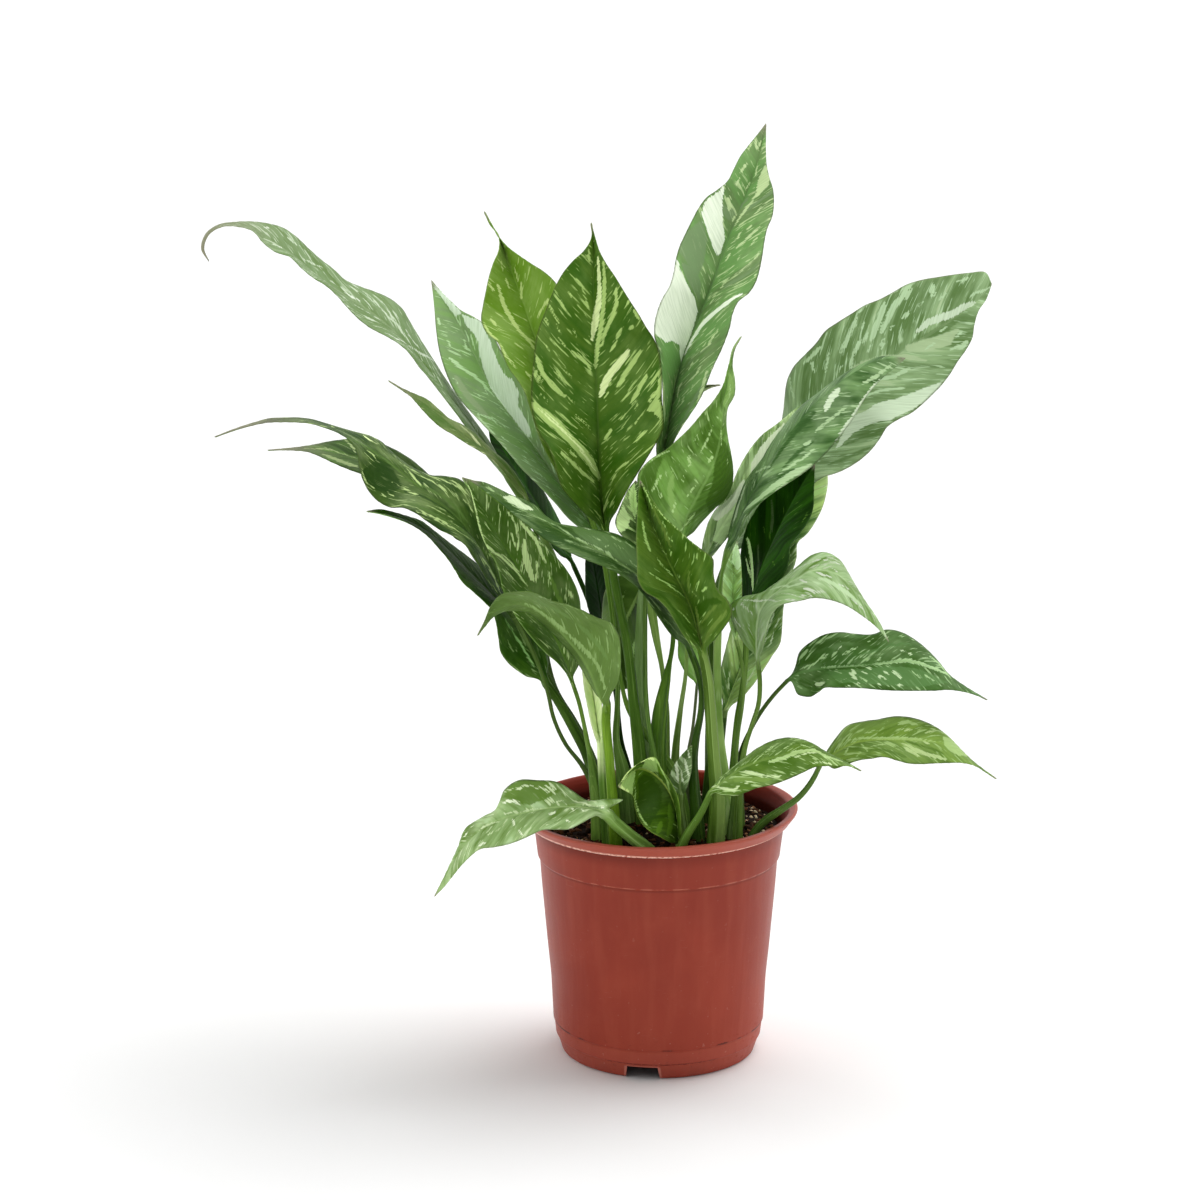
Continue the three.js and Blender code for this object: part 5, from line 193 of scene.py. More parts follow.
        P=[(-28.76, -24.31, 103.6), (-28.8, -23.84, 112.74), (-28.98, -23.43, 121.89), (-29.34, -23.36, 131.05), (-30.47, -23.45, 140.13), (-32.01, -23.29, 149.16), (-33.84, -22.59, 158.11), (-35.54, -22.08, 167.09), (-37.55, -21.47, 176.01), (-40.34, -20.59, 184.68)],
        M=[(-40.31, -24.59, 185.8), (-42.32, -25.49, 191.95), (-44.49, -26.43, 198.03), (-46.83, -27.42, 204.04), (-49.34, -28.46, 209.97), (-51.96, -29.58, 215.84), (-54.7, -30.75, 221.64), (-57.51, -31.96, 227.39), (-60.32, -33.21, 233.14), (-63.13, -34.55, 238.89), (-66, -35.99, 244.6), (-69.05, -37.5, 250.2), (-72.13, -39.06, 255.77), (-74.97, -40.7, 261.48), (-77.63, -42.4, 267.28), (-80.5, -44.14, 272.95), (-83.65, -45.94, 278.42), (-86.78, -47.79, 283.9)],
        A=[(-41.67, -28.21, 186.33), (-43.91, -35.2, 194.13), (-47.68, -41.51, 200.69), (-52.33, -45.97, 205.85), (-56.47, -49.09, 211.21), (-60.32, -51.15, 216.53), (-63.87, -52.67, 221.93), (-67.03, -53.94, 227.52), (-69.71, -55.02, 233.33), (-71.82, -56.13, 239.39), (-73.1, -57.12, 245.66), (-74.82, -57.62, 251.66), (-77.81, -57.49, 256.94), (-80.39, -56.86, 262.32), (-82.35, -55.88, 267.88), (-83.64, -54.5, 273.55), (-84.84, -52.67, 279.14), (-86.59, -50.56, 284.5)],
        B=[(-38.94, -21.16, 185.32), (-37.87, -16.48, 190.88), (-37.09, -12.69, 196.75), (-36.5, -10.99, 203.21), (-36.19, -11, 210.15), (-36.5, -12.46, 217.44), (-37.35, -14.62, 224.84), (-39.6, -16.52, 231.79), (-42.82, -17.81, 238.09), (-46.86, -18.6, 243.72), (-51.44, -19.68, 248.91), (-55.84, -21.72, 254.46), (-60.07, -24.69, 260.35), (-64.15, -28.51, 266.5), (-68.22, -33.37, 272.84), (-72.59, -39.63, 279.11), (-77.69, -44.27, 284.11), (-83.72, -47.08, 286.98)],
        tip=(-89.87, -49.68, 289.39),
        cols=((60, 94, 22), (78, 115, 36), (203, 229, 156), (224, 246, 178)), pet=((70, 100, 30), (100, 132, 52), (140, 168, 90)), grey=(102, 141, 55), midrib=(108, 147, 61), midrib_mix=0.55, margin=(147, 187, 99), undercol=(118, 160, 78), under=0.55, fleck=0.615, fleck_mix=0.85, sector=0.76, cloud=0.15, pitch=4.2, relief=0.28, wavy=0.8, camber=0.045, sheath=1.0, tipgrey=0.05, gloss=0.13, fade=0.01, back=0.0, backcol=(112, 144, 88), sweep=1.25, line=0.3, line_mix=0.45, two_tone=0.0),
    "leaf_left_low": dict(rad=[(0, 3.3), (0.35, 2.9), (0.7, 2.3), (1, 2.0)], up=1, seed=130, slot="leaf_mid",
        P=[(-25.06, -4.07, 103.5), (-25.79, -4.47, 112.67), (-27.2, -5.06, 121.75), (-29.48, -5.5, 130.66), (-31.81, -5.34, 139.57), (-34.89, -5.19, 148.25), (-39.09, -5.04, 156.44), (-43.38, -4.9, 164.59), (-47.87, -4.79, 172.64), (-53.06, -4.69, 180.24)],
        M=[(-53.04, -6.69, 180.8), (-55.27, -7.23, 187.16), (-57.89, -7.89, 193.35), (-60.9, -8.64, 199.36), (-64.1, -9.48, 205.27), (-67.47, -10.39, 211.06), (-71.12, -11.45, 216.69), (-75.13, -12.68, 222.03), (-79.31, -13.95, 227.21), (-83.57, -15.23, 232.29), (-87.9, -16.54, 237.3), (-92.23, -17.92, 242.29), (-96.64, -19.34, 247.18), (-101.09, -20.82, 252.01), (-105.8, -22.36, 256.53), (-111.03, -23.95, 260.3), (-116.56, -25.61, 263.48), (-122.38, -27.32, 265.93), (-128.33, -29.09, 267.9)],
        A=[(-51.66, -4.47, 181.15), (-51.69, -0.41, 186.95), (-52.64, 3.04, 192.79), (-55.69, 5.36, 198.34), (-58.88, 6.63, 204.08), (-62.48, 6.97, 209.81), (-66.47, 6.59, 215.42), (-70.79, 5.7, 220.85), (-75.33, 4.46, 226.14), (-80.04, 2.99, 231.29), (-84.79, 1.26, 236.41), (-89.88, -0.83, 241.18), (-95.1, -3.28, 245.81), (-100.21, -6.15, 250.63), (-105.15, -9.46, 255.69), (-110.15, -13.24, 260.66), (-116.12, -17.54, 263.85), (-122.11, -22.39, 266.91), (-128.14, -27.49, 269.45)],
        B=[(-54.41, -8.6, 180.37), (-59.99, -12.96, 184.85), (-65.38, -16.64, 189.42), (-70.27, -19.62, 194.43), (-73.69, -23.09, 200.88), (-74.58, -26.68, 208.37), (-75.52, -29.44, 215.63), (-77.33, -31.38, 222.4), (-81.64, -32.67, 227.46), (-86.29, -33.61, 232.12), (-90.88, -34.43, 236.76), (-94.01, -35.09, 242.54), (-97.39, -35.49, 248.1), (-101.5, -35.54, 253.03), (-105.67, -35.24, 257.83), (-110.55, -34.6, 261.78), (-116.06, -33.6, 264.76), (-121.99, -32.38, 266.82), (-128.15, -31.1, 268.22)],
        tip=(-134.38, -30.91, 269.33),
        cols=((36, 71, 8), (64, 100, 26), (139, 168, 105), (185, 212, 149)), pet=((40, 64, 12), (60, 90, 26), (104, 136, 62)), grey=(154, 203, 123), midrib=(89, 126, 48), midrib_mix=0.55, margin=(128, 154, 88), undercol=(139, 184, 96), under=0.55, fleck=0.625, fleck_mix=0.85, sector=0.8, cloud=0.1, pitch=4.2, relief=0.28, wavy=0.8, camber=0.045, sheath=1.0, tipgrey=0.05, gloss=0.07, fade=0.01, back=0.8, backcol=(64, 96, 36), sweep=1.8, line=0.3, line_mix=0.45, two_tone=0.0),
    "leaf_left_long": dict(rad=[(0, 3.7), (0.35, 2.3), (0.7, 1.5), (1, 1.6)], up=1, seed=137, slot="leaf_mid",
        P=[(18.09, -25.64, 103.5), (17.5, -24.88, 114.56), (16.69, -23.56, 125.57), (15.83, -22.34, 136.59), (15.61, -20.92, 147.6), (16.85, -19.69, 158.56), (18.85, -19.74, 169.49), (19.36, -20.2, 180.57), (17.39, -21.67, 191.37), (13.69, -23.28, 201.72)],
        M=[(13.59, -27.28, 202.8), (11.17, -30.3, 209.6), (8.32, -33.26, 216.16), (5.02, -36.25, 222.43), (1.22, -39.02, 228.26), (-2.87, -41.34, 233.69), (-7.22, -43.22, 238.73), (-11.97, -45.03, 243.25), (-17.07, -46.75, 247.25), (-22.27, -48.41, 251.06), (-27.58, -49.81, 254.57), (-33.04, -50.76, 257.65), (-38.51, -51.45, 260.66), (-43.9, -52.11, 263.77), (-49.19, -52.76, 267.05), (-54.32, -53.27, 270.55), (-59.52, -53.7, 273.91), (-64.87, -54.08, 276.96), (-70.19, -54.42, 280.06), (-75.36, -54.7, 283.38), (-80.65, -54.91, 286.46)],
        A=[(15.03, -24.85, 203.1), (13.46, -23.14, 209.34), (11.55, -21.85, 215.61), (9.3, -21.9, 222.11), (6.62, -22.75, 228.63), (3.48, -23.94, 235), (-0.15, -25.38, 241.11), (-4.43, -27.06, 246.75), (-9.61, -28.8, 251.44), (-14.96, -30.58, 255.88), (-20.91, -31.98, 259.07), (-27.33, -32.88, 260.8), (-33.83, -33.84, 262.07), (-40.31, -35.19, 263.46), (-46.77, -37.01, 265.02), (-52.1, -39.11, 268.74), (-56.4, -41.49, 274.21), (-62.15, -44.16, 277.86), (-68.19, -47.11, 280.85), (-73.9, -50.38, 284.59), (-79.75, -53.63, 287.94)],
        B=[(12.17, -29.54, 202.46), (7.66, -37.03, 209.01), (3.58, -44.22, 215.81), (-0.07, -50.37, 222.59), (-3.57, -55.48, 229.12), (-6.87, -59.37, 235.42), (-10.67, -62.12, 240.99), (-15.38, -64.38, 245.47), (-20.54, -66.27, 249.17), (-25.99, -67.83, 252.19), (-31.62, -68.92, 254.63), (-37.16, -69.36, 257.11), (-42.6, -69.28, 259.67), (-48.02, -68.89, 262.23), (-53.13, -68.27, 265.29), (-57.8, -67.25, 268.92), (-62.48, -65.86, 272.46), (-67.12, -64.09, 275.98), (-71.69, -61.88, 279.49), (-76.51, -59.32, 282.64), (-81.29, -56.58, 285.83)],
        tip=(-86.1, -55.05, 289.22),
        cols=((36, 69, 12), (58, 88, 30), (147, 175, 119), (200, 218, 175)), pet=((32, 60, 6), (48, 78, 14), (88, 122, 46)), grey=(82, 112, 59), midrib=(126, 158, 89), midrib_mix=0.85, margin=(80, 100, 51), undercol=(88, 120, 57), under=0.55, fleck=0.61, fleck_mix=0.85, sector=0.66, cloud=0.3, pitch=4.2, relief=0.28, wavy=0.8, camber=0.045, sheath=1.0, tipgrey=0.05, gloss=0.13, fade=0.01, back=0.0, backcol=(112, 144, 88), sweep=1.5, line=0.3, line_mix=0.45, two_tone=0.0),
    "leaf_front_dark": dict(rad=[(0, 4.4), (0.3, 3.3), (0.5, 2.9), (0.85, 2.6), (1, 2.3)], up=-1, seed=144, slot="leaf_dark",
        P=[(25.53, -29.68, 103.5), (26.05, -30.6, 114.49), (26.39, -31.7, 125.47), (26.21, -32.65, 136.48), (25.17, -33.46, 147.44), (24.26, -33.77, 158.45), (23.44, -34.04, 169.46), (22.61, -34.04, 180.47), (21.51, -33.5, 191.45), (19.46, -32.15, 202.21)],
        M=[(19.41, -34.15, 202.75), (17.9, -36.07, 209.39), (16.28, -37.92, 215.95), (14.6, -39.7, 222.46), (12.61, -41.35, 228.8), (10.04, -42.82, 234.84), (7.34, -44.17, 240.77), (4.56, -45.37, 246.58), (1.93, -46.42, 252.43), (-0.52, -47.32, 258.3), (-2.77, -48.12, 264.21), (-4.77, -48.85, 270.19), (-6.59, -49.49, 276.19), (-8.3, -50.02, 282.19)],
        A=[(17.94, -37.8, 203.27), (13.33, -47.5, 210.89), (9.31, -55.18, 218.33), (5.79, -60.2, 225.31), (2.32, -63.03, 231.65), (-2.25, -64.23, 236.61), (-7.73, -63.99, 239.92), (-10.81, -64.22, 245.57), (-11.16, -65.19, 252.38), (-11.52, -65.11, 258.92), (-11.71, -63.86, 265.16), (-11.44, -61.53, 271.15), (-11.1, -57.92, 276.85), (-10.62, -53.66, 282.4)],
        B=[(20.69, -37.43, 204.12), (24.44, -46.06, 212.47), (28.47, -51.61, 219.78), (31.86, -54.05, 226.7), (29.88, -57.53, 234.09), (25.09, -61.32, 240.41), (23.35, -61.63, 247.42), (22.96, -60.08, 254.2), (17.69, -61.56, 258.98), (12.18, -62.94, 263.75), (7.25, -62.57, 268.73), (2.11, -61.03, 273.16), (-2.26, -57.81, 277.93), (-5.94, -53.57, 282.99)],
        tip=(-9.86, -50.45, 288.19),
        cols=((51, 88, 12), (80, 111, 32), (165, 203, 114), (208, 242, 155)), pet=((58, 84, 20), (78, 106, 34), (138, 166, 90)), grey=(109, 137, 58), midrib=(118, 146, 62), midrib_mix=0.55, margin=(125, 139, 84), undercol=(136, 166, 92), under=0.55, fleck=0.65, fleck_mix=0.85, sector=0.78, cloud=0.12, pitch=4.2, relief=0.28, wavy=0.8, camber=0.045, sheath=1.0, tipgrey=0.05, gloss=0.1, fade=0.01, back=0.0, backcol=(112, 144, 88), sweep=0.75, line=-0.12, line_mix=0.7, two_tone=0.45),
    "leaf_front_arching": dict(rad=[(0, 2.9), (0.4, 2.4), (1, 2.1)], up=-1, seed=151, slot="leaf_pale",
        P=[(-20.24, -34.69, 103.52), (-20.7, -35.26, 112.13), (-21.28, -36.09, 120.71), (-21.86, -36.87, 129.3), (-22.43, -37.67, 137.89), (-23.01, -38.53, 146.48), (-23.63, -39.18, 155.08), (-24.47, -39.55, 163.67), (-25.06, -40.03, 172.28), (-24.63, -40.96, 180.85)],
        M=[(-24.63, -44.96, 181.99), (-26.75, -46.55, 188.26), (-29.09, -48.4, 194.48), (-31.73, -50.42, 200.58), (-34.8, -52.55, 206.43), (-38.4, -54.79, 211.91), (-42.31, -57.15, 217.13), (-46.31, -59.63, 222.26), (-50.52, -62.22, 227.17), (-55.09, -65.03, 231.67), (-60.38, -68.07, 234.85), (-66.1, -71.31, 236.44), (-71.6, -74.74, 235.52), (-76.41, -78.33, 233.24), (-79.48, -82.07, 229.14)],
        A=[(-23.27, -47.52, 183.67), (-20.32, -54.71, 192.98), (-18.53, -60.01, 202.1), (-18.36, -63, 210.74), (-19.13, -64.31, 218.81), (-23, -66.77, 226.12), (-29.74, -72.26, 230.31), (-36.23, -76.95, 234.85), (-43.19, -80.51, 238.45), (-50.37, -83.27, 241.05), (-56.91, -84.4, 244.86), (-64.31, -84.93, 245.46), (-71.64, -84.67, 244.16), (-76.31, -84.7, 238.76), (-79.17, -84.88, 231.69)],
        B=[(-26, -42.06, 180.21), (-29.33, -36.6, 183.34), (-32.25, -32.89, 187.27), (-34.92, -31.48, 192.01), (-37.79, -31.8, 197.09), (-40.95, -33.25, 202.28), (-44.45, -35.44, 207.37), (-48.09, -38.3, 212.48), (-51.97, -41.69, 217.46), (-56.1, -45.85, 222.3), (-60.65, -50.66, 226.68), (-65.93, -56.44, 228.92), (-71.25, -62.97, 230.29), (-75.82, -70.61, 229.59), (-79.16, -78.67, 227.41)],
        tip=(-82.54, -85.94, 225.09),
        cols=((44, 62, 22), (86, 117, 48), (203, 236, 162), (217, 246, 177)), pet=((74, 108, 16), (106, 142, 34), (160, 190, 88)), grey=(109, 144, 84), midrib=(141, 171, 99), midrib_mix=0.8, margin=(90, 109, 59), undercol=(95, 125, 57), under=0.75, fleck=0.62, fleck_mix=0.85, sector=0.72, cloud=0.3, pitch=4.2, relief=0.28, wavy=0.8, camber=0.045, sheath=1.0, tipgrey=0.12, gloss=0.13, fade=0.01, back=0.0, backcol=(112, 144, 88), sweep=1.2, line=0.3, line_mix=0.45, two_tone=0.0),
    # colours brightened on this leaf: painted light for the shade it sits in
    "leaf_young_rolled": dict(rad=[(0, 2.6), (0.5, 2.0), (1, 1.8)], up=-1, seed=158, slot="leaf_pale",
        P=[(-24, -29.42, 103.5), (-24.36, -29.45, 109.53), (-24.79, -29.44, 115.55), (-25.22, -29.53, 121.57), (-25.68, -29.66, 127.59), (-26.19, -29.81, 133.61), (-26.68, -29.84, 139.62), (-27, -29.72, 145.65), (-27.24, -29.36, 151.67), (-27.37, -28.86, 157.69)],
        M=[(-27.37, -28.86, 157.69), (-28.38, -28.1, 163.16), (-29.27, -27.19, 168.61), (-30, -26.22, 174.06), (-30.8, -25.2, 179.48), (-31.88, -24.2, 184.85), (-33.08, -23.23, 190.21), (-34.44, -22.32, 195.54), (-36.23, -21.48, 200.75)],
        A=[(-28.76, -29.5, 157.88), (-30.75, -32.64, 164.16), (-32.27, -33.68, 169.97), (-33.33, -33.26, 175.46), (-34.41, -32.13, 180.74), (-35.37, -30.7, 185.95), (-35.96, -28.91, 191.13), (-36.56, -26.53, 196.15), (-37.31, -23.5, 200.97)],
        B=[(-25.98, -29.52, 157.89), (-26.27, -32.62, 164.7), (-26.55, -33.55, 170.86), (-26.81, -33.01, 176.58), (-27.41, -31.85, 182.1), (-28.54, -30.38, 187.43), (-30.61, -28.74, 192.44), (-32.78, -26.44, 197.23), (-35.27, -23.38, 201.66)],
        tip=(-38.45, -20.68, 205.8),
        cols=((196, 222, 150), (232, 246, 186), (236, 246, 198), (238, 246, 207)), pet=((62, 94, 26), (88, 124, 44), (140, 168, 90)), grey=(133, 165, 118), midrib=(150, 176, 104), midrib_mix=0.4, margin=(110, 125, 84), undercol=(120, 150, 92), under=0.0, fleck=0.8, fleck_mix=0.85, sector=0.95, cloud=0.1, pitch=4.2, relief=0.28, wavy=0.8, camber=0.045, sheath=1.0, tipgrey=0.01, gloss=0.1, fade=0.3, back=0.0, backcol=(112, 144, 88), sweep=0.75, line=0.3, line_mix=0.45, two_tone=0.0),
    "leaf_right_drooping": dict(rad=[(0, 2.6), (0.3, 1.7), (0.6, 1.1), (1, 1.1)], up=-1, seed=165, slot="leaf_pale",
        P=[(36.54, -25.66, 103.52), (36.56, -25.02, 113.81), (36.75, -23.94, 124.07), (37.17, -22.78, 134.31), (38.1, -21.53, 144.5), (39.74, -20.18, 154.59), (42.79, -18.47, 164.26), (45.75, -17.67, 174.03), (46.31, -17.87, 184.3), (45.33, -18.09, 194.56)],
        M=[(45.16, -22.09, 195.65), (44.61, -24.74, 202.45), (44.37, -27.46, 209.26), (44.6, -30.25, 216.03), (45.68, -33.05, 222.66), (48.61, -35.84, 228.36), (52.78, -38.62, 233.08), (57.28, -41.45, 237.34), (62.04, -44.35, 241.18), (66.83, -47.24, 244.92), (72.3, -50.17, 246.25), (77.74, -53.18, 245.65), (82.32, -56.26, 243.18), (85.97, -59.4, 239.53), (89.53, -62.62, 235.82), (92.92, -65.93, 232.03), (96.2, -69.32, 228.18), (99.03, -72.79, 224.06)],
        A=[(43.87, -19.79, 195.02), (40.08, -18.34, 201.25), (36.26, -18.22, 207.84), (33.06, -19.98, 215.26), (32.28, -21.25, 222.82), (38.36, -21.08, 226.74), (45.6, -22.03, 228.23), (51.67, -24.01, 232.67), (57.39, -26.51, 237.87), (62.84, -29.47, 243.44), (68.28, -33.34, 249.13), (74.71, -37.84, 251.76), (80.88, -42.25, 249.31), (84.66, -46.84, 244.23), (87.98, -51.92, 238.97), (91.44, -57.73, 234.05), (95.33, -64.11, 229.65), (98.61, -70.7, 224.95)],
        B=[(46.44, -24.66, 196.35), (46.8, -32.34, 203.3), (47.34, -39.48, 210.02), (48.07, -45.25, 216.3), (48.98, -50.04, 222.26), (50.74, -53.97, 227.62), (53.91, -57.27, 231.76), (58.18, -59.96, 233.82), (62.64, -62.04, 235.14), (67.05, -63.69, 236.68), (71.56, -65.29, 236.99), (76, -67.13, 236.5), (80.27, -69.4, 235.6), (84.3, -71.56, 234.07), (88.11, -73.07, 231.86), (91.85, -73.99, 229.34), (95.43, -74.44, 226.44), (98.64, -74.84, 223.09)],
        tip=(101.46, -76.34, 219.75),
        cols=((88, 123, 45), (151, 180, 127), (171, 185, 155), (188, 198, 176)), pet=((64, 92, 26), (96, 126, 52), (150, 176, 106)), grey=(173, 198, 153), midrib=(187, 209, 162), midrib_mix=0.7, margin=(117, 131, 94), undercol=(128, 157, 103), under=0.55, fleck=0.6, fleck_mix=0.85, sector=0.62, cloud=0.3, pitch=4.2, relief=0.28, wavy=0.8, camber=0.045, sheath=1.0, tipgrey=0.05, gloss=0.13, fade=0.01, back=0.0, backcol=(112, 144, 88), sweep=1.3, line=0.3, line_mix=0.45, two_tone=0.0),
    "leaf_right_low": dict(rad=[(0, 3.2), (0.4, 1.7), (0.65, 1.0), (1, 0.95)], up=-1, seed=172, slot="leaf_mid",
        P=[(37.8, -3.71, 103.5), (37.82, -0.91, 112.5), (37.8, 0.88, 121.75), (37.75, 1.8, 131.13), (38.04, 2.06, 140.54), (40.18, 1.69, 149.7), (43.94, 1.05, 158.3), (48.36, -0.41, 166.5), (53.61, -1.93, 174.18), (59.58, -3.37, 181.33)],
        M=[(59.48, -5.37, 181.89), (64.4, -8.33, 186.34), (70.24, -11.23, 188.67), (76.24, -14.05, 190.19), (82.23, -16.81, 191.51), (88.22, -19.5, 192.77), (94.19, -22.12, 194.04), (100.09, -24.68, 195.62), (106, -27.18, 197.04), (111.96, -29.64, 197.72), (117.86, -32.06, 197.83), (123.44, -34.43, 196.25), (128.83, -36.79, 194.2), (134.01, -39.13, 191.71), (139.06, -41.46, 189.01), (144.22, -43.77, 186.53)],
        A=[(59.13, -2.64, 182.1), (63.16, -1.28, 187.77), (65.17, -2.63, 195.25), (70.4, -7.11, 201.48), (76.51, -12.12, 206.27), (83.7, -12.73, 207.49), (91.09, -11, 206.17), (98.29, -12.09, 206.21), (104.89, -16.1, 209.6), (111.78, -18.47, 208.87), (118.06, -19.77, 205.49), (123.59, -22.41, 201.42), (128.39, -26.06, 196.93), (132.45, -30.67, 192.15), (137.84, -35.98, 189.1), (143.55, -41.41, 186.62)],
        B=[(59.46, -6.23, 180.67), (63.5, -10.73, 177.14), (69.39, -16.34, 177.27), (73.03, -24.76, 181.89), (75.94, -30.31, 185.62), (82.04, -33.65, 186.42), (88.17, -36.34, 187.17), (94.33, -38.05, 187.31), (100.52, -39.06, 186.99), (106.74, -39.79, 186.85), (112.93, -40.95, 187.04), (119, -43.36, 187.72), (125.08, -45.51, 188.38), (131.2, -46.75, 189.13), (137.41, -46.74, 188.37), (143.56, -46.12, 186.58)],
        tip=(149.45, -46.07, 184.21),
        cols=((52, 85, 24), (66, 105, 43), (164, 196, 139), (193, 216, 169)), pet=((46, 70, 18), (70, 96, 36), (116, 140, 76)), grey=(84, 122, 65), midrib=(96, 136, 74), midrib_mix=0.6, margin=(80, 104, 54), undercol=(87, 126, 60), under=0.55, fleck=0.595, fleck_mix=0.85, sector=0.68, cloud=0.25, pitch=4.2, relief=0.28, wavy=0.8, camber=0.045, sheath=1.0, tipgrey=0.05, gloss=0.13, fade=0.01, back=0.0, backcol=(112, 144, 88), sweep=1.35, line=0.3, line_mix=0.45, two_tone=0.0),
    "leaf_right_lowest": dict(rad=[(0, 2.0), (1, 1.2)], up=-1, seed=179, slot="leaf_mid",
        P=[(42.03, -21.27, 103.5), (43.05, -21.9, 109.81), (45.81, -23.49, 115.4), (49.68, -25.49, 120.13), (54.14, -27.67, 124.25), (58.79, -29.64, 128.26), (63.59, -30.98, 132.33), (67.86, -31, 137.16), (71.29, -30.82, 142.6), (74.04, -30, 148.38)],
        M=[(73.81, -34, 149.58), (78.57, -36.57, 154.57), (83.71, -39.14, 158.98), (89.38, -41.71, 162.31), (95.43, -44.29, 164.28), (101.6, -46.86, 165.39), (107.76, -49.43, 166.16), (113.91, -52, 166.85), (120.03, -54.57, 167.18), (126.08, -57.14, 166.97), (131.79, -59.71, 165.45), (137.03, -62.29, 162.8), (142.01, -64.86, 159.76), (147.02, -67.43, 156.79)],
        A=[(73.46, -31.79, 149.88), (77.31, -29.6, 155.67), (81.5, -28.85, 161.59), (86.33, -29.91, 167.36), (93.11, -31.61, 169.83), (100.1, -33.97, 171.53), (106.92, -37.22, 173.9), (113.87, -40.16, 174.44), (120.61, -42.74, 173.24), (126.86, -45.65, 170.74), (132.25, -49.4, 167.25), (136.8, -53.98, 163.1), (141.4, -59.35, 159.37), (146.48, -65.01, 156.37)],
        B=[(74.17, -35.92, 149.2), (79.76, -42.38, 150.2), (84.91, -48.69, 153.9), (90.08, -53.86, 157.61), (95.74, -57.54, 159.6), (101.43, -60.62, 161.31), (106.92, -62.5, 160.33), (112.55, -63.78, 159.25), (118.38, -65.4, 159.52), (124.15, -67.24, 160.41), (129.93, -69.1, 161.1), (135.76, -70.33, 161.44), (141.57, -70.37, 160.15), (146.9, -69.92, 157.07)],
        tip=(152.02, -70, 153.81),
        cols=((74, 106, 30), (112, 143, 56), (155, 183, 113), (170, 192, 129)), pet=((58, 86, 30), (84, 114, 46), (136, 164, 88)), grey=(131, 160, 75), midrib=(142, 169, 78), midrib_mix=0.6, margin=(102, 117, 65), undercol=(112, 141, 72), under=0.55, fleck=0.575, fleck_mix=0.85, sector=0.7, cloud=0.25, pitch=4.2, relief=0.28, wavy=0.8, camber=0.045, sheath=1.0, tipgrey=0.05, gloss=0.13, fade=0.01, back=0.0, backcol=(112, 144, 88), sweep=1.4, line=0.3, line_mix=0.45, two_tone=0.0),
    "leaf_front_right_low": dict(rad=[(0, 2.4), (1, 1.4)], up=-1, seed=186, slot="leaf_mid",
        P=[(8.33, -43.48, 103.5), (8.65, -44.19, 108.13), (9.55, -45.6, 112.5), (10.95, -47.21, 116.69), (12.62, -48.54, 120.87), (14.68, -49.63, 124.95), (17.07, -50.55, 128.88), (19.15, -51.3, 133.03), (20.95, -51.89, 137.33), (22.55, -52.34, 141.72)],
        M=[(22.49, -54.34, 142.34), (26.58, -57.07, 147.46), (31.02, -59.8, 152.13), (35.8, -62.55, 156.26), (41, -65.33, 159.55), (46.39, -68.14, 162.29), (51.88, -70.99, 164.64), (57.38, -73.87, 166.82), (62.97, -76.77, 168.36), (68.58, -79.7, 169.35), (73.94, -82.65, 168.5), (79.23, -85.61, 167.41), (84.35, -88.58, 165.92)],
        A=[(21.62, -52.55, 142.75), (25.92, -50.13, 146.97), (30.73, -49.34, 151.11), (35.63, -50.14, 155.54), (40.35, -52.18, 160.49), (45.44, -55.02, 165.09), (51.01, -58.42, 168.89), (56.99, -61.87, 171.22), (63.1, -65.45, 171.61), (68.75, -69.51, 170.5), (73.8, -74.39, 168.36), (78.96, -80.04, 166.83), (84.2, -86.06, 165.66)],
        B=[(23.37, -55.84, 141.85), (28.67, -62.49, 143.45), (34.02, -66.81, 144.77), (38.78, -71.35, 148.02), (43.59, -75.3, 151.31), (48.84, -77.78, 153.11), (53.86, -80.68, 155.78), (58.73, -83.76, 158.84), (63.49, -86.73, 162.08), (68.25, -89.07, 165.1), (73.54, -90.53, 166.08), (78.91, -91.1, 166.31), (84.29, -91.11, 166.02)],
        tip=(89.32, -91.55, 164.12),
        cols=((69, 103, 26), (93, 125, 43), (175, 203, 135), (196, 217, 160)), pet=((70, 100, 30), (98, 134, 54), (150, 182, 112)), grey=(116, 147, 68), midrib=(125, 156, 75), midrib_mix=0.6, margin=(91, 108, 56), undercol=(99, 130, 62), under=0.55, fleck=0.59, fleck_mix=0.85, sector=0.7, cloud=0.2, pitch=4.2, relief=0.28, wavy=0.8, camber=0.045, sheath=1.0, tipgrey=0.05, gloss=0.13, fade=0.01, back=0.0, backcol=(112, 144, 88), sweep=1.4, line=0.3, line_mix=0.45, two_tone=0.0),
    "leaf_over_rim": dict(rad=[(0, 2.6), (0.5, 3.1), (1, 2.9)], up=1, seed=193, slot="leaf_mid",
        P=[(-0.43, -43.41, 103.5), (-1.81, -43.94, 107.43), (-4.31, -44.96, 110.67), (-7.02, -46.2, 113.66), (-9.85, -47.78, 116.37), (-12.73, -49.23, 119.09), (-15.64, -50.34, 121.94), (-18.57, -51.26, 124.85), (-21.5, -51.96, 127.8), (-24.16, -52, 131.07)],
        M=[(-24.17, -54, 131.69), (-30.1, -55.6, 135.14), (-36.54, -57.38, 136.86), (-43.08, -59.33, 137.67), (-49.59, -61.42, 137.66), (-56.02, -63.65, 137.24), (-62.37, -66, 136.49), (-68.66, -68.75, 135.7), (-74.76, -72.01, 134.53), (-80.41, -75.47, 132.4), (-85.32, -78.83, 129.1), (-89.61, -81.77, 125), (-93.25, -84, 120.11), (-96.42, -85.65, 114.71), (-99.64, -87.01, 109.24)],
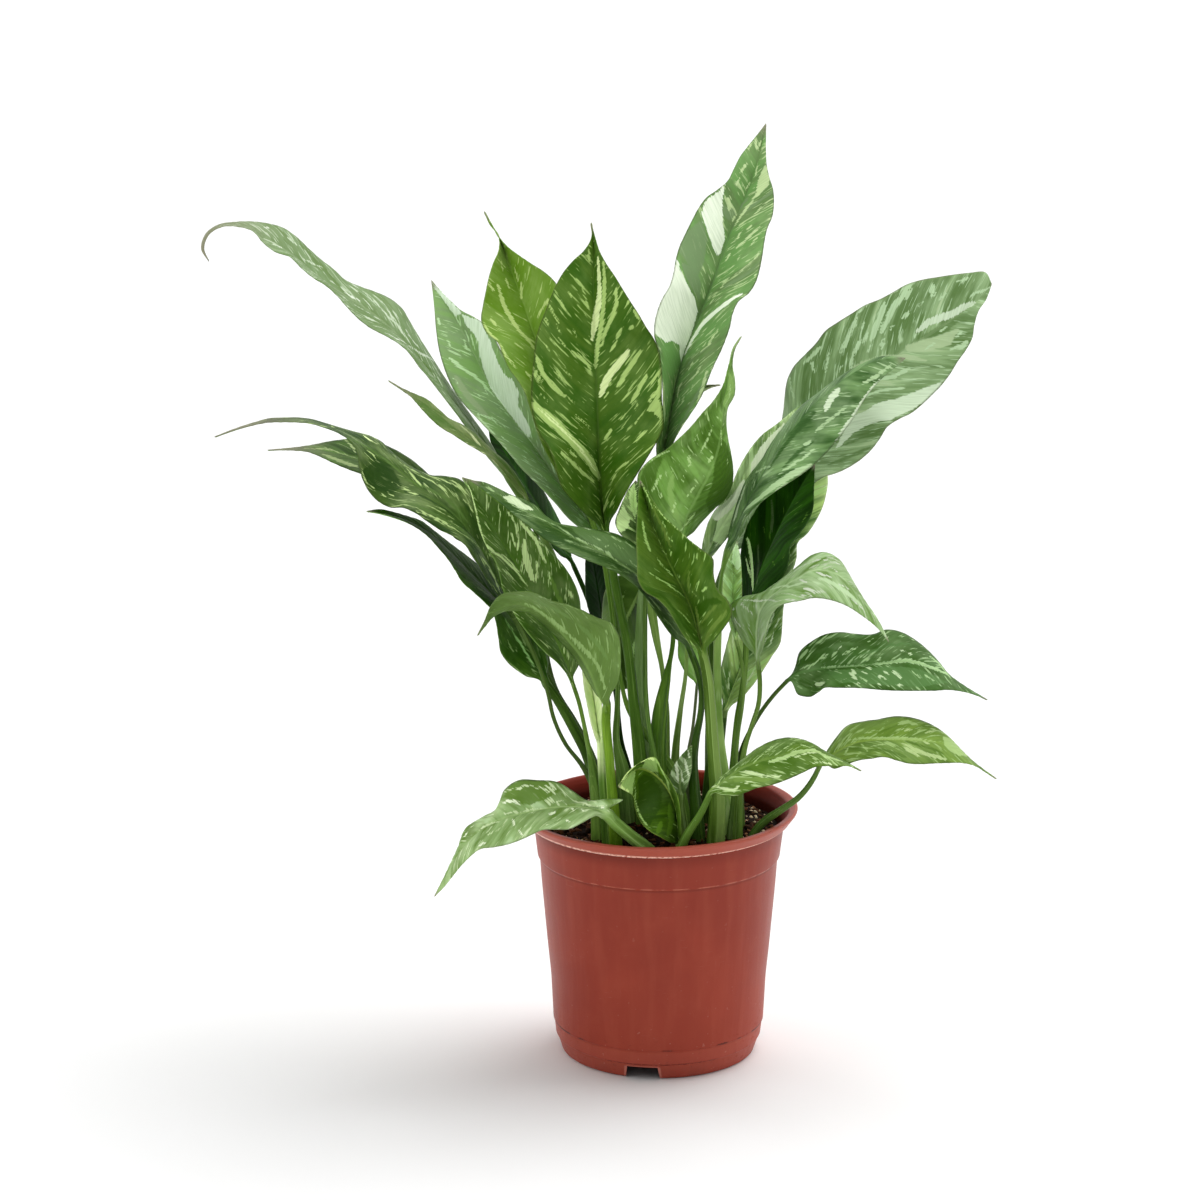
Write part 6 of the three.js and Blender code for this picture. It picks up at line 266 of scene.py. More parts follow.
        A=[(-22.79, -53.56, 133), (-17.01, -54.58, 139.06), (-24.59, -53.13, 139.15), (-33.19, -48.68, 136.98), (-40.27, -49.12, 141.82), (-47.64, -52.84, 147.29), (-56.24, -57.44, 149.49), (-64.76, -62.65, 151.07), (-71.65, -61.52, 145.8), (-74.63, -62.71, 137.76), (-81.96, -66.72, 134.34), (-88.97, -71.46, 130.71), (-91.83, -75.81, 123.93), (-95.4, -80.28, 117.29), (-98.91, -84.78, 110.57)],
        B=[(-25.09, -56.28, 130.97), (-30.92, -63.38, 133.59), (-36.27, -68.87, 132.41), (-41.72, -72.79, 130.99), (-47.65, -76.48, 131.89), (-53.57, -79.54, 132.67), (-59.01, -81.54, 130.71), (-64.45, -83.37, 128.7), (-70.1, -85.88, 127.53), (-75.9, -89.02, 127.35), (-81.72, -91.78, 127.31), (-86.44, -93.01, 123.94), (-90.69, -92.79, 119.41), (-94.55, -91.33, 114.04), (-98.43, -89.32, 108.46)],
        tip=(-102.83, -88, 103.62),
        cols=((90, 122, 44), (158, 188, 127), (201, 219, 171), (225, 236, 203)), pet=((84, 116, 44), (118, 154, 74), (160, 190, 118)), grey=(172, 199, 148), midrib=(172, 199, 132), midrib_mix=0.5, margin=(127, 141, 101), undercol=(138, 168, 111), under=0.55, fleck=0.6, fleck_mix=0.85, sector=0.6, cloud=0.3, pitch=4.2, relief=0.28, wavy=0.8, camber=0.045, sheath=1.0, tipgrey=0.05, gloss=0.13, fade=0.01, back=0.0, backcol=(112, 144, 88), sweep=1.0, line=0.3, line_mix=0.45, two_tone=0.0),
    "leaf_front_curled": dict(rad=[(0, 2.4), (1, 1.6)], up=-1, seed=200, slot="leaf_mid",
        P=[(9.28, -37.58, 103.52), (9.28, -37.45, 104.37), (9.28, -37.32, 105.22), (9.28, -37.2, 106.08), (9.28, -37.09, 106.93), (9.26, -36.99, 107.79), (9.19, -36.89, 108.64), (9.08, -36.81, 109.49), (8.94, -36.74, 110.34), (8.8, -36.67, 111.19)],
        M=[(8.8, -36.67, 111.19), (8.64, -34.49, 117.26), (8.16, -33.73, 123.77), (6.89, -33.77, 130.42), (4.57, -34.25, 136.85), (0.89, -34.86, 142.57), (-4.14, -35.98, 147.09), (-10.37, -39.45, 149.74), (-15.3, -44.62, 147.21)],
        A=[(7.81, -39.86, 112.22), (3.51, -47.18, 116.87), (-0.66, -50.28, 120.19), (-4.74, -48.81, 122.06), (-8.17, -44.01, 123.78), (-10.58, -39.84, 126.6), (-11.8, -40.71, 131.61), (-12.57, -43.37, 137.26), (-15.57, -46.72, 140.55)],
        B=[(9.66, -39.87, 112.22), (9.47, -47.16, 122.4), (9.11, -51.19, 131.47), (7.76, -52.44, 139.5), (4.66, -52.57, 146.57), (0.48, -51.51, 152.63), (-3.04, -49.3, 157.9), (-9.91, -50.37, 155.37), (-15.59, -49.83, 150.34)],
        tip=(-19.58, -50.6, 144.06),
        cols=((40, 69, 6), (74, 109, 20), (154, 190, 106), (219, 246, 156)), pet=((140, 166, 90), (176, 200, 120), (190, 210, 140)), grey=(87, 125, 31), midrib=(222, 246, 119), midrib_mix=0.9, margin=(165, 200, 87), undercol=(165, 200, 100), under=0.55, fleck=0.66, fleck_mix=0.85, sector=0.8, cloud=0.15, pitch=4.2, relief=0.28, wavy=0.8, camber=0.045, sheath=1.0, tipgrey=0.05, gloss=0.08, fade=0.01, back=0.0, backcol=(112, 144, 88), sweep=0.75, line=0.3, line_mix=0.45, two_tone=0.0),
    "leaf_young_white": dict(rad=[(0, 2.0), (1, 1.1)], up=-1, seed=207, slot="leaf_pale",
        P=[(12.46, -27.3, 103.5), (12.34, -27.42, 106.72), (12.1, -27.44, 109.93), (11.8, -27.32, 113.14), (11.49, -27.12, 116.34), (11.12, -26.85, 119.53), (10.65, -26.27, 122.67), (10.35, -25.58, 125.8), (10.33, -25.05, 128.97), (10.33, -24.49, 132.15)],
        M=[(10.33, -24.49, 132.15), (9.69, -24.1, 134.78), (9.42, -23.86, 137.52), (9.43, -23.67, 140.29), (10, -23.62, 143.03), (10.82, -23.64, 145.72), (11.65, -23.78, 148.45), (12.61, -23.99, 151.14), (13.68, -24.27, 153.8)],
        A=[(8.93, -24.6, 132.18), (6.26, -25.97, 134.53), (4.35, -26.11, 137.22), (4.44, -26.81, 140.76), (5.12, -26.85, 144.05), (6.42, -26.82, 147.08), (8.21, -26.85, 149.86), (10.19, -26.33, 152.33), (12.41, -25.25, 154.44)],
        B=[(11.25, -24.91, 132.28), (12.21, -27.03, 135.48), (13.04, -27.87, 138.35), (13.72, -27.75, 140.97), (14.35, -27.61, 143.61), (14.77, -27.56, 146.31), (14.82, -27.38, 149), (14.82, -26.75, 151.57), (14.83, -25.55, 153.96)],
        tip=(14.84, -24.62, 156.44),
        cols=((72, 100, 44), (104, 134, 76), (180, 204, 156), (220, 232, 202)), pet=((58, 84, 24), (92, 118, 50), (170, 196, 130)), grey=(133, 165, 118), midrib=(150, 175, 110), midrib_mix=0.55, margin=(110, 125, 84), undercol=(120, 150, 92), under=0.55, fleck=0.57, fleck_mix=0.85, sector=0.6, cloud=0.3, pitch=4.2, relief=0.28, wavy=0.8, camber=0.045, sheath=1.0, tipgrey=0.05, gloss=0.13, fade=0.01, back=0.0, backcol=(112, 144, 88), sweep=0.75, line=0.3, line_mix=0.45, two_tone=0.0),
    "leaf_young_centre": dict(rad=[(0, 2.2), (0.4, 1.2), (1, 1.1)], up=-1, seed=214, slot="leaf_pale",
        P=[(1.35, -10.94, 103.5), (0.79, -14.19, 118.3), (-0.46, -15.58, 133.32), (-2.78, -13.12, 148.08), (-5.3, -9.98, 162.71), (-6.59, -7.66, 177.63), (-6.87, -7.7, 192.79), (-6.94, -9.25, 207.87), (-6.85, -12.12, 222.77), (-5.72, -16.72, 237.17)],
        M=[(-5.72, -16.72, 237.17), (-6.99, -16.76, 241.94), (-8.13, -17.33, 246.87), (-9.12, -18.39, 251.94), (-10, -19.58, 257.05), (-10.79, -20.54, 262.12), (-11.61, -21.29, 267.11), (-12.25, -21.98, 272.11), (-12.15, -22.62, 277.13)],
        A=[(-6.65, -17.91, 237.46), (-9.4, -23.28, 243.72), (-12.24, -26.13, 249.23), (-15.32, -26.98, 254.07), (-19.02, -25.33, 257.78), (-20.91, -22.42, 262.13), (-19.33, -25.3, 268.12), (-17.22, -25.91, 273.4), (-14.89, -23.86, 277.97)],
        B=[(-4.81, -17.82, 237.44), (-3.12, -22.65, 243.37), (-2.26, -25.19, 248.95), (-2.41, -26.6, 254.33), (-3.15, -27.6, 259.55), (-4.14, -27.9, 264.54), (-5.6, -27.4, 269.21), (-7.46, -26.16, 273.56), (-9.34, -23.9, 277.67)],
        tip=(-11.4, -23.21, 282.06),
        cols=((45, 77, 20), (73, 96, 48), (188, 223, 141), (204, 234, 160)), pet=((60, 92, 26), (92, 126, 50), (150, 180, 104)), grey=(81, 106, 71), midrib=(92, 112, 66), midrib_mix=0.55, margin=(66, 79, 49), undercol=(73, 96, 54), under=0.55, fleck=0.58, fleck_mix=0.85, sector=0.6, cloud=0.4, pitch=4.2, relief=0.28, wavy=0.8, camber=0.045, sheath=1.0, tipgrey=0.05, gloss=0.13, fade=0.01, back=0.0, backcol=(112, 144, 88), sweep=0.75, line=0.3, line_mix=0.45, two_tone=0.0),
    # near-black colours on this leaf: painted shade
    "leaf_inner_shaded": dict(rad=[(0, 2.4), (0.4, 1.2), (1, 1.2)], up=1, seed=221, slot="leaf_dark",
        P=[(-10.69, 27.21, 103.65), (-11.63, 27.62, 113.52), (-13.01, 27.97, 123.34), (-15.25, 28.11, 132.99), (-17.73, 28.6, 142.58), (-18.96, 30.04, 152.31), (-19.71, 32.01, 162), (-21.12, 34.2, 171.57), (-23.07, 35.3, 181.22), (-24.03, 34.53, 191.03)],
        M=[(-24.02, 38.53, 189.96), (-25.4, 39.02, 195.22), (-26.59, 38.62, 200.75), (-27.55, 38.05, 206.37), (-28.36, 37.38, 212.03), (-29.19, 36.43, 217.74), (-30.04, 35.43, 223.45), (-30.88, 34.44, 229.14), (-31.72, 33.4, 234.83)],
        A=[(-24.97, 39.88, 189.6), (-28.54, 45.72, 192.55), (-31.5, 47.69, 197), (-33.38, 47.68, 202.5), (-34.66, 46.81, 208.39), (-34.99, 45.45, 214.53), (-34.98, 43.33, 220.86), (-34.96, 40.06, 227.46), (-34.26, 35.7, 234.23)],
        B=[(-23.06, 39.92, 189.59), (-22.42, 46.13, 193.68), (-22.12, 48.43, 198.85), (-22.17, 48.52, 204.61), (-22.61, 47.67, 210.58), (-23.29, 45.91, 216.74), (-24.61, 43.44, 222.94), (-26.52, 40.12, 229.14), (-29.17, 35.71, 235.22)],
        tip=(-32.56, 32.3, 240.52),
        cols=((6, 27, 1), (14, 44, 4), (46, 88, 22), (69, 119, 43)), pet=((16, 38, 3), (28, 54, 8), (54, 84, 24)), grey=(123, 177, 102), midrib=(18, 48, 6), midrib_mix=0.55, margin=(101, 134, 72), undercol=(111, 161, 79), under=0.0, fleck=0.8, fleck_mix=0.85, sector=0.95, cloud=0.0, pitch=4.2, relief=0.28, wavy=0.8, camber=0.045, sheath=1.0, tipgrey=0.05, gloss=0.02, fade=0.01, back=0.0, backcol=(112, 144, 88), sweep=0.75, line=0.3, line_mix=0.45, two_tone=0.0),
    "leaf_inner_hanging": dict(rad=[(0, 3.5), (0.3, 2.6), (0.6, 2.2), (1, 1.7)], up=1, seed=228, slot="leaf_mid",
        P=[(-3.02, 24.36, 103.57), (-3.54, 22.64, 116.64), (-4.28, 20.82, 129.68), (-5.41, 19.08, 142.7), (-7.15, 17.84, 155.71), (-8.98, 17.13, 168.73), (-9.32, 17.05, 181.91), (-9.41, 17.48, 195.09), (-8.93, 17.77, 208.26), (-8.07, 20.07, 221.2)],
        M=[(-8.07, 20.07, 221.2), (-10.49, 19.9, 215.9), (-12.96, 19.83, 210.57), (-15.44, 19.93, 205.21), (-17.58, 20.16, 199.64), (-19.31, 20.54, 193.87), (-20.61, 21.09, 187.92), (-21.2, 21.85, 181.79), (-21.01, 22.81, 175.54)],
        A=[(-8.99, 22.21, 221.63), (-15.31, 25.21, 225.41), (-22.39, 25.55, 223.1), (-25.89, 30.98, 214.67), (-26.88, 34.1, 205.83), (-26.88, 35.13, 197.42), (-26.86, 34.12, 189.52), (-26.11, 31.37, 182.13), (-24.29, 26.92, 175.44)],
        B=[(-7.1, 22.12, 219.71), (-7.25, 30.2, 211.24), (-7.54, 33.79, 203.88), (-8.05, 34.14, 197.35), (-8.33, 32.87, 191.22), (-8.35, 30.17, 185.47), (-8.43, 24.13, 180.65), (-9.84, 20.04, 175.51), (-14.09, 21.49, 170.86)],
        tip=(-20.24, 23.95, 169.29),
        cols=((53, 83, 17), (81, 112, 40), (126, 157, 87), (157, 185, 115)), pet=((104, 136, 72), (136, 166, 106), (166, 192, 134)), grey=(169, 207, 128), midrib=(141, 173, 92), midrib_mix=0.85, margin=(141, 157, 92), undercol=(96, 126, 51), under=0.4, fleck=0.7, fleck_mix=0.85, sector=0.85, cloud=0.1, pitch=4.2, relief=0.28, wavy=0.8, camber=0.045, sheath=1.0, tipgrey=0.05, gloss=0.08, fade=0.01, back=0.0, backcol=(112, 144, 88), sweep=0.75, line=0.3, line_mix=0.45, two_tone=0.0),
    "leaf_inner_right": dict(rad=[(0, 2.0), (0.4, 1.3), (0.6, 0.8), (1, 0.75)], up=-1, seed=235, slot="leaf_mid",
        P=[(14.83, 18.69, 103.66), (14.4, 18.69, 111.3), (14.14, 18.73, 118.95), (14.07, 18.8, 126.61), (14.04, 19.16, 134.25), (14.52, 20.46, 141.75), (16, 22.56, 148.96), (16.97, 25.03, 156.14), (17.74, 27.48, 163.35), (18.35, 29.64, 170.65)],
        M=[(18.35, 29.64, 170.65), (16.9, 31.1, 174.79), (15.64, 32.25, 179.08), (14.4, 33.18, 183.43), (14.09, 33.7, 188.05), (14.43, 33.59, 192.83), (15, 33.25, 197.65), (16.08, 32.91, 202.35), (17.69, 32.38, 206.93)],
        A=[(17.37, 28.63, 171.43), (13.74, 24.79, 176.28), (10.99, 23.56, 181.04), (9.16, 23.87, 185.8), (9.11, 24.45, 190.87), (9.1, 25.32, 195.87), (10.31, 26.31, 200.63), (12.74, 27.84, 204.81), (15.74, 30.3, 208.38)],
        B=[(19.33, 30.87, 170.81), (20.04, 37.45, 173.52), (20.5, 40.82, 177.16), (20.8, 41.85, 181.46), (20.93, 41.99, 186), (20.89, 41.34, 190.75), (20.82, 39.73, 195.75), (20.72, 37.38, 200.92), (20.28, 34.14, 206.3)],
        tip=(19.57, 31.68, 211.42),
        cols=((104, 150, 50), (132, 184, 78), (172, 210, 124), (190, 218, 144)), pet=((78, 88, 60), (104, 118, 76), (142, 156, 108)), grey=(133, 165, 118), midrib=(150, 175, 110), midrib_mix=0.55, margin=(110, 125, 84), undercol=(120, 150, 92), under=0.55, fleck=0.7, fleck_mix=0.85, sector=0.7, cloud=0.1, pitch=4.2, relief=0.28, wavy=0.8, camber=0.045, sheath=1.0, tipgrey=0.05, gloss=0.1, fade=0.01, back=0.6, backcol=(84, 124, 50), sweep=0.75, line=0.3, line_mix=0.45, two_tone=0.0),
    "leaf_young_sliver": dict(rad=[(0, 2.0), (0.4, 1.0), (1, 0.9)], up=-1, seed=242, slot="leaf_pale",
        P=[(32.51, -22.62, 103.5), (33.51, -20.34, 114.47), (34.63, -17.73, 125.36), (35.23, -15.26, 136.33), (35.73, -12.92, 147.33), (36.68, -10.19, 158.2), (38.39, -7.52, 169), (39.28, -6.24, 180.08), (38.13, -6.38, 191.27), (35.44, -7.11, 202.17)],
        M=[(35.44, -7.11, 202.17), (34.9, -7.57, 207.58), (34.46, -8.27, 213.05), (34.1, -9.13, 218.55), (33.8, -10.31, 224.13), (33.69, -11.77, 229.77), (33.79, -13.37, 235.43), (33.99, -15.11, 241.1), (34.42, -17.05, 246.78)],
        A=[(34.48, -8.02, 202.41), (32.84, -12.87, 209.02), (31.33, -15.56, 215.04), (29.66, -16.58, 220.54), (28.48, -17.21, 226.04), (28.59, -18.12, 231.73), (29.18, -18.65, 237.28), (30.73, -19.07, 242.56), (32.83, -18.96, 247.5)],
        B=[(36.33, -8.07, 202.42), (36.86, -12.93, 208.98), (37.26, -15.73, 214.98), (37.48, -17.1, 220.62), (37.61, -18.09, 226.14), (37.54, -18.98, 231.63), (37.33, -19.48, 237.01), (37.02, -19.37, 242.22), (36.34, -18.72, 247.26)],
        tip=(35.08, -19.17, 252.45),
        cols=((108, 141, 66), (192, 230, 141), (208, 246, 184), (217, 246, 196)), pet=((62, 92, 26), (92, 122, 50), (150, 176, 104)), grey=(182, 221, 162), midrib=(205, 234, 152), midrib_mix=0.55, margin=(152, 168, 117), undercol=(165, 201, 128), under=0.55, fleck=0.58, fleck_mix=0.85, sector=0.6, cloud=0.4, pitch=4.2, relief=0.28, wavy=0.8, camber=0.045, sheath=1.0, tipgrey=0.05, gloss=0.13, fade=0.01, back=0.0, backcol=(112, 144, 88), sweep=0.75, line=0.3, line_mix=0.45, two_tone=0.0),
}

# Variegation drawn on each leaf. Each mark is (tone, half width in mm,
# points as (fraction along the blade, fraction across from -1 to 1)).
# Tones: w white, p pale, g grey green, d dark. A mark with half width 0 is an outline.
# Pale marks are flecks, and some along margins, midribs and folds are painted highlights; dark marks are mostly painted
# shade in folds, curled margins and creases, with some darker green.
MARKS = {
    "leaf_centre_dark": [
        ('w', 1.42, [(0.886, 0.531), (0.83, 0.306), (0.775, 0.224), (0.711, 0.102), (0.661, -0.0), (0.623, -0.041)]),
        ('w', 1.9, [(0.766, 0.224), (0.703, 0.061), (0.649, 0.0)]),
        ('p', 1.19, [(0.875, 0.857), (0.813, 0.51), (0.75, 0.327), (0.691, 0.204), (0.648, 0.122), (0.591, 0.041), (0.534, -0.0)]),
        ('p', 0.95, [(0.786, 0.816), (0.731, 0.633), (0.683, 0.388), (0.646, 0.224), (0.603, 0.122)]),
        ('w', 1.66, [(0.579, 0.531), (0.548, 0.388), (0.519, 0.245), (0.487, 0.143), (0.444, 0.061)]),
        ('p', 0.71, [(0.651, 0.551), (0.621, 0.388)]),
        ('p', 1.07, [(0.579, 0.735), (0.539, 0.551), (0.511, 0.449), (0.471, 0.327)]),
        ('p', 0.95, [(0.504, 0.776), (0.472, 0.673), (0.437, 0.592), (0.416, 0.531)]),
        ('p', 1.19, [(0.511, 0.98), (0.464, 0.98), (0.427, 0.898), (0.401, 0.776)]),
        ('p', 0.0, [(0.419, 0.816), (0.432, 0.918), (0.424, 0.98), (0.386, 1.0), (0.374, 0.939), (0.397, 0.857), (0.397, 0.755)]),
        ('p', 0.95, [(0.71, 0.959), (0.679, 0.959)]),
        ('p', 0.95, [(0.658, 0.776), (0.649, 0.694)]),
        ('p', 2.61, [(0.434, -0.98), (0.401, -0.816), (0.367, -0.673), (0.329, -0.592), (0.29, -0.469), (0.242, -0.245), (0.184, -0.02)]),
        ('w', 0.71, [(0.422, -0.898), (0.381, -0.714), (0.332, -0.571), (0.277, -0.408), (0.212, -0.122)]),
        ('p', 0.95, [(0.28, -0.816), (0.247, -0.653), (0.214, -0.469), (0.179, -0.204)]),
        ('p', 1.19, [(0.566, -0.959), (0.519, -0.837), (0.482, -0.673), (0.451, -0.51)]),
        ('p', 0.95, [(0.538, -1.0), (0.514, -0.939), (0.491, -0.857)]),
        ('p', 0.71, [(0.588, -0.408), (0.566, -0.245), (0.548, -0.122), (0.524, -0.082)]),
        ('p', 0.71, [(0.912, -0.592), (0.87, -0.245)]),
        ('p', 0.47, [(0.654, -0.388), (0.628, -0.306)]),
        ('p', 0.59, [(0.626, -0.633), (0.593, -0.469)]),
        ('p', 0.47, [(0.664, -0.714), (0.638, -0.592)]),
        ('p', 0.47, [(0.394, -0.367), (0.367, -0.245), (0.339, -0.143)]),
        ('p', 0.71, [(0.307, 0.122), (0.341, 0.224)]),
        ('p', 0.71, [(0.301, 0.653), (0.341, 0.755)]),
        ('p', 0.59, [(0.205, 0.469), (0.237, 0.673)]),
        ('p', 0.47, [(0.152, 0.367), (0.195, 0.49)]),
        ('p', 0.52, [(0.726, -1.0), (0.668, -0.673)]),
        ('p', 0.47, [(0.763, -0.245), (0.718, -0.122)]),
        ('p', 0.47, [(0.79, -0.347), (0.76, -0.245)]),
        ('p', 0.47, [(0.543, -0.571), (0.504, -0.367)]),
        ('p', 0.47, [(0.524, -0.633), (0.499, -0.551)]),
        ('p', 0.43, [(0.454, -0.469), (0.424, -0.327)]),
        ('p', 0.47, [(0.467, -0.878), (0.437, -0.755)]),
        ('p', 0.47, [(0.581, 0.245), (0.618, 0.408)]),
        ('p', 0.47, [(0.357, 0.571), (0.382, 0.653)]),
        ('p', 0.47, [(0.741, -0.776), (0.718, -0.653)]),
        ('p', 0.43, [(0.773, -0.653), (0.75, -0.531)]),
        ('p', 0.43, [(0.684, -0.959), (0.663, -0.837)]),
        ('p', 0.43, [(0.778, 0.98), (0.75, 0.755)]),
        ('p', 0.47, [(0.745, 1.0), (0.711, 0.755)]),
        ('p', 0.52, [(0.454, 0.898), (0.424, 0.796)]),
        ('p', 0.43, [(0.424, 0.653), (0.401, 0.592)]),
        ('p', 0.47, [(0.29, -0.673), (0.264, -0.551)]),
        ('p', 0.43, [(0.604, -0.837), (0.584, -0.755)]),
        ('p', 0.43, [(0.431, 0.122), (0.456, 0.184)]),
        ('p', 0.47, [(0.369, 0.367), (0.394, 0.449)]),
    ],
    "leaf_tallest": [
        ('w', 0.0, [(0.735, -0.959), (0.761, -0.918), (0.786, -0.918), (0.808, -1.0), (0.761, -0.612), (0.71, -0.327), (0.661, -0.082), (0.628, -0.061), (0.613, -0.102), (0.631, -0.286), (0.656, -0.49), (0.686, -0.735), (0.71, -0.878)]),
        ('w', 0.0, [(0.586, -1.0), (0.548, -0.878), (0.518, -0.653), (0.489, -0.347), (0.454, -0.102), (0.417, -0.041), (0.384, -0.02), (0.344, -0.061), (0.309, -0.02), (0.319, -0.163), (0.354, -0.306), (0.362, -0.531), (0.352, -0.714), (0.361, -0.837), (0.369, -0.959), (0.372, -1.0), (0.426, -1.0), (0.471, -1.0), (0.516, -1.0)]),
        ('d', 0.0, [(0.336, -0.878), (0.357, -0.592), (0.332, -0.388), (0.295, -0.204), (0.259, -0.449), (0.279, -0.898)]),
        ('g', 0.0, [(0.644, -1.0), (0.689, -0.816), (0.644, -0.49), (0.586, -0.388), (0.549, -0.429), (0.573, -0.776), (0.596, -1.0)]),
        ('g', 0.0, [(0.568, -0.878), (0.564, -0.531), (0.526, -0.286), (0.486, -0.184), (0.506, -0.469), (0.536, -0.755)]),
        ('p', 0.0, [(0.895, 0.939), (0.853, 1.0), (0.83, 0.837), (0.811, 0.571), (0.788, 0.408), (0.82, 0.327), (0.85, 0.408), (0.873, 0.612)]),
        ('p', 0.71, [(0.805, 0.408), (0.771, 0.245), (0.738, 0.122), (0.708, 0.041)]),
        ('p', 0.76, [(0.716, 0.796), (0.688, 0.612), (0.666, 0.469), (0.646, 0.306)]),
        ('w', 1.54, [(0.524, 0.878), (0.492, 0.776), (0.461, 0.531), (0.432, 0.306), (0.407, 0.184), (0.371, 0.082), (0.334, 0.02)]),
        ('p', 0.71, [(0.369, 0.633), (0.396, 0.694)]),
        ('p', 0.57, [(0.628, 0.837), (0.654, 0.939)]),
        ('p', 0.95, [(0.775, -0.531), (0.74, -0.265)]),
        ('p', 0.62, [(0.948, -0.857), (0.925, -0.286)]),
        ('p', 0.62, [(0.85, -0.653), (0.876, -0.531)]),
        ('p', 1.19, [(0.237, -0.959), (0.195, -1.0), (0.14, -0.755)]),
        ('p', 0.95, [(0.297, 0.898), (0.247, 0.939), (0.209, 0.98)]),
        ('p', 0.57, [(0.885, 0.122), (0.853, 0.163)]),
        ('p', 0.47, [(0.407, 0.184), (0.442, 0.224)]),
        ('p', 0.52, [(0.528, 0.306), (0.549, 0.367)]),
        ('p', 0.52, [(0.613, 0.429), (0.631, 0.49)]),
        ('p', 0.57, [(0.571, 0.898), (0.593, 0.959)]),
        ('p', 0.57, [(0.235, 0.204), (0.259, 0.265)]),
        ('p', 0.47, [(0.289, 0.347), (0.319, 0.429)]),
        ('p', 0.57, [(0.11, 1.0), (0.149, 1.0)]),
        ('p', 0.52, [(0.187, 0.327), (0.215, 0.367)]),
        ('p', 0.43, [(0.715, -0.082), (0.74, -0.041)]),
        ('p', 0.47, [(0.299, 1.0), (0.324, 1.0)]),
        ('g', 1.19, [(0.292, 0.959), (0.252, 0.898), (0.21, 0.857), (0.162, 0.898), (0.112, 0.857), (0.083, 0.592)]),
        ('p', 0.71, [(0.117, -0.02), (0.097, -0.408)]),
        ('p', 0.71, [(0.247, 0.204), (0.214, 0.245)]),
        ('p', 0.47, [(0.503, 0.796), (0.529, 0.755)]),
        ('p', 0.47, [(0.663, 0.673), (0.686, 0.796)]),
        ('p', 0.47, [(0.698, 0.469), (0.716, 0.551)]),
        ('p', 0.43, [(0.671, 0.265), (0.691, 0.306)]),
        ('p', 0.43, [(0.606, 0.143), (0.628, 0.204)]),
        ('p', 0.47, [(0.481, 0.245), (0.506, 0.286)]),
        ('p', 0.47, [(0.471, 0.633), (0.492, 0.714)]),
        ('p', 0.43, [(0.349, 0.51), (0.372, 0.551)]),
        ('p', 0.43, [(0.284, 0.633), (0.307, 0.673)]),
        ('p', 0.47, [(0.81, -0.122), (0.835, -0.041)]),
        ('p', 0.43, [(0.813, -0.592), (0.836, -0.592)]),
        ('p', 0.43, [(0.915, -0.816), (0.937, -0.898)]),
        ('p', 0.43, [(0.928, -0.245), (0.948, -0.184)]),
        ('p', 0.43, [(0.397, 0.694), (0.419, 0.755)]),
        ('p', 0.47, [(0.23, 0.653), (0.254, 0.653)]),
        ('p', 0.43, [(0.2, 0.51), (0.224, 0.51)]),
        ('g', 0.71, [(0.758, -0.02), (0.79, 0.102)]),
        ('p', 0.43, [(0.746, 0.51), (0.768, 0.633)]),
        ('p', 0.38, [(0.578, 0.571), (0.596, 0.653)]),
    ],
    "leaf_right_large": [
        ('p', 1.19, [(0.573, -0.592), (0.598, -0.673), (0.626, -0.796), (0.648, -0.898)]),
        ('p', 0.95, [(0.569, -0.306), (0.601, -0.469), (0.624, -0.551)]),
        ('p', 1.42, [(0.651, -0.449), (0.679, -0.612), (0.705, -0.776), (0.721, -0.898)]),
        ('p', 1.42, [(0.681, -0.469), (0.711, -0.612), (0.735, -0.755), (0.756, -0.857)]),
        ('p', 1.19, [(0.753, -0.796), (0.778, -0.959), (0.8, -1.0)]),
        ('p', 0.95, [(0.631, -0.51), (0.651, -0.592)]),
        ('p', 0.71, [(0.738, -1.0), (0.758, -1.0)]),
        ('p', 0.95, [(0.77, -0.776), (0.79, -0.898)]),
        ('p', 1.19, [(0.83, -0.694), (0.841, -0.857)]),
        ('p', 0.71, [(0.439, -0.959), (0.422, -0.837), (0.411, -0.694)]),
        ('p', 0.71, [(0.492, -0.673), (0.504, -0.837)]),
        ('p', 0.95, [(0.487, -0.898), (0.511, -0.898), (0.539, -0.898)]),
        ('p', 0.71, [(0.795, 0.653), (0.823, 0.796)]),
        ('p', 1.19, [(0.813, 0.837), (0.841, 0.878)]),
        ('p', 0.59, [(0.99, 0.245), (0.937, -0.306), (0.917, -0.265)]),
        ('p', 0.59, [(0.669, -0.98), (0.686, -1.0)]),
        ('p', 0.57, [(0.664, -0.306), (0.683, -0.367)]),
        ('p', 0.71, [(0.516, -0.551), (0.551, -0.735)]),
        ('p', 0.95, [(0.658, -0.959), (0.676, -1.0)]),
        ('p', 0.59, [(0.841, -0.51), (0.865, -0.592)]),
        ('p', 0.59, [(0.895, -0.796), (0.923, -0.837)]),
        ('p', 0.59, [(0.743, -0.51), (0.765, -0.571)]),
        ('p', 0.47, [(0.748, -0.102), (0.768, -0.143)]),
        ('w', 1.66, [(0.765, -0.163), (0.8, -0.204), (0.831, -0.163), (0.865, -0.102), (0.895, -0.102), (0.932, -0.0)]),
        ('g', 1.42, [(0.564, -0.286), (0.601, -0.245), (0.661, -0.082), (0.703, 0.122), (0.73, 0.429)]),
        ('w', 0.0, [(0.531, 0.49), (0.568, 0.531), (0.616, 0.653), (0.666, 0.776), (0.715, 0.939), (0.735, 1.0), (0.686, 1.0), (0.638, 0.98), (0.596, 0.939), (0.553, 0.939), (0.508, 0.694), (0.466, 0.571), (0.419, 0.571), (0.394, 0.592), (0.436, 0.449), (0.474, 0.388), (0.506, 0.388)]),
        ('d', 0.0, [(0.765, -0.041), (0.811, -0.041), (0.851, 0.041), (0.873, 0.224), (0.835, 0.245), (0.795, 0.143)]),
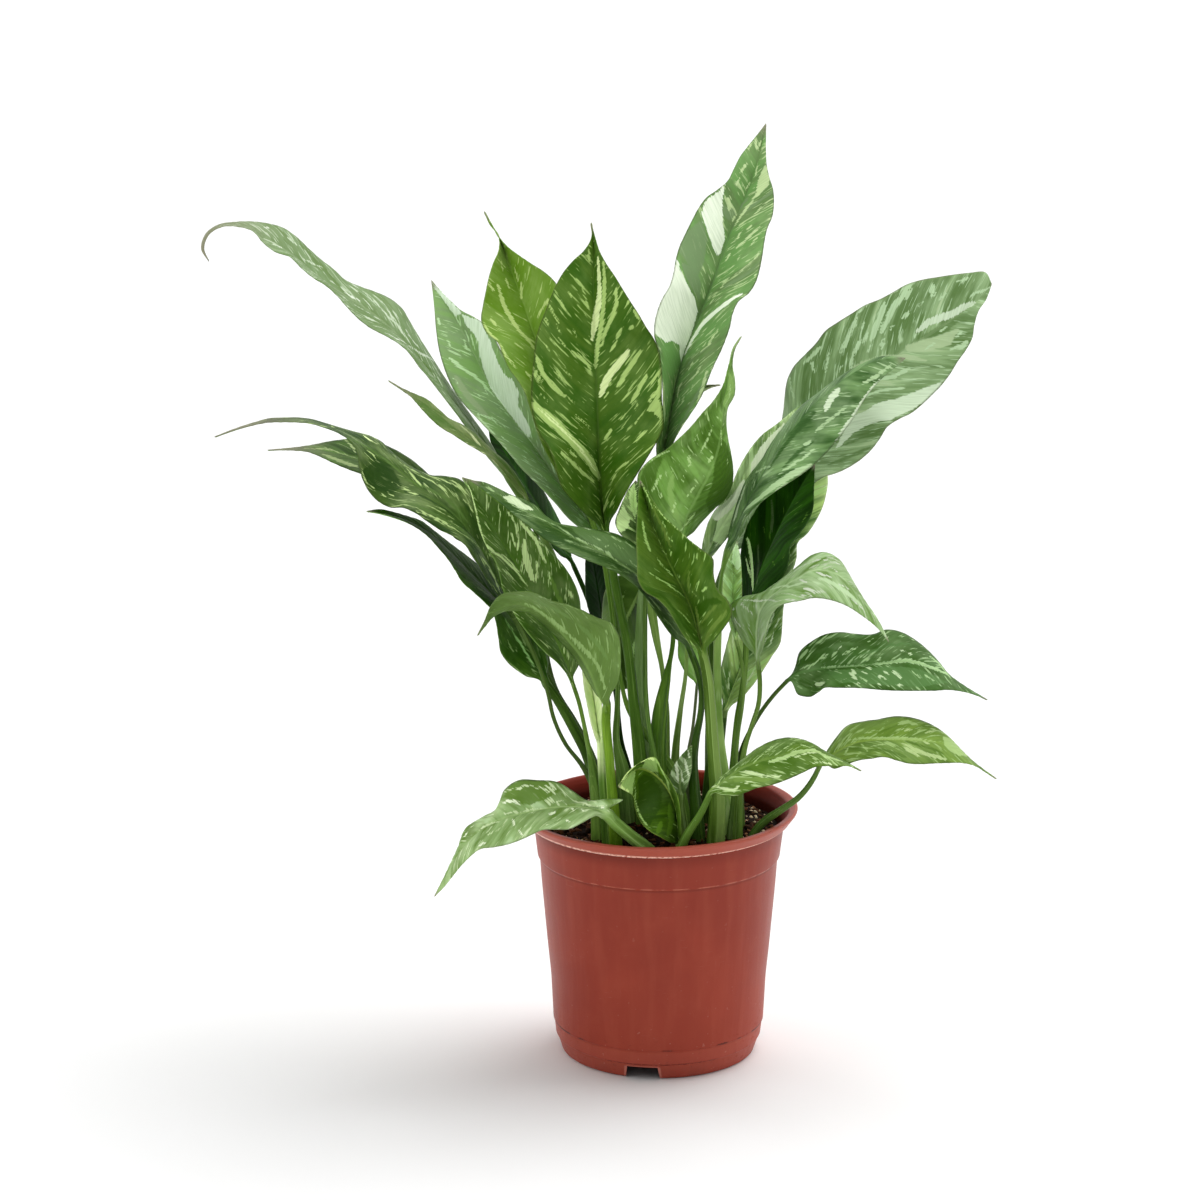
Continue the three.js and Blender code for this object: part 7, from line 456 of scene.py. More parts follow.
        ('p', 0.95, [(0.614, 0.143), (0.646, 0.286), (0.689, 0.347)]),
        ('p', 0.71, [(0.539, 0.204), (0.591, 0.327), (0.643, 0.571)]),
        ('g', 0.0, [(0.721, -0.061), (0.798, 0.122), (0.856, 0.429), (0.805, 0.571), (0.748, 0.286), (0.716, 0.082)]),
        ('d', 0.71, [(0.417, 0.592), (0.462, 0.714), (0.511, 0.939)]),
        ('d', 0.95, [(0.359, 0.755), (0.412, 0.837), (0.466, 0.959)]),
        ('p', 0.57, [(0.641, -0.694), (0.658, -0.776)]),
        ('p', 0.52, [(0.541, -0.408), (0.561, -0.449)]),
        ('p', 0.52, [(0.539, -0.184), (0.558, -0.245)]),
        ('p', 0.57, [(0.629, -0.347), (0.649, -0.408)]),
        ('p', 0.57, [(0.583, -0.184), (0.601, -0.245)]),
        ('p', 0.52, [(0.659, -0.245), (0.679, -0.306)]),
        ('p', 0.52, [(0.75, -0.49), (0.766, -0.531)]),
        ('p', 0.57, [(0.79, -0.551), (0.808, -0.612)]),
        ('p', 0.47, [(0.825, -0.612), (0.841, -0.673)]),
        ('p', 0.52, [(0.815, 0.102), (0.84, 0.102)]),
        ('p', 0.52, [(0.828, 0.531), (0.851, 0.571)]),
        ('p', 0.47, [(0.705, -0.429), (0.72, -0.49)]),
        ('p', 0.47, [(0.751, 0.245), (0.78, 0.265)]),
    ],
    "leaf_right_narrow": [
        ('w', 1.42, [(0.633, 0.286), (0.673, 0.184), (0.721, 0.143)]),
        ('p', 0.71, [(0.349, 0.143), (0.297, -0.469)]),
        ('w', 1.19, [(0.24, -0.653), (0.174, -0.531), (0.095, -0.429)]),
        ('w', 0.95, [(0.586, 0.98), (0.699, 0.98), (0.806, 1.0), (0.875, 0.98)]),
        ('p', 1.9, [(0.462, 0.98), (0.396, 0.857), (0.319, 0.816), (0.232, 0.776), (0.154, 0.531)]),
        ('d', 0.95, [(0.337, 0.163), (0.432, 0.122), (0.524, 0.122), (0.603, 0.122)]),
        ('p', 0.71, [(0.491, 0.49), (0.528, 0.531)]),
        ('p', 0.71, [(0.444, 0.673), (0.349, 0.592)]),
        ('p', 0.71, [(0.805, 0.531), (0.86, 0.714), (0.932, 0.633)]),
        ('p', 0.71, [(0.698, 0.633), (0.626, 0.531), (0.556, 0.449)]),
        ('p', 0.59, [(0.439, 0.694), (0.519, 0.735)]),
        ('p', 0.71, [(0.299, 1.0), (0.349, 1.0)]),
        ('d', 0.95, [(0.376, 0.551), (0.464, 0.51), (0.543, 0.571)]),
    ],
    "leaf_right_pale": [
        ('w', 0.0, [(0.496, -0.265), (0.568, -0.633), (0.658, -0.694), (0.766, -0.714), (0.825, -0.735), (0.758, 0.245), (0.654, 0.327), (0.556, 0.306), (0.477, 0.245)]),
        ('g', 0.0, [(0.139, -0.122), (0.245, -0.612), (0.352, -0.776), (0.452, -0.204), (0.482, 0.327), (0.371, 0.551), (0.247, 0.653), (0.134, 0.857)]),
        ('w', 0.0, [(0.254, -1.0), (0.287, -1.0), (0.347, -0.918), (0.419, -0.714), (0.481, -0.571), (0.456, -0.143), (0.386, -0.122), (0.309, -0.245), (0.237, -0.551), (0.235, -0.878)]),
    ],
    "leaf_left_pale": [
        ('w', 0.0, [(0.858, 0.755), (0.805, 1.0), (0.761, 0.857), (0.718, 0.816), (0.663, 0.735), (0.618, 0.694), (0.591, 0.776), (0.549, 0.653), (0.516, 0.388), (0.462, 0.306), (0.422, 0.204), (0.414, 0.02), (0.446, 0.0), (0.492, 0.02), (0.533, 0.0), (0.573, -0.041), (0.611, -0.041), (0.663, 0.061), (0.715, 0.204), (0.756, 0.429), (0.786, 0.429), (0.82, 0.408)]),
        ('w', 0.0, [(0.997, -1.0), (0.963, 1.0), (0.912, 1.0), (0.863, 0.898), (0.858, 0.245), (0.91, 0.204), (0.958, -0.163)]),
        ('p', 0.95, [(0.748, -0.776), (0.708, -0.571), (0.669, -0.347), (0.634, -0.204), (0.581, -0.122)]),
        ('p', 0.71, [(0.556, -0.898), (0.521, -0.694), (0.481, -0.633)]),
        ('w', 0.95, [(0.481, 0.224), (0.441, 0.061), (0.412, 0.082)]),
        ('p', 0.71, [(0.573, -0.041), (0.529, 0.0), (0.482, 0.061), (0.429, -0.0), (0.372, -0.041)]),
        ('p', 0.95, [(0.139, 0.204), (0.095, -0.122)]),
        ('p', 0.59, [(0.883, 0.367), (0.826, 0.082)]),
        ('p', 0.47, [(0.783, -0.102), (0.75, -0.163)]),
        ('p', 0.47, [(0.783, 0.286), (0.736, 0.122)]),
        ('p', 0.71, [(0.573, -1.0), (0.526, -0.959), (0.469, -0.959)]),
        ('g', 1.9, [(0.688, -0.816), (0.606, -0.776), (0.524, -0.755)]),
        ('p', 0.59, [(0.439, -1.0), (0.384, -1.0)]),
        ('p', 0.59, [(0.322, -0.776), (0.267, -0.612)]),
        ('p', 0.71, [(0.311, 0.163), (0.27, 0.061)]),
        ('g', 1.42, [(0.372, -0.286), (0.289, -0.163), (0.2, -0.102)]),
        ('p', 0.43, [(0.88, -0.816), (0.855, -0.796)]),
        ('p', 0.43, [(0.805, -0.653), (0.781, -0.612)]),
        ('p', 0.47, [(0.806, 0.184), (0.766, 0.041)]),
        ('p', 0.43, [(0.611, -0.531), (0.581, -0.49)]),
        ('p', 0.43, [(0.616, -0.265), (0.591, -0.245)]),
        ('p', 0.47, [(0.494, -0.551), (0.467, -0.49)]),
        ('p', 0.43, [(0.459, -0.837), (0.419, -0.776)]),
        ('w', 0.57, [(0.599, 0.776), (0.558, 0.551), (0.528, 0.408)]),
        ('p', 0.43, [(0.691, -0.898), (0.666, -0.816)]),
        ('p', 0.52, [(0.376, -0.714), (0.349, -0.633)]),
        ('p', 0.47, [(0.379, -0.082), (0.351, -0.082)]),
        ('p', 0.47, [(0.217, 0.061), (0.174, -0.02)]),
        ('p', 0.43, [(0.172, 0.02), (0.139, -0.163)]),
        ('p', 0.47, [(0.255, -0.776), (0.215, -0.816)]),
        ('g', 0.95, [(0.715, 1.0), (0.681, 1.0), (0.649, 1.0)]),
    ],
    "leaf_back_bright": [
        ('p', 1.07, [(0.763, -0.653), (0.705, -0.51), (0.651, -0.388), (0.601, -0.327), (0.543, -0.143)]),
        ('p', 0.59, [(0.776, -0.347), (0.738, -0.286)]),
        ('p', 0.71, [(0.666, -0.796), (0.638, -0.755)]),
        ('p', 0.71, [(0.705, -0.041), (0.753, 0.204)]),
        ('p', 0.83, [(0.576, -1.0), (0.528, -0.918), (0.494, -0.816)]),
        ('p', 0.71, [(0.668, 0.653), (0.633, 0.224)]),
        ('p', 0.71, [(0.666, -0.98), (0.616, -0.959), (0.554, -0.959)]),
        ('p', 0.71, [(0.776, -0.98), (0.743, -0.755)]),
        ('p', 0.71, [(0.481, -0.653), (0.441, -0.612)]),
        ('p', 0.47, [(0.833, -0.51), (0.8, -0.429)]),
        ('p', 0.59, [(0.8, 0.265), (0.758, 0.102)]),
    ],
    "leaf_centre_right": [
        ('g', 0.0, [(0.846, -0.816), (0.775, 0.776), (0.718, 0.857), (0.646, 0.551), (0.671, -0.041), (0.741, 0.122)]),
        ('p', 0.59, [(0.766, 0.204), (0.71, 0.367), (0.663, 0.082)]),
        ('d', 0.0, [(0.513, -0.163), (0.516, 0.224), (0.462, 0.939), (0.356, 0.98), (0.26, 0.959), (0.18, 0.837), (0.229, 0.306), (0.327, 0.184), (0.417, -0.02)]),
        ('d', 0.0, [(0.322, -0.959), (0.367, -0.959), (0.414, -0.959), (0.434, -0.878), (0.374, -0.776), (0.317, -0.735), (0.267, -0.816), (0.259, -0.898), (0.292, -0.939)]),
        ('p', 0.47, [(0.314, -1.0), (0.357, -1.0), (0.406, -0.98), (0.446, -0.959), (0.467, -0.898)]),
        ('p', 0.62, [(0.264, -0.776), (0.301, -0.714), (0.336, -0.673)]),
        ('p', 0.52, [(0.583, -0.306), (0.516, -0.306), (0.454, -0.306)]),
        ('p', 0.52, [(0.441, -0.061), (0.397, -0.102)]),
        ('p', 0.47, [(0.558, -0.02), (0.486, 0.102)]),
        ('p', 0.47, [(0.441, 0.531), (0.414, 0.551)]),
        ('p', 0.62, [(0.439, -0.469), (0.372, -0.327)]),
        ('p', 0.43, [(0.337, -0.347), (0.306, -0.327)]),
        ('p', 0.52, [(0.259, -0.653), (0.237, -0.633)]),
        ('p', 0.43, [(0.292, -0.122), (0.227, -0.204)]),
        ('p', 0.43, [(0.573, -0.673), (0.521, -0.592)]),
        ('p', 0.47, [(0.22, -0.367), (0.165, -0.449)]),
        ('p', 0.57, [(0.16, 0.245), (0.097, 0.061), (0.073, -0.204)]),
        ('g', 1.19, [(0.356, -0.551), (0.267, -0.49), (0.174, -0.408), (0.102, -0.204)]),
    ],
    "leaf_young_sliver": [
        ('w', 0.0, [(0.922, -1.0), (1.0, -0.388), (0.785, 1.0), (0.684, 0.816), (0.746, 0.143), (0.781, -0.469)]),
        ('d', 0.38, [(0.72, -0.551), (0.676, 0.184), (0.624, 0.796)]),
    ],
    "leaf_right_shaded": [
        ('w', 1.19, [(0.446, -0.878), (0.382, -0.633), (0.302, -0.429), (0.24, -0.245), (0.189, -0.02)]),
        ('w', 0.71, [(0.352, -0.796), (0.294, -0.633), (0.247, -0.388)]),
        ('g', 0.76, [(0.686, -0.755), (0.621, -0.408), (0.534, -0.163)]),
        ('g', 0.71, [(0.434, -0.449), (0.332, -0.163), (0.224, 0.102)]),
        ('p', 0.38, [(0.389, 0.327), (0.362, 0.531)]),
        ('p', 0.43, [(0.506, 1.0), (0.421, 0.98), (0.347, 0.98)]),
        ('p', 0.36, [(0.546, -0.551), (0.499, -0.286)]),
        ('p', 0.38, [(0.721, 0.837), (0.658, 0.816)]),
        ('p', 0.33, [(0.407, 0.673), (0.442, 0.816)]),
    ],
    "leaf_right_back": [
        ('w', 0.47, [(0.394, 0.673), (0.326, 0.51), (0.265, 0.551)]),
        ('w', 0.43, [(0.392, 0.918), (0.332, 0.735), (0.265, 0.755)]),
        ('w', 0.43, [(0.442, 0.939), (0.399, 0.571), (0.362, 0.306)]),
        ('w', 0.57, [(0.192, 0.694), (0.144, 0.694), (0.102, 0.735)]),
        ('d', 0.43, [(0.381, 0.429), (0.321, 0.367), (0.274, 0.429)]),
        ('d', 0.38, [(0.426, 0.816), (0.362, 0.551)]),
        ('d', 0.95, [(0.568, -0.306), (0.628, -0.184), (0.673, 0.041)]),
        ('d', 0.71, [(0.085, -0.041), (0.16, -0.122), (0.235, -0.143)]),
        ('p', 0.71, [(0.045, -0.061), (0.124, -0.02), (0.2, -0.02)]),
    ],
    "leaf_front_dark": [
        ('p', 0.81, [(0.786, -0.694), (0.74, -0.673), (0.686, -0.633), (0.624, -0.551)]),
        ('p', 0.43, [(0.978, 0.551), (0.907, 0.673), (0.845, 0.571)]),
        ('p', 0.57, [(0.477, -0.571), (0.434, -0.388), (0.371, -0.306), (0.314, -0.122)]),
        ('p', 0.43, [(0.588, -0.388), (0.539, -0.306), (0.489, -0.163), (0.454, -0.102)]),
        ('p', 0.43, [(0.613, -0.102), (0.576, 0.041)]),
        ('p', 0.43, [(0.74, -0.102), (0.713, -0.02)]),
        ('p', 0.36, [(0.861, 0.837), (0.828, 0.939), (0.751, 0.98), (0.678, 1.0), (0.629, 1.0), (0.573, 0.959), (0.514, 0.98)]),
        ('p', 0.38, [(0.514, -0.694), (0.474, -0.51)]),
        ('p', 0.38, [(0.674, 0.449), (0.644, 0.551)]),
        ('p', 0.38, [(0.606, 0.245), (0.566, 0.163)]),
        ('p', 0.38, [(0.663, -0.041), (0.636, -0.0)]),
        ('p', 0.33, [(0.773, 0.714), (0.723, 0.592)]),
        ('g', 0.81, [(0.466, 0.408), (0.404, 0.306), (0.349, 0.184)]),
        ('p', 0.52, [(0.359, 0.327), (0.329, 0.347)]),
        ('p', 0.47, [(0.407, 0.612), (0.357, 0.429)]),
        ('p', 0.47, [(0.356, 0.592), (0.379, 0.796)]),
        ('d', 0.0, [(0.277, 0.224), (0.309, 0.51), (0.316, 0.796), (0.279, 0.878), (0.27, 0.551), (0.23, 0.286)]),
        ('g', 0.71, [(0.275, 0.714), (0.23, 0.449), (0.177, 0.224)]),
        ('g', 1.04, [(0.235, 0.878), (0.175, 0.694), (0.12, 0.531), (0.065, 0.347)]),
        ('g', 0.95, [(0.265, 0.163), (0.16, 0.102), (0.05, 0.02)]),
        ('p', 0.28, [(0.154, -0.796), (0.065, -0.918), (0.02, -0.857)]),
        ('p', 0.28, [(0.267, -0.673), (0.165, -0.347)]),
        ('g', 1.19, [(0.845, 0.673), (0.743, 0.51), (0.623, 0.327)]),
        ('d', 1.19, [(0.401, -0.796), (0.295, -0.816), (0.164, -0.735)]),
    ],
    "leaf_left_long": [
        ('w', 0.0, [(0.87, -0.122), (0.85, -0.878), (0.813, -0.531), (0.753, -0.306), (0.788, 0.122), (0.843, 0.265)]),
        ('p', 0.52, [(0.863, 0.286), (0.793, 0.306), (0.72, -0.0), (0.659, -0.245), (0.611, -0.082), (0.559, -0.061), (0.482, -0.082), (0.432, -0.041), (0.369, 0.102), (0.299, 0.347)]),
        ('g', 0.0, [(0.639, -0.796), (0.558, -0.898), (0.477, -0.796), (0.386, -0.837), (0.331, -0.143), (0.389, -0.122), (0.454, -0.122), (0.524, -0.122), (0.588, -0.286)]),
        ('g', 0.0, [(0.863, -0.367), (0.773, -0.449), (0.701, -0.816), (0.648, -0.694), (0.671, -0.082), (0.741, 0.061), (0.816, 0.122)]),
        ('p', 0.52, [(0.462, -0.122), (0.439, -0.082)]),
        ('p', 0.62, [(0.482, -0.776), (0.442, -0.714)]),
        ('p', 0.43, [(0.476, -0.224), (0.469, -0.367)]),
        ('w', 0.43, [(0.639, -0.939), (0.594, -1.0), (0.554, -0.837)]),
        ('p', 0.43, [(0.382, -0.286), (0.346, -0.224)]),
        ('p', 0.47, [(0.461, -0.49), (0.421, -0.49)]),
        ('p', 0.38, [(0.442, -0.816), (0.399, -0.776)]),
        ('p', 0.52, [(0.346, -0.347), (0.329, -0.306)]),
        ('d', 1.42, [(0.781, 0.714), (0.673, 0.673), (0.554, 0.592), (0.441, 0.531), (0.322, 0.347), (0.217, -0.082)]),
        ('d', 0.95, [(0.486, -0.98), (0.436, -0.918), (0.391, -0.918)]),
        ('p', 0.38, [(0.541, -0.49), (0.497, -0.367)]),
        ('p', 0.33, [(0.364, 0.51), (0.329, 0.551)]),
        ('p', 0.38, [(0.416, 0.673), (0.389, 0.755)]),
        ('p', 0.71, [(0.938, -0.163), (0.907, -0.082)]),
    ],
    "leaf_left_streaked": [
        ('p', 0.57, [(0.978, -0.0), (0.937, -1.0), (0.891, -1.0), (0.84, -0.918), (0.78, -0.959), (0.731, -1.0), (0.688, -1.0), (0.651, -0.918)]),
        ('p', 0.38, [(0.8, 0.531), (0.77, 0.408)]),
        ('p', 0.43, [(0.788, -0.551), (0.743, -0.388)]),
        ('p', 1.04, [(0.703, 0.857), (0.656, 0.878), (0.618, 0.878), (0.579, 0.796), (0.544, 0.714), (0.514, 0.653)]),
        ('p', 0.62, [(0.738, 0.755), (0.686, 0.592), (0.649, 0.449), (0.616, 0.245)]),
        ('p', 0.52, [(0.689, 0.388), (0.656, 0.306), (0.634, 0.265)]),
        ('p', 1.66, [(0.636, 0.592), (0.598, 0.388), (0.553, 0.286), (0.509, 0.204), (0.479, 0.163)]),
        ('p', 0.52, [(0.541, 0.51), (0.496, 0.347), (0.459, 0.184)]),
        ('p', 0.71, [(0.581, 0.776), (0.553, 0.694)]),
        ('p', 0.47, [(0.765, 0.714), (0.726, 0.714)]),
        ('p', 1.09, [(0.703, -1.0), (0.646, -0.816), (0.591, -0.469), (0.531, -0.163), (0.461, -0.0)]),
        ('p', 0.57, [(0.646, -0.673), (0.589, -0.286), (0.531, -0.061)]),
        ('p', 0.71, [(0.571, -0.796), (0.533, -0.612), (0.503, -0.469)]),
        ('p', 0.38, [(0.387, 0.755), (0.346, 0.735)]),
        ('p', 0.36, [(0.372, 0.837), (0.326, 0.796)]),
        ('p', 0.43, [(0.357, 0.633), (0.329, 0.612)]),
        ('p', 0.38, [(0.494, 1.0), (0.466, 0.918)]),
        ('p', 0.47, [(0.619, 1.0), (0.573, 0.918)]),
        ('p', 0.38, [(0.482, 0.612), (0.427, 0.469)]),
        ('p', 0.43, [(0.571, 0.184), (0.518, 0.0)]),
        ('p', 0.38, [(0.381, 0.143), (0.327, 0.102)]),
        ('p', 0.38, [(0.316, 0.265), (0.27, 0.265)]),
        ('g', 0.95, [(0.928, 0.796), (0.863, 0.673), (0.808, 0.694)]),
        ('g', 1.19, [(0.462, 0.551), (0.376, 0.49), (0.287, 0.51)]),
    ],
    "leaf_left_arching": [
        ('p', 0.66, [(0.461, -1.0), (0.417, -0.755), (0.384, -0.714), (0.351, -0.694), (0.324, -0.735), (0.299, -0.776)]),
        ('p', 0.47, [(0.466, -0.429), (0.422, -0.51), (0.382, -0.449)]),
        ('p', 0.38, [(0.387, -0.755), (0.354, -0.816), (0.322, -0.816)]),
        ('p', 0.43, [(0.374, 1.0), (0.301, 0.694), (0.235, 0.592), (0.179, 0.122)]),
        ('p', 0.85, [(0.162, 0.531), (0.13, 0.245), (0.104, 0.224), (0.077, 0.551)]),
        ('p', 0.52, [(0.312, -0.51), (0.289, -0.551), (0.27, -0.49)]),
        ('p', 0.43, [(0.576, 0.347), (0.556, 0.245), (0.538, 0.286)]),
        ('p', 0.43, [(0.554, 0.939), (0.526, 0.939), (0.497, 0.878), (0.472, 0.816), (0.454, 0.796)]),
        ('p', 0.47, [(0.472, 0.408), (0.447, 0.327), (0.416, 0.327), (0.386, 0.327)]),
        ('p', 0.38, [(0.464, 0.673), (0.442, 0.673)]),
        ('p', 0.71, [(0.474, -0.408), (0.436, -0.184), (0.412, -0.102)]),
        ('p', 0.76, [(0.499, -0.469), (0.466, -0.571), (0.441, -0.653)]),
        ('p', 0.38, [(0.694, -0.245), (0.649, 0.143), (0.611, 0.041)]),
        ('p', 0.47, [(0.17, -0.102), (0.132, -0.49), (0.093, -1.0), (0.058, -1.0)]),
        ('p', 0.47, [(0.411, 0.878), (0.342, 0.796), (0.28, 0.592)]),
        ('p', 0.52, [(0.124, 0.388), (0.095, 0.286), (0.067, 0.531)]),
        ('w', 0.62, [(0.621, -0.571), (0.593, -0.347), (0.569, -0.388)]),
        ('g', 0.95, [(0.462, 0.122), (0.412, -0.102), (0.356, -0.184), (0.307, -0.184), (0.26, -0.143)]),
        ('g', 1.19, [(0.412, 0.837), (0.336, 0.653), (0.262, 0.51), (0.2, 0.184), (0.152, -0.265), (0.09, -1.0)]),
        ('g', 0.95, [(0.653, 1.0), (0.586, 0.184), (0.523, 0.02), (0.466, -0.0)]),
        ('d', 1.04, [(0.429, 0.388), (0.361, 0.224), (0.302, 0.082), (0.25, 0.041), (0.195, -0.02)]),
        ('d', 0.0, [(0.553, 1.0), (0.544, 0.388), (0.492, 0.102), (0.441, 0.306), (0.457, 0.673), (0.497, 0.878)]),
    ],
    "leaf_left_under": [
        ('d', 0.71, [(0.87, -0.816), (0.791, -0.837), (0.711, -0.878), (0.673, -0.898)]),
        ('d', 0.52, [(0.765, -0.714), (0.693, -0.327), (0.631, -0.163)]),
        ('p', 1.19, [(0.761, 0.653), (0.678, 0.694), (0.601, 0.694)]),
        ('p', 0.43, [(0.843, -0.061), (0.74, -0.143), (0.624, 0.122)]),
        ('p', 0.47, [(0.698, -0.939), (0.659, -0.49), (0.636, -0.204)]),
    ],
    "leaf_left_low": [
        ('p', 1.09, [(0.326, -0.184), (0.275, -0.102), (0.224, -0.0), (0.172, 0.102)]),
        ('g', 0.62, [(0.306, 0.449), (0.249, 0.306), (0.179, 0.245), (0.088, 0.306)]),
        ('p', 0.47, [(0.189, 0.49), (0.172, 0.51)]),
        ('p', 0.43, [(0.716, 0.816), (0.686, 0.469)]),
        ('g', 0.71, [(0.187, 0.0), (0.12, -0.041), (0.058, 0.041)]),
        ('p', 0.36, [(0.234, 0.653), (0.182, 0.633)]),
        ('p', 0.33, [(0.162, -1.0), (0.119, -1.0)]),
    ],
    "leaf_front_arching": [
        ('w', 0.52, [(0.643, -0.776), (0.618, -0.959), (0.596, -1.0)]),
        ('p', 0.66, [(0.683, -0.082), (0.598, -0.02), (0.521, -0.041), (0.454, -0.061), (0.401, -0.082)]),
        ('p', 0.81, [(0.401, -0.082), (0.295, -0.102), (0.19, -0.204), (0.08, -0.224)]),
        ('p', 0.43, [(0.609, -0.776), (0.548, -0.857), (0.499, -0.959), (0.462, -0.918), (0.414, -0.796)]),
        ('g', 1.42, [(0.806, -0.735), (0.715, -0.429), (0.594, -0.449), (0.461, -0.449)]),
        ('p', 0.47, [(0.24, -0.918), (0.199, -0.939)]),
        ('p', 0.43, [(0.165, -0.857), (0.149, -0.878)]),
        ('g', 1.19, [(0.429, -0.449), (0.317, -0.388), (0.204, -0.51)]),
        ('d', 0.95, [(0.396, -0.755), (0.312, -0.776), (0.225, -0.837)]),
        ('p', 0.38, [(0.307, -0.469), (0.267, -0.449)]),
        ('p', 0.36, [(0.332, -0.796), (0.297, -0.735)]),
    ],
    "leaf_young_rolled": [
        ('p', 1.42, [(0.913, 0.714), (0.721, 0.163), (0.416, 0.408)]),
        ('d', 0.38, [(0.99, -1.0), (0.871, -1.0), (0.743, -1.0)]),
        ('d', 0.33, [(0.86, -1.0), (0.618, -0.551), (0.424, -0.245)]),
    ],
    "leaf_inner_hanging": [
        ('p', 0.95, [(0.035, 0.184), (0.159, 0.041), (0.282, 0.02), (0.441, 0.0)]),
        ('g', 0.95, [(0.22, -1.0), (0.319, -0.673), (0.414, -0.327)]),
        ('p', 0.47, [(0.347, 0.653), (0.441, 0.796)]),
        ('p', 0.38, [(0.361, -0.694), (0.389, -0.551)]),
        ('g', 1.19, [(0.471, 0.653), (0.656, 0.571), (0.826, 0.653)]),
        ('p', 0.38, [(0.175, -0.469), (0.26, -0.347)]),
        ('d', 1.19, [(0.606, 0.224), (0.796, 0.163), (0.963, 0.531)]),
    ],
    "leaf_over_rim": [
        ('d', 0.0, [(0.534, -1.0), (0.491, -0.98), (0.426, -0.98), (0.361, -0.939), (0.292, -0.735), (0.332, -0.347), (0.387, -0.224), (0.459, -0.347), (0.513, -0.633)]),
        ('p', 0.43, [(0.523, -0.898), (0.454, -0.735)]),
        ('p', 0.38, [(0.457, -0.857), (0.401, -0.796), (0.337, -0.592)]),
        ('p', 0.43, [(0.366, -0.837), (0.326, -0.633), (0.301, -0.531)]),
        ('p', 0.38, [(0.356, -0.918), (0.316, -0.714)]),
        ('p', 0.66, [(0.629, -0.082), (0.568, 0.0), (0.529, 0.061)]),
        ('p', 0.43, [(0.319, 0.837), (0.277, 0.755)]),
        ('p', 0.43, [(0.523, -0.163), (0.424, -0.061), (0.302, -0.02)]),
        ('p', 0.62, [(0.21, -0.51), (0.105, -0.102), (0.077, -0.449)]),
        ('p', 0.43, [(0.708, -0.694), (0.678, -0.653)]),
        ('p', 0.47, [(0.599, 0.429), (0.556, 0.388)]),
        ('p', 0.43, [(0.376, 0.143), (0.354, 0.061)]),
        ('p', 0.47, [(0.274, -0.245), (0.249, -0.388)]),
        ('w', 0.66, [(0.526, -0.551), (0.492, -0.469), (0.466, -0.429), (0.434, -0.265)]),
        ('w', 0.62, [(0.459, 0.163), (0.467, 0.469)]),
        ('w', 1.04, [(0.289, 0.367), (0.264, 0.265)]),
        ('w', 0.71, [(0.18, 0.143), (0.172, 0.245)]),
        ('w', 0.52, [(0.134, 0.204), (0.124, 0.347)]),
        ('w', 0.52, [(0.212, 0.633), (0.194, 0.755)]),
        ('w', 0.71, [(0.73, -0.469), (0.708, -0.49)]),
        ('w', 0.71, [(0.661, 0.837), (0.624, 0.714)]),
        ('w', 0.47, [(0.451, 0.673), (0.441, 0.918)]),
        ('w', 0.47, [(0.062, -0.143), (0.068, -0.327)]),
    ],
    "leaf_front_curled": [
        ('p', 1.09, [(0.952, -0.429), (0.891, -0.082), (0.825, -0.0), (0.763, 0.184), (0.683, 0.204), (0.583, 0.224), (0.479, 0.306), (0.397, 0.245), (0.341, 0.102)]),
        ('p', 0.76, [(0.377, 0.286), (0.29, 0.286), (0.182, 0.327), (0.022, 0.51)]),
        ('w', 0.71, [(0.988, -0.102), (0.935, -1.0), (0.863, -1.0)]),
        ('p', 0.0, [(0.988, -0.796), (0.92, 1.0), (0.846, 0.469), (0.8, -0.163), (0.818, -0.612), (0.798, -1.0), (0.902, -1.0)]),
        ('p', 0.0, [(0.753, 0.041), (0.733, 1.0), (0.681, 1.0), (0.629, 0.898), (0.584, 0.551), (0.659, -0.0)]),
        ('d', 0.0, [(0.776, -0.408), (0.715, -0.143), (0.629, -0.122), (0.514, -0.163), (0.442, -0.367), (0.411, -0.612), (0.384, -0.918), (0.489, -0.918), (0.654, -0.898)]),
        ('g', 2.14, [(0.372, -0.204), (0.264, -0.327), (0.164, -0.776)]),
        ('g', 1.66, [(0.326, -0.633), (0.267, -0.918)]),
        ('w', 0.52, [(0.71, 0.918), (0.659, 0.939)]),
        ('w', 0.47, [(0.958, 0.755), (0.888, 0.49)]),
        ('p', 0.38, [(0.793, -0.653), (0.725, -0.959), (0.579, -0.939), (0.431, -0.939), (0.284, -1.0)]),
        ('p', 1.19, [(0.659, 0.939), (0.579, 1.0), (0.481, 0.837), (0.412, 0.143)]),
        ('p', 1.04, [(0.412, 0.143), (0.302, 0.041), (0.192, -0.0), (0.043, 0.531)]),
        ('g', 2.38, [(0.9, 0.531), (0.818, 0.592), (0.72, 0.551)]),
        ('g', 1.9, [(0.72, 0.551), (0.641, 0.612), (0.528, 0.918)]),
        ('w', 0.57, [(0.945, 1.0), (0.875, 0.959), (0.803, 1.0)]),
        ('w', 0.52, [(0.768, 1.0), (0.708, 1.0), (0.649, 0.816)]),
    ],
    "leaf_front_right_low": [
        ('p', 0.52, [(0.082, -1.0), (0.15, -0.51), (0.224, -0.755), (0.29, -0.939)]),
        ('p', 1.19, [(0.417, 0.143), (0.511, 0.143), (0.606, -0.041), (0.691, -0.143), (0.765, 0.122), (0.866, 0.143)]),
        ('p', 0.43, [(0.307, 0.041), (0.377, -0.224), (0.446, -0.571), (0.496, -0.714)]),
        ('p', 0.43, [(0.519, -0.265), (0.586, -0.592)]),
        ('p', 0.43, [(0.336, 0.143), (0.357, 0.082)]),
        ('p', 0.38, [(0.609, -0.531), (0.679, -0.306)]),
        ('p', 0.38, [(0.396, -0.163), (0.466, -0.327)]),
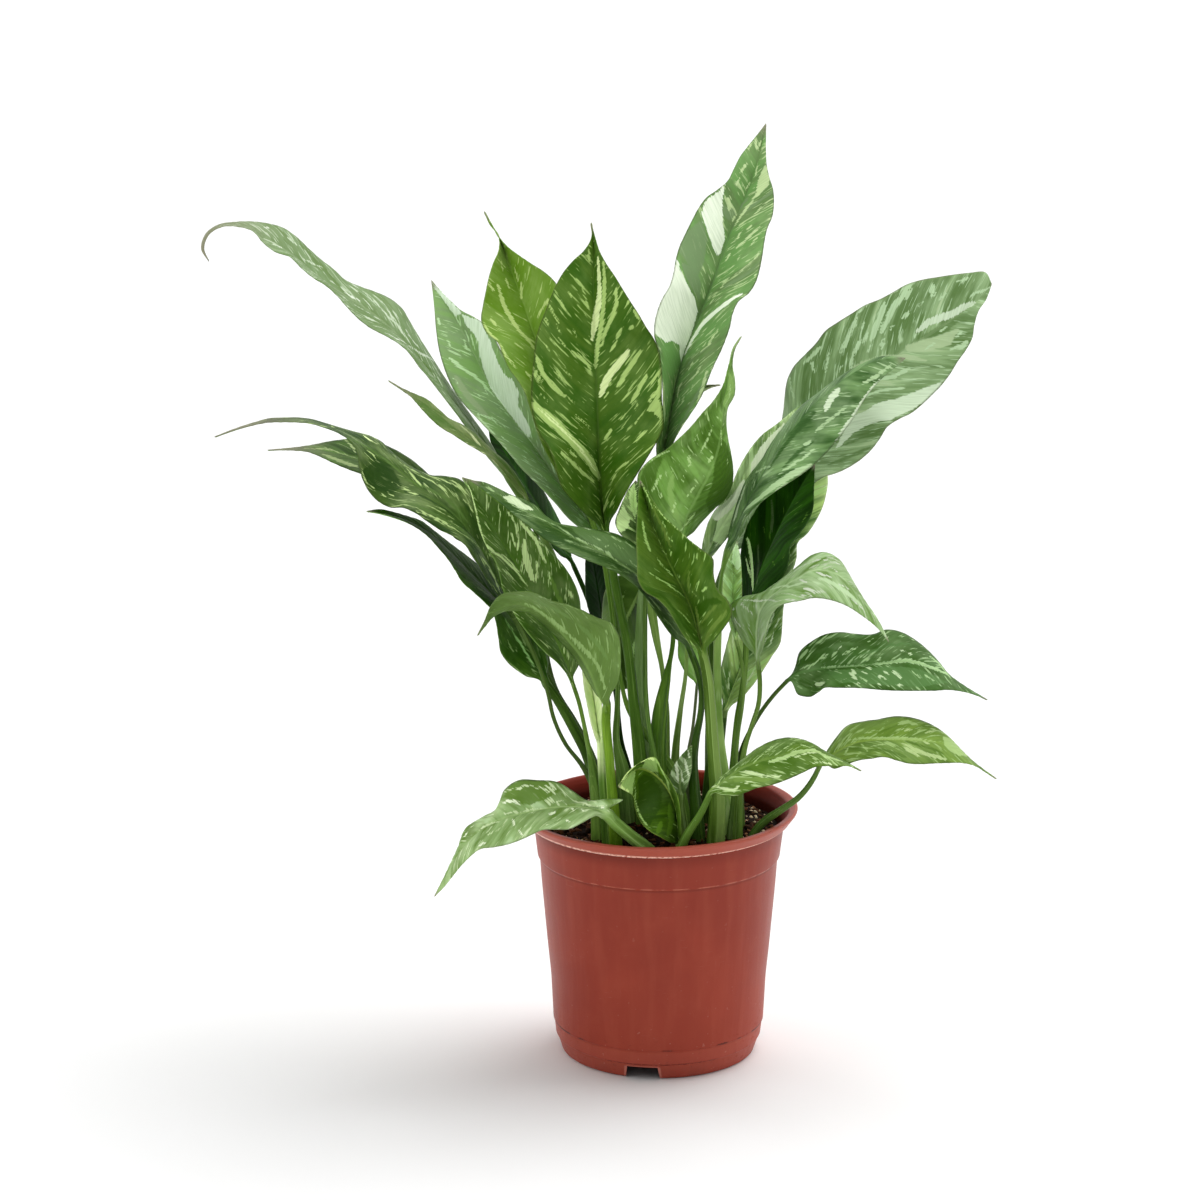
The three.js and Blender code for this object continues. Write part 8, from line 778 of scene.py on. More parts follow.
        ('p', 0.38, [(0.232, -0.143), (0.289, -0.327)]),
        ('w', 0.71, [(0.237, 0.143), (0.295, 0.367), (0.356, 0.592), (0.427, 0.755), (0.491, 0.837)]),
        ('w', 0.71, [(0.022, -1.0), (0.083, 0.367), (0.157, 0.755), (0.205, 0.633)]),
        ('w', 0.52, [(0.676, 0.755), (0.74, 0.714), (0.803, 0.878)]),
        ('w', 0.47, [(0.571, 0.224), (0.666, 0.061), (0.726, 0.041)]),
        ('w', 0.43, [(0.235, 0.633), (0.304, 0.755)]),
        ('g', 1.19, [(0.18, 0.286), (0.284, 0.633), (0.406, 0.816)]),
        ('d', 0.95, [(0.329, -0.061), (0.414, 0.245), (0.546, 0.531)]),
        ('d', 0.71, [(0.553, -0.694), (0.644, -0.49), (0.715, -0.122)]),
    ],
    "leaf_right_lowest": [
        ('p', 0.81, [(0.195, -0.204), (0.346, -0.061), (0.497, -0.041), (0.626, -0.02)]),
        ('p', 1.04, [(0.446, -0.633), (0.494, -0.735), (0.538, -0.694)]),
        ('p', 0.71, [(0.603, -0.653), (0.681, -0.898), (0.726, -0.857)]),
        ('p', 0.47, [(0.277, -0.306), (0.356, -0.49)]),
        ('p', 0.52, [(0.147, 0.531), (0.185, 0.061), (0.247, -0.204)]),
        ('p', 0.52, [(0.199, 0.918), (0.242, 0.571)]),
        ('p', 0.62, [(0.297, 0.408), (0.394, 0.286)]),
        ('p', 0.47, [(0.359, -0.633), (0.401, -0.796)]),
        ('p', 0.57, [(0.247, 0.184), (0.274, 0.612)]),
        ('p', 0.0, [(0.669, -0.551), (0.733, -0.857), (0.788, -0.592), (0.823, -0.327), (0.761, 0.429), (0.713, 0.286), (0.674, 0.02)]),
        ('w', 0.95, [(0.457, 0.184), (0.528, 0.449), (0.609, 0.653), (0.698, 0.816)]),
        ('w', 0.71, [(0.474, 0.388), (0.546, 0.694)]),
        ('w', 0.52, [(0.461, -0.367), (0.511, -0.408)]),
        ('w', 0.57, [(0.576, -0.306), (0.628, -0.653)]),
        ('w', 0.43, [(0.524, 0.061), (0.603, 0.102)]),
        ('d', 0.62, [(0.472, 0.082), (0.563, 0.265), (0.683, 0.551)]),
        ('d', 0.95, [(0.284, 0.612), (0.391, 0.694), (0.476, 0.776)]),
        ('d', 0.57, [(0.482, -0.898), (0.553, -0.98), (0.628, -1.0)]),
    ],
    "leaf_right_low": [
        ('p', 0.43, [(0.08, -0.224), (0.159, -0.224), (0.234, -0.449)]),
        ('p', 1.0, [(0.414, 0.02), (0.499, 0.041), (0.568, -0.041), (0.629, -0.02), (0.699, -0.041), (0.788, -0.184)]),
        ('p', 0.57, [(0.18, -0.041), (0.285, 0.0), (0.404, 0.02)]),
        ('p', 0.52, [(0.294, -0.347), (0.367, -0.551)]),
        ('p', 0.95, [(0.694, -0.612), (0.751, -0.653), (0.795, -0.02)]),
        ('p', 0.62, [(0.104, -0.755), (0.16, -0.816)]),
        ('p', 0.52, [(0.237, -0.918), (0.269, -0.98)]),
        ('p', 0.43, [(0.553, -0.857), (0.578, -0.857)]),
        ('p', 0.43, [(0.596, -0.918), (0.621, -0.939)]),
        ('p', 0.43, [(0.439, -0.122), (0.459, -0.163)]),
        ('p', 0.43, [(0.446, -0.816), (0.406, -0.694)]),
        ('p', 0.47, [(0.334, -1.0), (0.374, -1.0)]),
        ('p', 0.47, [(0.386, 0.571), (0.434, 0.776)]),
        ('p', 0.43, [(0.252, 0.224), (0.294, 0.388)]),
        ('p', 0.43, [(0.616, 0.327), (0.674, 0.551)]),
        ('p', 0.38, [(0.681, 0.367), (0.731, 0.531)]),
        ('w', 0.52, [(0.294, -0.714), (0.307, -0.735)]),
        ('w', 0.47, [(0.285, -0.531), (0.301, -0.592)]),
        ('w', 0.71, [(0.329, 0.367), (0.379, 0.694)]),
        ('w', 0.57, [(0.327, 0.163), (0.362, 0.469)]),
        ('w', 0.52, [(0.382, 0.306), (0.419, 0.49)]),
        ('w', 0.52, [(0.401, 0.143), (0.427, 0.286)]),
        ('w', 0.66, [(0.472, 0.531), (0.516, 0.673)]),
        ('w', 0.57, [(0.529, 0.347), (0.581, 0.592)]),
        ('w', 0.52, [(0.573, 0.796), (0.601, 0.898)]),
        ('w', 0.47, [(0.476, 0.796), (0.503, 0.857)]),
        ('w', 0.47, [(0.384, 0.878), (0.399, 0.816)]),
        ('w', 0.52, [(0.311, 0.714), (0.327, 0.673)]),
        ('w', 0.57, [(0.548, -0.347), (0.571, -0.347)]),
        ('w', 0.71, [(0.584, -0.286), (0.603, -0.286)]),
        ('w', 0.95, [(0.159, 0.612), (0.227, 0.776)]),
        ('w', 0.43, [(0.487, 0.367), (0.521, 0.49)]),
        ('w', 0.43, [(0.344, 1.0), (0.359, 0.918)]),
        ('g', 0.0, [(0.205, 0.184), (0.367, 0.204), (0.554, 0.204), (0.699, 0.245), (0.798, 0.469), (0.678, 0.878), (0.492, 0.857), (0.307, 0.816)]),
        ('d', 1.19, [(0.175, -0.735), (0.301, -0.776), (0.466, -0.755)]),
        ('g', 0.71, [(0.369, -0.327), (0.482, -0.449), (0.596, -0.653)]),
        ('d', 1.19, [(0.075, 0.327), (0.135, 0.673)]),
    ],
    "leaf_right_drooping": [
        ('w', 0.52, [(0.259, -0.837), (0.269, -0.245), (0.321, 0.714), (0.427, 0.98), (0.521, 0.959)]),
        ('w', 0.52, [(0.442, -0.633), (0.487, -0.592), (0.529, -0.51), (0.571, -0.49)]),
        ('w', 0.43, [(0.548, -0.612), (0.596, -0.49), (0.659, -0.592)]),
        ('w', 0.52, [(0.531, 0.102), (0.576, 0.204), (0.609, 0.204)]),
        ('w', 0.62, [(0.471, 0.612), (0.523, 0.816), (0.584, 0.796)]),
        ('w', 0.47, [(0.357, 0.408), (0.431, 0.796), (0.506, 0.918)]),
        ('w', 0.57, [(0.369, -1.0), (0.411, -1.0), (0.451, -1.0)]),
        ('w', 0.43, [(0.244, -0.735), (0.224, -0.429), (0.205, -0.184)]),
        ('w', 0.43, [(0.636, 0.367), (0.694, 0.245)]),
        ('w', 0.43, [(0.713, 0.612), (0.791, 0.592)]),
        ('w', 0.38, [(0.598, -0.204), (0.634, -0.122)]),
        ('w', 0.52, [(0.452, 0.122), (0.489, 0.429)]),
        ('w', 0.38, [(0.175, -0.857), (0.149, -0.653)]),
        ('w', 0.38, [(0.205, -0.878), (0.224, -0.755)]),
        ('g', 0.95, [(0.342, -0.51), (0.399, 0.245), (0.476, 0.388)]),
        ('g', 1.42, [(0.549, 0.347), (0.651, 0.49), (0.776, 0.469)]),
        ('p', 0.71, [(0.618, -0.653), (0.701, -0.878), (0.778, -1.0)]),
        ('d', 0.47, [(0.501, -0.857), (0.533, -0.939), (0.564, -0.878)]),
    ],
    "leaf_young_white": [
        ('w', 0.76, [(0.608, -0.959), (0.446, -0.429), (0.277, -0.184)]),
        ('w', 0.71, [(0.721, -0.327), (0.576, 0.408), (0.407, 0.837)]),
        ('w', 0.52, [(0.484, -0.102), (0.26, 0.469)]),
        ('w', 0.47, [(0.886, -0.51), (0.74, 0.653)]),
    ],
    "leaf_young_centre": [
        ('w', 0.0, [(0.736, -0.898), (0.591, -0.327), (0.501, -0.449), (0.441, -0.98), (0.479, -1.0), (0.594, -0.959)]),
        ('p', 0.0, [(0.963, -0.592), (0.868, 0.388), (0.716, 0.265), (0.579, -0.082), (0.686, -0.265), (0.81, -0.633), (0.893, -0.755)]),
        ('d', 0.47, [(0.571, -0.224), (0.352, -0.02), (0.134, 0.02)]),
    ],
    "leaf_far_left_hooked": [
        ('w', 0.52, [(0.79, -0.551), (0.778, -0.612)]),
        ('w', 0.52, [(0.748, 0.286), (0.735, 0.163)]),
        ('w', 0.52, [(0.561, -0.102), (0.538, -0.122), (0.518, -0.143)]),
        ('w', 0.52, [(0.397, -0.449), (0.372, -0.347), (0.342, -0.388)]),
        ('w', 0.52, [(0.494, 0.286), (0.482, 0.184)]),
        ('w', 0.71, [(0.429, 0.816), (0.402, 0.776), (0.376, 0.286)]),
        ('w', 0.71, [(0.369, -0.02), (0.332, -0.265), (0.299, -0.796), (0.277, -0.837)]),
        ('w', 0.38, [(0.551, -0.857), (0.531, -0.776)]),
        ('p', 0.43, [(0.735, -0.571), (0.715, -0.551), (0.699, -0.633)]),
        ('p', 0.52, [(0.678, -0.184), (0.654, -0.347), (0.629, -0.551)]),
        ('p', 0.43, [(0.664, 0.592), (0.638, 0.347)]),
        ('p', 0.43, [(0.531, -0.776), (0.501, -0.49), (0.462, -0.306), (0.431, -0.265), (0.402, -0.204)]),
        ('p', 0.47, [(0.477, -0.612), (0.442, -0.388), (0.417, -0.327), (0.392, -0.224), (0.357, -0.143)]),
        ('p', 0.52, [(0.551, 1.0), (0.529, 0.878)]),
        ('p', 0.38, [(0.599, -0.204), (0.558, -0.245)]),
        ('p', 0.38, [(0.157, -1.0), (0.1, -0.898)]),
        ('p', 0.36, [(0.232, -0.571), (0.195, -0.735)]),
        ('d', 0.38, [(0.741, -0.367), (0.718, -0.306)]),
        ('d', 0.43, [(0.671, -0.122), (0.644, -0.327), (0.618, -0.408)]),
        ('d', 0.95, [(0.549, 0.49), (0.506, 0.469), (0.451, 0.347), (0.394, -0.0)]),
        ('d', 1.19, [(0.352, 0.388), (0.309, -0.041), (0.27, -0.245)]),
        ('d', 1.42, [(0.259, -0.367), (0.205, -0.653), (0.149, -0.571), (0.088, -0.592)]),
    ],
    "leaf_left_slim": [
        ('p', 0.76, [(0.543, -0.633), (0.471, -0.388), (0.391, 0.0)]),
        ('d', 0.71, [(0.83, 0.388), (0.728, 0.02), (0.633, -0.327)]),
        ('p', 0.33, [(0.382, 0.918), (0.274, 1.0), (0.18, 1.0)]),
    ],
}


# --------------------------------------------------------------------- helpers
def srgb(r, g, b):
    def f(c):
        c /= 255.0
        return c / 12.92 if c <= 0.04045 else ((c + 0.055) / 1.055) ** 2.4
    return (f(r), f(g), f(b), 1.0)


def unit(v):
    return v / np.maximum(np.linalg.norm(v, axis=-1, keepdims=True), 1e-9)


def through(rows, n=None, at=None):
    """Smooth curve through rows (uniform Catmull-Rom), sampled evenly along the index."""
    p = np.asarray(rows, float)
    ext = np.vstack([2 * p[0] - p[1], p, 2 * p[-1] - p[-2]])
    t = np.linspace(0, len(p) - 1, n) if at is None else np.asarray(at) * (len(p) - 1)
    k = np.minimum(t.astype(int), len(p) - 2)
    f = (t - k)[:, None]
    p0, p1, p2, p3 = ext[k], ext[k + 1], ext[k + 2], ext[k + 3]
    return 0.5 * (2 * p1 + (p2 - p0) * f + (2 * p0 - 5 * p1 + 4 * p2 - p3) * f ** 2
                  + (3 * p1 - p0 - 3 * p2 + p3) * f ** 3)


def smoothstep(a, b, x):
    t = np.clip((x - a) / (b - a), 0, 1)
    return t * t * (3 - 2 * t)


def wave(x, y, seed):
    """Cheap smooth noise in -1..1 from a few turned sines."""
    r = np.random.default_rng(seed)
    out = 0.0
    for k in range(5):
        a = r.uniform(0, 2 * math.pi)
        f = 1.0 + 0.9 * k
        out = out + np.sin((x * math.cos(a) + y * math.sin(a)) * f + r.uniform(0, 6.28)) / (1 + 0.7 * k)
    return out / 2.6


def new_object(name, verts, faces, smooth=True):
    me = bpy.data.meshes.new(name)
    me.from_pydata([tuple(v) for v in verts], [], [tuple(int(i) for i in f) for f in faces])
    me.update()
    if smooth:
        me.polygons.foreach_set("use_smooth", [True] * len(me.polygons))
    ob = bpy.data.objects.new(name, me)
    bpy.context.scene.collection.objects.link(ob)
    return ob


def float_attr(me, name, values):
    a = me.attributes.new(name, "FLOAT", "POINT")
    a.data.foreach_set("value", np.asarray(values, np.float32))


def to_world(p):
    q = np.array(p, float)
    q[:, 0] += POT_AXIS[0]
    q[:, 1] += POT_AXIS[1]
    return q * MM


# --------------------------------------------------------------------- leaves
def seg_distance(p, a, b):
    d = b - a
    t = np.clip(((p - a) @ d) / max(float(d @ d), 1e-9), 0, 1)
    return np.linalg.norm(p - (a + t[:, None] * d), axis=1), t


def mark_field(marks, s, x, length, halfA, halfB, u):
    """Signed depth in mm inside the nearest mark of each tone, clipped to -3..3."""
    out = {k: np.full(len(s), -3.0) for k in "wpgd"}
    pts = np.stack([s, x], 1)
    for tone, hw, line in marks:
        q = np.array(line, float)
        hu = np.where(q[:, 1] < 0, np.interp(q[:, 0], u, halfA), np.interp(q[:, 0], u, halfB))
        q = np.stack([q[:, 0] * length, q[:, 1] * hu], 1)
        lo, hi = q.min(0) - 6, q.max(0) + 6
        m = (s > lo[0]) & (s < hi[0]) & (x > lo[1]) & (x < hi[1])
        if not m.any():
            continue
        p = pts[m]
        if hw > 0:
            best = np.full(len(p), -3.0)
            n = len(q) - 1
            cum = np.r_[0, np.cumsum(np.linalg.norm(np.diff(q, axis=0), axis=1))]
            for i in range(n):
                d, t = seg_distance(p, q[i], q[i + 1])
                g = (cum[i] + t * (cum[i + 1] - cum[i])) / max(cum[-1], 1e-6)
                w = hw * np.clip(1.25 * np.sin(np.pi * np.clip(g * 0.86 + 0.07, 0, 1)) ** 0.6, 0, 1)
                best = np.maximum(best, w - d)
        else:
            d = np.full(len(p), 1e9)
            inside = np.zeros(len(p), bool)
            for i in range(len(q)):
                a, b = q[i], q[(i + 1) % len(q)]
                d = np.minimum(d, seg_distance(p, a, b)[0])
                c = (a[1] > p[:, 1]) != (b[1] > p[:, 1])
                xi = (b[0] - a[0]) * (p[:, 1] - a[1]) / (b[1] - a[1] if abs(b[1] - a[1]) > 1e-9 else 1e-9) + a[0]
                inside ^= c & (p[:, 0] < xi)
            best = np.where(inside, d, -d)
        out[tone][m] = np.maximum(out[tone][m], np.clip(best, -3, 3))
    return out


def build_leaf(name, L, marks):
    P, M, A, B = (np.array(L[k], float) for k in ("P", "M", "A", "B"))
    tip = np.array(L["tip"], float)
    up, girth = L["up"], L["rad"]
    rb, rt = girth[0][1], girth[-1][1]
    seed = L["seed"]
    M = np.vstack([M, tip]); A = np.vstack([A, tip]); B = np.vstack([B, tip])
    length = np.linalg.norm(np.diff(through(M, 200), axis=0), axis=1).sum()
    plen = np.linalg.norm(np.diff(through(P, 80), axis=0), axis=1).sum()
    width = max(np.linalg.norm(A - M, axis=1).max(), np.linalg.norm(B - M, axis=1).max())
    nb = int(np.clip(length / 0.85, 40, 210))
    nv = int(np.clip(width / 1.15, 9, 26))
    npt = int(np.clip(plen / 2.6, 14, 64))
    ub = np.linspace(0, 1, nb + 1)[:-1]
    Mi, Ai, Bi = through(M, at=ub), through(A, at=ub), through(B, at=ub)
    Pi = through(P, npt)
    Pi = Pi[:-1]
    path = np.vstack([Pi, Mi])
    T = unit(np.gradient(path, axis=0))
    # frames down the petiole from the blade's own width
    k0 = max(2, nb // 14)
    side = unit(Bi[k0] - Ai[k0])
    frames = [None] * len(Pi)
    for j in range(len(Pi) - 1, -1, -1):
        side = unit(side - T[j] * (side @ T[j]))
        frames[j] = side
    nring = 4 * nv
    j = np.arange(nring)
    ang = np.where(j <= 2 * nv, math.pi - math.pi * j / (2 * nv), -(j - 2 * nv) * math.pi / (2 * nv))
    vj = np.where(j <= 2 * nv, j / nv - 1.0, 1.0 - (j - 2 * nv) / nv)
    vj = np.sign(vj) * (np.abs(vj) * 0.72 + 0.28 * np.abs(vj) ** 2)   # finer near the midrib
    top = (j > 0) & (j < 2 * nv)
    bot = j > 2 * nv
    verts, at_u, at_x, at_s0, at_half, at_top, at_q = [], [], [], [], [], [], []
    # petiole: rounded, grooved along its upper side, sheathing near the base
    sheath = L["sheath"]
    for i in range(len(Pi)):
        v = i / (len(Pi) - 1)
        r = float(np.interp(v, [a for a, _ in girth], [b for _, b in girth]))
        n = unit(np.cross(T[i], frames[i])) * up
        flare = sheath * smoothstep(0.62, 0.30, v) * smoothstep(-0.02, 0.10, v + 0.05)
        ca, sa = np.cos(ang), np.sin(ang)
        groove = 0.22 * np.exp(-((ang - math.pi / 2) / 0.42) ** 2) * (0.5 + 0.5 * smoothstep(0.0, 0.4, v))
        rad = 1 - groove
        wing = flare * 0.22 * (np.exp(-((ang - 0.75) / 0.25) ** 2) + np.exp(-((ang - (math.pi - 0.75)) / 0.25) ** 2))
        rr = r * (rad + wing)
        ridge = 1 + 0.02 * np.cos(9 * ang + seed)
        q = Pi[i] + np.outer(ca * rr * (1 + 0.06 * flare) * ridge, frames[i]) + np.outer(sa * rr * (1 - 0.05 * flare) * ridge, n)
        verts.append(q)
        at_u += [v - 1.0] * nring
        at_x += list(ca * r)
        at_s0 += [(v - 1.0) * plen] * nring
        at_half += [r] * nring
        at_top += list(np.clip(sa * 0.5 + 0.5, 0, 1))
        at_q += list(ang)
    hA = np.linalg.norm(Ai - Mi, axis=1)
    hB = np.linalg.norm(Bi - Mi, axis=1)
    # normals of each half, smoothed along the blade
    Tb = unit(np.gradient(np.vstack([Pi[-1:], Mi, tip[None]]), axis=0))[1:-1]
    nA = unit(np.cross(Tb, Mi - Ai)) * up
    nB = unit(np.cross(Tb, Bi - Mi)) * up
    def smooth_rows(a, w):
        k = np.exp(-np.linspace(-2, 2, 2 * w + 1) ** 2)
        k /= k.sum()
        pad = np.vstack([np.repeat(a[:1], w, 0), a, np.repeat(a[-1:], w, 0)])
        return unit(np.stack([np.convolve(pad[:, c], k, "valid") for c in range(3)], 1))
    w = max(2, nb // 30)
    nA, nB = smooth_rows(nA, w), smooth_rows(nB, w)
    n0 = unit(nA + nB)
    blend = smoothstep(0.0, 0.075, ub)
    for i in range(nb):
        u = ub[i]
        ring_u = u
        v = vj
        half = np.where(v < 0, hA[i], hB[i])
        E = np.where((v < 0)[:, None], Ai[i], Bi[i])
        nn = np.where((v < 0)[:, None], nA[i], nB[i])
        f = np.abs(v)[:, None]
        mid = smoothstep(0.0, 0.22, np.abs(v))[:, None]
        nrm = unit(n0[i] * (1 - mid) + nn * mid)
        x = v * half
        s = u * length
        # the lateral veins leave the midrib at an angle and curve to the tip
        s0 = (s - L["sweep"] * np.abs(x) - 0.010 * x * x) * 1.25 / math.hypot(1.0, L["sweep"])
        edge = smoothstep(1.0, 0.72, np.abs(v))
        veins = (0.5 + 0.5 * np.cos(2 * math.pi * s0 / L["pitch"] + 1.3 * wave(s0 * 0.05, x * 0.02, seed))) ** 3
        fade = smoothstep(0.0, 0.10, np.abs(v)) * (0.35 + 0.65 * edge) * smoothstep(0, 0.1, u) * smoothstep(1.0, 0.86, u)
        relief = -L["relief"] * veins * fade
        relief = relief + 0.35 * L["wavy"] * wave(s * 0.055 + 3, x * 0.05, seed + 5) * smoothstep(0.05, 0.6, np.abs(v)) * smoothstep(0, .12, u) * smoothstep(1, .85, u) * np.minimum(1, half / 12)
        camber = L["camber"] * half * (4 * np.abs(v) * (1 - np.abs(v)))
        base = Mi[i] + (E - Mi[i]) * f + nn * camber[:, None] + nrm * relief[:, None]
        # thickness, midrib ridge below and narrow channel above
        th = 0.5 * (0.34 + 0.26 * (1 - np.abs(v)))
        taper = (1 - u) ** 1.25
        sig = 0.55 + rt * 0.55 * taper
        rib = (rt * 1.25 * taper + 0.22) * np.exp(-(x / sig) ** 2)
        chan = (rt * 0.26 * taper + 0.10) * np.exp(-(x / (sig * 0.8)) ** 2)
        lip = rt * 0.10 * taper * np.exp(-((np.abs(x) - sig * 1.5) / (sig * 0.6)) ** 2)
        offs = np.where(top, th - chan + lip, np.where(bot, -(th + rib), 0.0))
        q = base + nrm * offs[:, None]
        if blend[i] < 1:
            sd = unit(Bi[max(i, 1)] - Ai[max(i, 1)]) if i > 1 else frames[-1]
            sd = unit(frames[-1] * (1 - blend[i]) + sd * blend[i])
            r = rt
            rad = 1 - 0.22 * np.exp(-((ang - math.pi / 2) / 0.42) ** 2)
            circ = Mi[i] + np.outer(np.cos(ang) * r * rad, sd) + np.outer(np.sin(ang) * r * rad, n0[i])
            q = circ * (1 - blend[i]) + q * blend[i]
        verts.append(q)
        at_u += [u] * nring
        at_x += list(x)
        at_s0 += list(s0)
        at_half += list(half)
        at_top += list(np.where(top, 1.0, np.where(bot, 0.0, 0.5)))
        at_q += list(np.abs(v))
    V = np.vstack(verts + [Pi[:1] - T[0] * 0.0, tip[None]])
    nr = len(Pi) + nb
    ib, it = len(V) - 2, len(V) - 1
    faces = []
    for k in range(nr - 1):
        a = k * nring
        for q in range(nring):
            b = (q + 1) % nring
            faces.append((a + q, a + b, a + nring + b, a + nring + q))
    for q in range(nring):
        b = (q + 1) % nring
        faces.append((ib, b, q))
        faces.append(((nr - 1) * nring + q, (nr - 1) * nring + b, it))
    at_u += [-1.0, 1.0]; at_x += [0, 0]; at_s0 += [-plen, length]; at_half += [rb, 0.1]; at_top += [0.5, 0.5]; at_q += [0, 0]
    # outward faces
    a, b, c = V[[f[0] for f in faces]], V[[f[1] for f in faces]], V[[f[2] for f in faces]]
    if np.einsum("ij,ij->i", np.cross(a, b), c).sum() < 0:
        faces = [tuple(reversed(f)) for f in faces]
    ob = new_object(name, to_world(V), faces)
    me = ob.data
    u_ = np.array(at_u); x_ = np.array(at_x)
    s_ = np.where(u_ >= 0, u_ * length, u_ * plen)
    fields = mark_field(marks, s_, x_, length, hA, hB, ub)
    for k in "wpgd":
        float_attr(me, "m_" + k, np.where(u_ >= 0, fields[k], -3.0))
    float_attr(me, "lu", u_)
    float_attr(me, "lx", x_)
    float_attr(me, "ls0", at_s0)
    float_attr(me, "ls", s_)
    float_attr(me, "lrel", np.abs(x_) / np.maximum(np.array(at_half), 0.2))
    float_attr(me, "lup", at_top)
    return ob


# --------------------------------------------------------------------- materials
class Net:
    """A few short names for building node materials."""
    def __init__(self, name):
        self.mat = bpy.data.materials.new(name)
        self.mat.use_nodes = True
        self.t = self.mat.node_tree
        self.t.nodes.clear()
        self.out = self.t.nodes.new("ShaderNodeOutputMaterial")

    def n(self, kind, **kw):
        node = self.t.nodes.new(kind)
        for k, v in kw.items():
            setattr(node, k, v)
        return node

    def link(self, a, b):
        self.t.links.new(a, b)

    def put(self, sock, v):
        if isinstance(v, bpy.types.NodeSocket):
            self.link(v, sock)
        else:
            sock.default_value = v

    def attr(self, name):
        a = self.n("ShaderNodeAttribute", attribute_name=name)
        return a.outputs["Fac"]

    def math(self, op, a, b=0.0, c=0.0, clamp=False):
        m = self.n("ShaderNodeMath", operation=op, use_clamp=clamp)
        self.put(m.inputs[0], a); self.put(m.inputs[1], b); self.put(m.inputs[2], c)
        return m.outputs[0]

    def step(self, x, lo, hi, a=0.0, b=1.0):
        m = self.n("ShaderNodeMapRange", interpolation_type="SMOOTHSTEP")
        self.put(m.inputs["Value"], x)
        m.inputs["From Min"].default_value = lo
        m.inputs["From Max"].default_value = hi
        m.inputs["To Min"].default_value = a
        m.inputs["To Max"].default_value = b
        return m.outputs["Result"]

    def vec(self, x, y, z=0.0):
        c = self.n("ShaderNodeCombineXYZ")
        self.put(c.inputs[0], x); self.put(c.inputs[1], y); self.put(c.inputs[2], z)
        return c.outputs[0]

    def noise(self, vec, scale, detail=2.0, rough=0.5, dist=0.0):
        m = self.n("ShaderNodeTexNoise", noise_dimensions="3D")
        if vec is not None:
            self.link(vec, m.inputs["Vector"])
        m.inputs["Scale"].default_value = scale
        m.inputs["Detail"].default_value = detail
        m.inputs["Roughness"].default_value = rough
        m.inputs["Distortion"].default_value = dist
        return m.outputs["Fac"]

    def mix(self, f, a, b, mode="MIX"):
        m = self.n("ShaderNodeMix", data_type="RGBA", blend_type=mode)
        self.put(m.inputs[0], f); self.put(m.inputs[6], a); self.put(m.inputs[7], b)
        return m.outputs[2]

    def bump(self, h, strength, dist, prev=None):
        b = self.n("ShaderNodeBump")
        b.inputs["Strength"].default_value = strength
        b.inputs["Distance"].default_value = dist
        self.link(h, b.inputs["Height"])
        if prev is not None:
            self.link(prev, b.inputs["Normal"])
        return b.outputs["Normal"]


